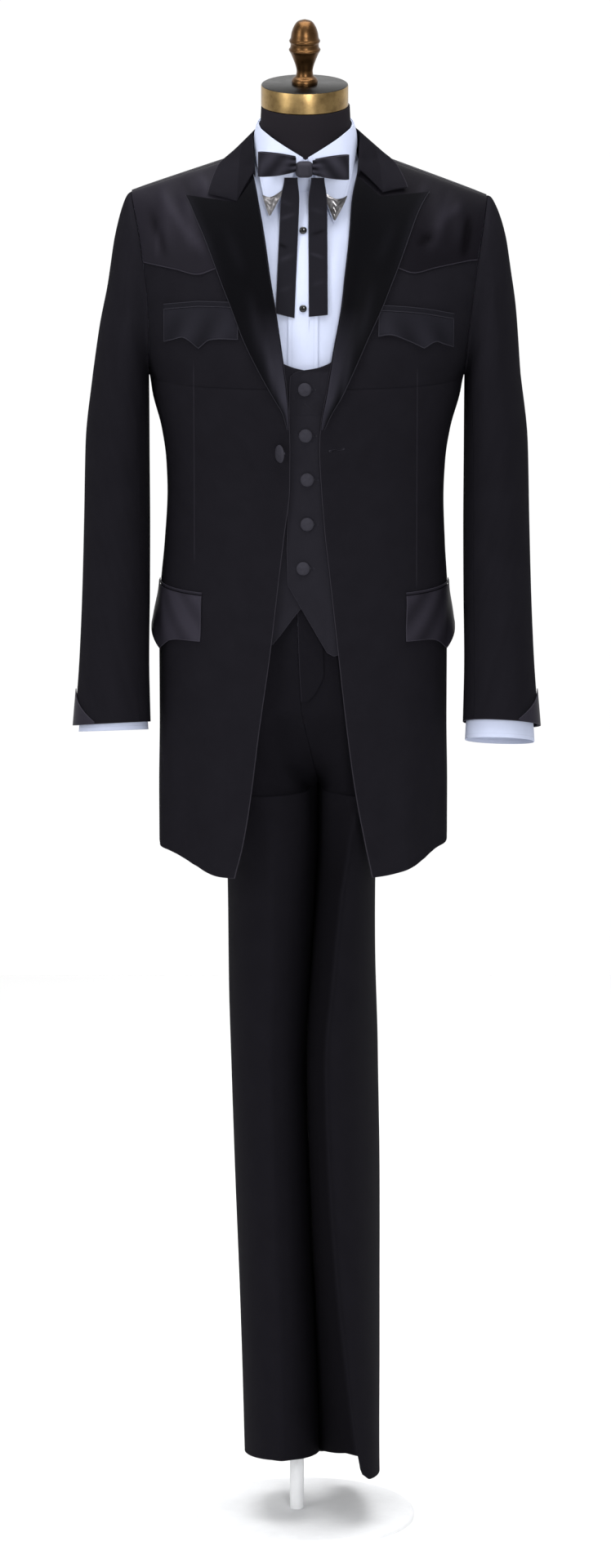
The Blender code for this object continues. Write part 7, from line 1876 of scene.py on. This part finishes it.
def make_stack(name, rings, kind, ends=(True, True)):
    """A closed solid through a stack of rings, flat at the ends that don't close to a point."""
    index = np.arange(rings.shape[0] * rings.shape[1]).reshape(rings.shape[:2])
    after = np.roll(index, -1, axis=1)
    faces = np.stack([index[:-1], after[:-1], after[1:], index[1:]], axis=-1).reshape(-1, 4).tolist()
    faces += [end.tolist() for end, flat in zip((index[0][::-1], index[-1]), ends) if flat]
    return closed_piece(name, rings, faces, kind)


def tie_tail(side):
    """A hanging tail of the bow that lies down the shirt's front."""
    height = dense(TAIL["height"], 14)[:, None]
    middle = np.interp(height, TAIL["height"][::-1][[0, -1]], (TAIL_LOW_X[side], TAIL_TOP_X[side]))
    y = smooth(height, TAIL["height"][::-1], TAIL["y"][::-1])
    part = np.linspace(-1.0, 1.0, 17)
    share = limited((height.max() - height) / (height.max() - height.min()))
    x = middle + part * TAIL_HALF_WIDTH * (1.0 - TAIL_GATHER * np.exp(-(share / 0.10) ** 2))
    z = height - TAIL_SLANT[side] * part * share ** 4
    wrinkle = creases(x, z, TAIL_CREASES) * np.sin(share * math.pi)
    depth = y + TAIL_BACK[side] - np.maximum(wrinkle, 0.0)
    faces = [in_space(x, depth - lift, z) for lift in (TAIL_WALL, 0.0)]
    # Painted highlights on the wrinkles
    make_wall("tie_tail_" + side, faces, "satin", rests_on=("shirt_front",),
              free="lrh", painted_shading=limited(0.30 + wrinkle * 420.0))


def room_inside(x, height, back):
    """Depth left for the form inside the shirt at places of its front or back."""
    depth = {}
    for side in SIDES:
        level = to_level(side, np.abs(x), height, FORM_CLEARANCE)
        turn = to_turn(side, np.abs(x), level, FORM_CLEARANCE, back=back)
        reach = np.abs(on_torso(side, turn, np.minimum(level, TIP), FORM_CLEARANCE, back=back)[..., 1])
        depth[side] = np.where(level >= TIP, 0.0, reach)
    return np.where(x >= 0.0, depth["left"], depth["right"])


def form_torso():
    """The dress form's trunk and neck, one smooth stack of rings."""
    turns = np.arange(72) * (2.0 * math.pi / 72)
    level = finer(FORM["height"], 4)[:, None]
    row = rows_at(FORM, level)
    power = np.where(level < 1.70, 2.25, 2.0)
    x = row["half_width"] * rounded(np.cos(turns), power)
    away = rounded(np.sin(turns), power)
    y = np.where(away > 0, row["back"], row["front"]) * away
    height = level + FORM_DROP * limited((level - 1.60) / 0.08)
    limit = np.where(y > 0, room_inside(x, height, True), room_inside(x, height, False))
    limit = np.maximum(limit, np.sqrt(np.maximum(FORM_NECK_RADIUS ** 2 - x ** 2, 0.0)))
    held = np.sign(y) * np.maximum(np.minimum(np.abs(y), limit), 0.10 * np.abs(y))
    y = np.where(level < FORM_NECK, held, y)
    z = level + y * np.tan(np.radians(row["tilt"]))
    make_stack("form_torso", in_space(x, y + row["middle_y"], z), "form linen")


def form_hardware():
    """The neck cap, the finial, the pole and the round base."""
    cap = ((CAP_RADIUS - 0.0008, 0.0), (CAP_RADIUS, 0.0008), (CAP_RADIUS, CAP_HEIGHT - 0.0022),
           (CAP_RADIUS - 0.0005, CAP_HEIGHT - 0.0008), (CAP_RADIUS - 0.0018, CAP_HEIGHT))
    rotation, place = tilt_frame(CAP_BASE, CAP_TILT)
    make_turned("form_cap", cap, 96, "brass", (rotation, place))
    top = np.array(place) + rotation @ np.array([0.0, 0.0, CAP_HEIGHT + 0.0003])
    profile = np.stack([dense(column, 4) for column in np.array(FINIAL_PROFILE).T], axis=1)
    make_turned("form_finial", profile, 64, "bronze", (rotation, top))
    pole = ((POLE_RADIUS, BASE_HEIGHT + 0.0003), (POLE_RADIUS, POLE_TOP))
    make_turned("form_pole", pole, 48, "painted steel", tilt_frame((POLE_X, 0.0, 0.0)))
    base = ((BASE_RADIUS, 0.0), (BASE_RADIUS, 0.0042), (BASE_RADIUS - 0.0008, 0.0062),
            (BASE_RADIUS - 0.0035, 0.0085), (0.125, 0.0094), (0.110, BASE_HEIGHT))
    make_turned("form_base", base, 128, "painted steel", tilt_frame((0.0, 0.0, 0.0)))


def make_garment():
    """Every piece of the form and the clothes."""
    form_torso()
    form_hardware()
    shirt_body(back=False)
    shirt_body(back=True)
    for make in (shirt_placket, collar_stand, collar_fall, shirt_studs, vest_back, vest_buttons,
                 buttonholes, waistband, trousers_fly, coat_collar, yoke_back, coat_button, tie_knot):
        make()
    for side in SIDES:
        for make in (shirt_sleeve, shirt_cuff, collar_tip, tie_loop, tie_tail, vest_front, trouser_leg,
                     coat_front, coat_back, lapel, yoke_front, chest_pocket, hip_flap, hip_jet,
                     coat_sleeve, cuff_patch):
            make(side)


def make_floor():
    """A plain white floor under the form."""
    mesh = bpy.data.meshes.new("floor")
    corners = [(-3.0, -3.0, 0.0), (3.0, -3.0, 0.0), (3.0, 3.0, 0.0), (-3.0, 3.0, 0.0)]
    mesh.from_pydata(corners, [], [(0, 1, 2, 3)])
    finish = Finish("floor_white", 0.9, specular=0.0)
    cloud = finish.noise(finish.place(False), 3.0)
    colour = finish.blend(cloud, (0.90, 0.90, 0.90, 1.0), (0.92, 0.92, 0.92, 1.0))
    finish.feed(finish.shader["Base Color"], colour)
    mesh.materials.append(finish.material)
    floor = bpy.data.objects.new("floor", mesh)
    bpy.context.scene.collection.objects.link(floor)


def make_light(name, place, target, size, power):
    """A soft area light that looks at a place; size is its width and height."""
    data = bpy.data.lights.new(name, "AREA")
    data.shape = "RECTANGLE"
    data.size, data.size_y = size
    data.energy = power
    stand(name, data, place, target)


def make_studio():
    """Soft studio light: a white backdrop, a large lamp above and a key from the front left."""
    make_light("ceiling", (0.0, -0.2, 4.4), (0.0, 0.0, 0.0), (3.6, 3.6), 215.0)
    make_light("key", (-3.0, -2.6, 2.6), (0.0, 0.0, 1.3), (1.4, 2.2), 56.0)
    make_light("fill", (1.1, -5.8, 2.6), (0.0, 0.0, 1.2), (1.2, 1.6), 150.0)
    world = bpy.data.worlds.new("surround")
    bpy.context.scene.world = world
    world.use_nodes = True
    nodes, links = world.node_tree.nodes, world.node_tree.links
    shown = nodes["Background"].inputs
    shown["Color"].default_value = (1.0, 1.0, 1.0, 1.0)
    place, split, rise = [nodes.new("ShaderNode" + kind) for kind in ("TexCoord", "SeparateXYZ", "MapRange")]
    rise.interpolation_type = "SMOOTHSTEP"
    for name, value in (("From Min", -0.10), ("From Max", 0.80), ("To Min", 0.36), ("To Max", 1.02)):
        rise.inputs[name].default_value = value
    links.new(place.outputs["Generated"], split.inputs["Vector"])
    links.new(split.outputs["Y"], rise.inputs["Value"])
    links.new(rise.outputs["Result"], shown["Strength"])


def make_camera():
    """The photograph's viewing angle: ten metres away, twelve degrees above the level."""
    data = bpy.data.cameras.new("camera")
    data.sensor_fit = "VERTICAL"
    data.sensor_height = 24.0
    data.lens = CAMERA_LENS
    data.clip_end = 100.0
    bpy.context.scene.camera = stand("camera", data, CAMERA_PLACE, CAMERA_TARGET)


def write_size():
    """Bring the scene's placements up to date."""
    bpy.context.view_layer.update()


make_camera()
make_floor()
make_studio()
make_garment()
bpy.context.scene.view_settings.view_transform = "Standard"
write_size()
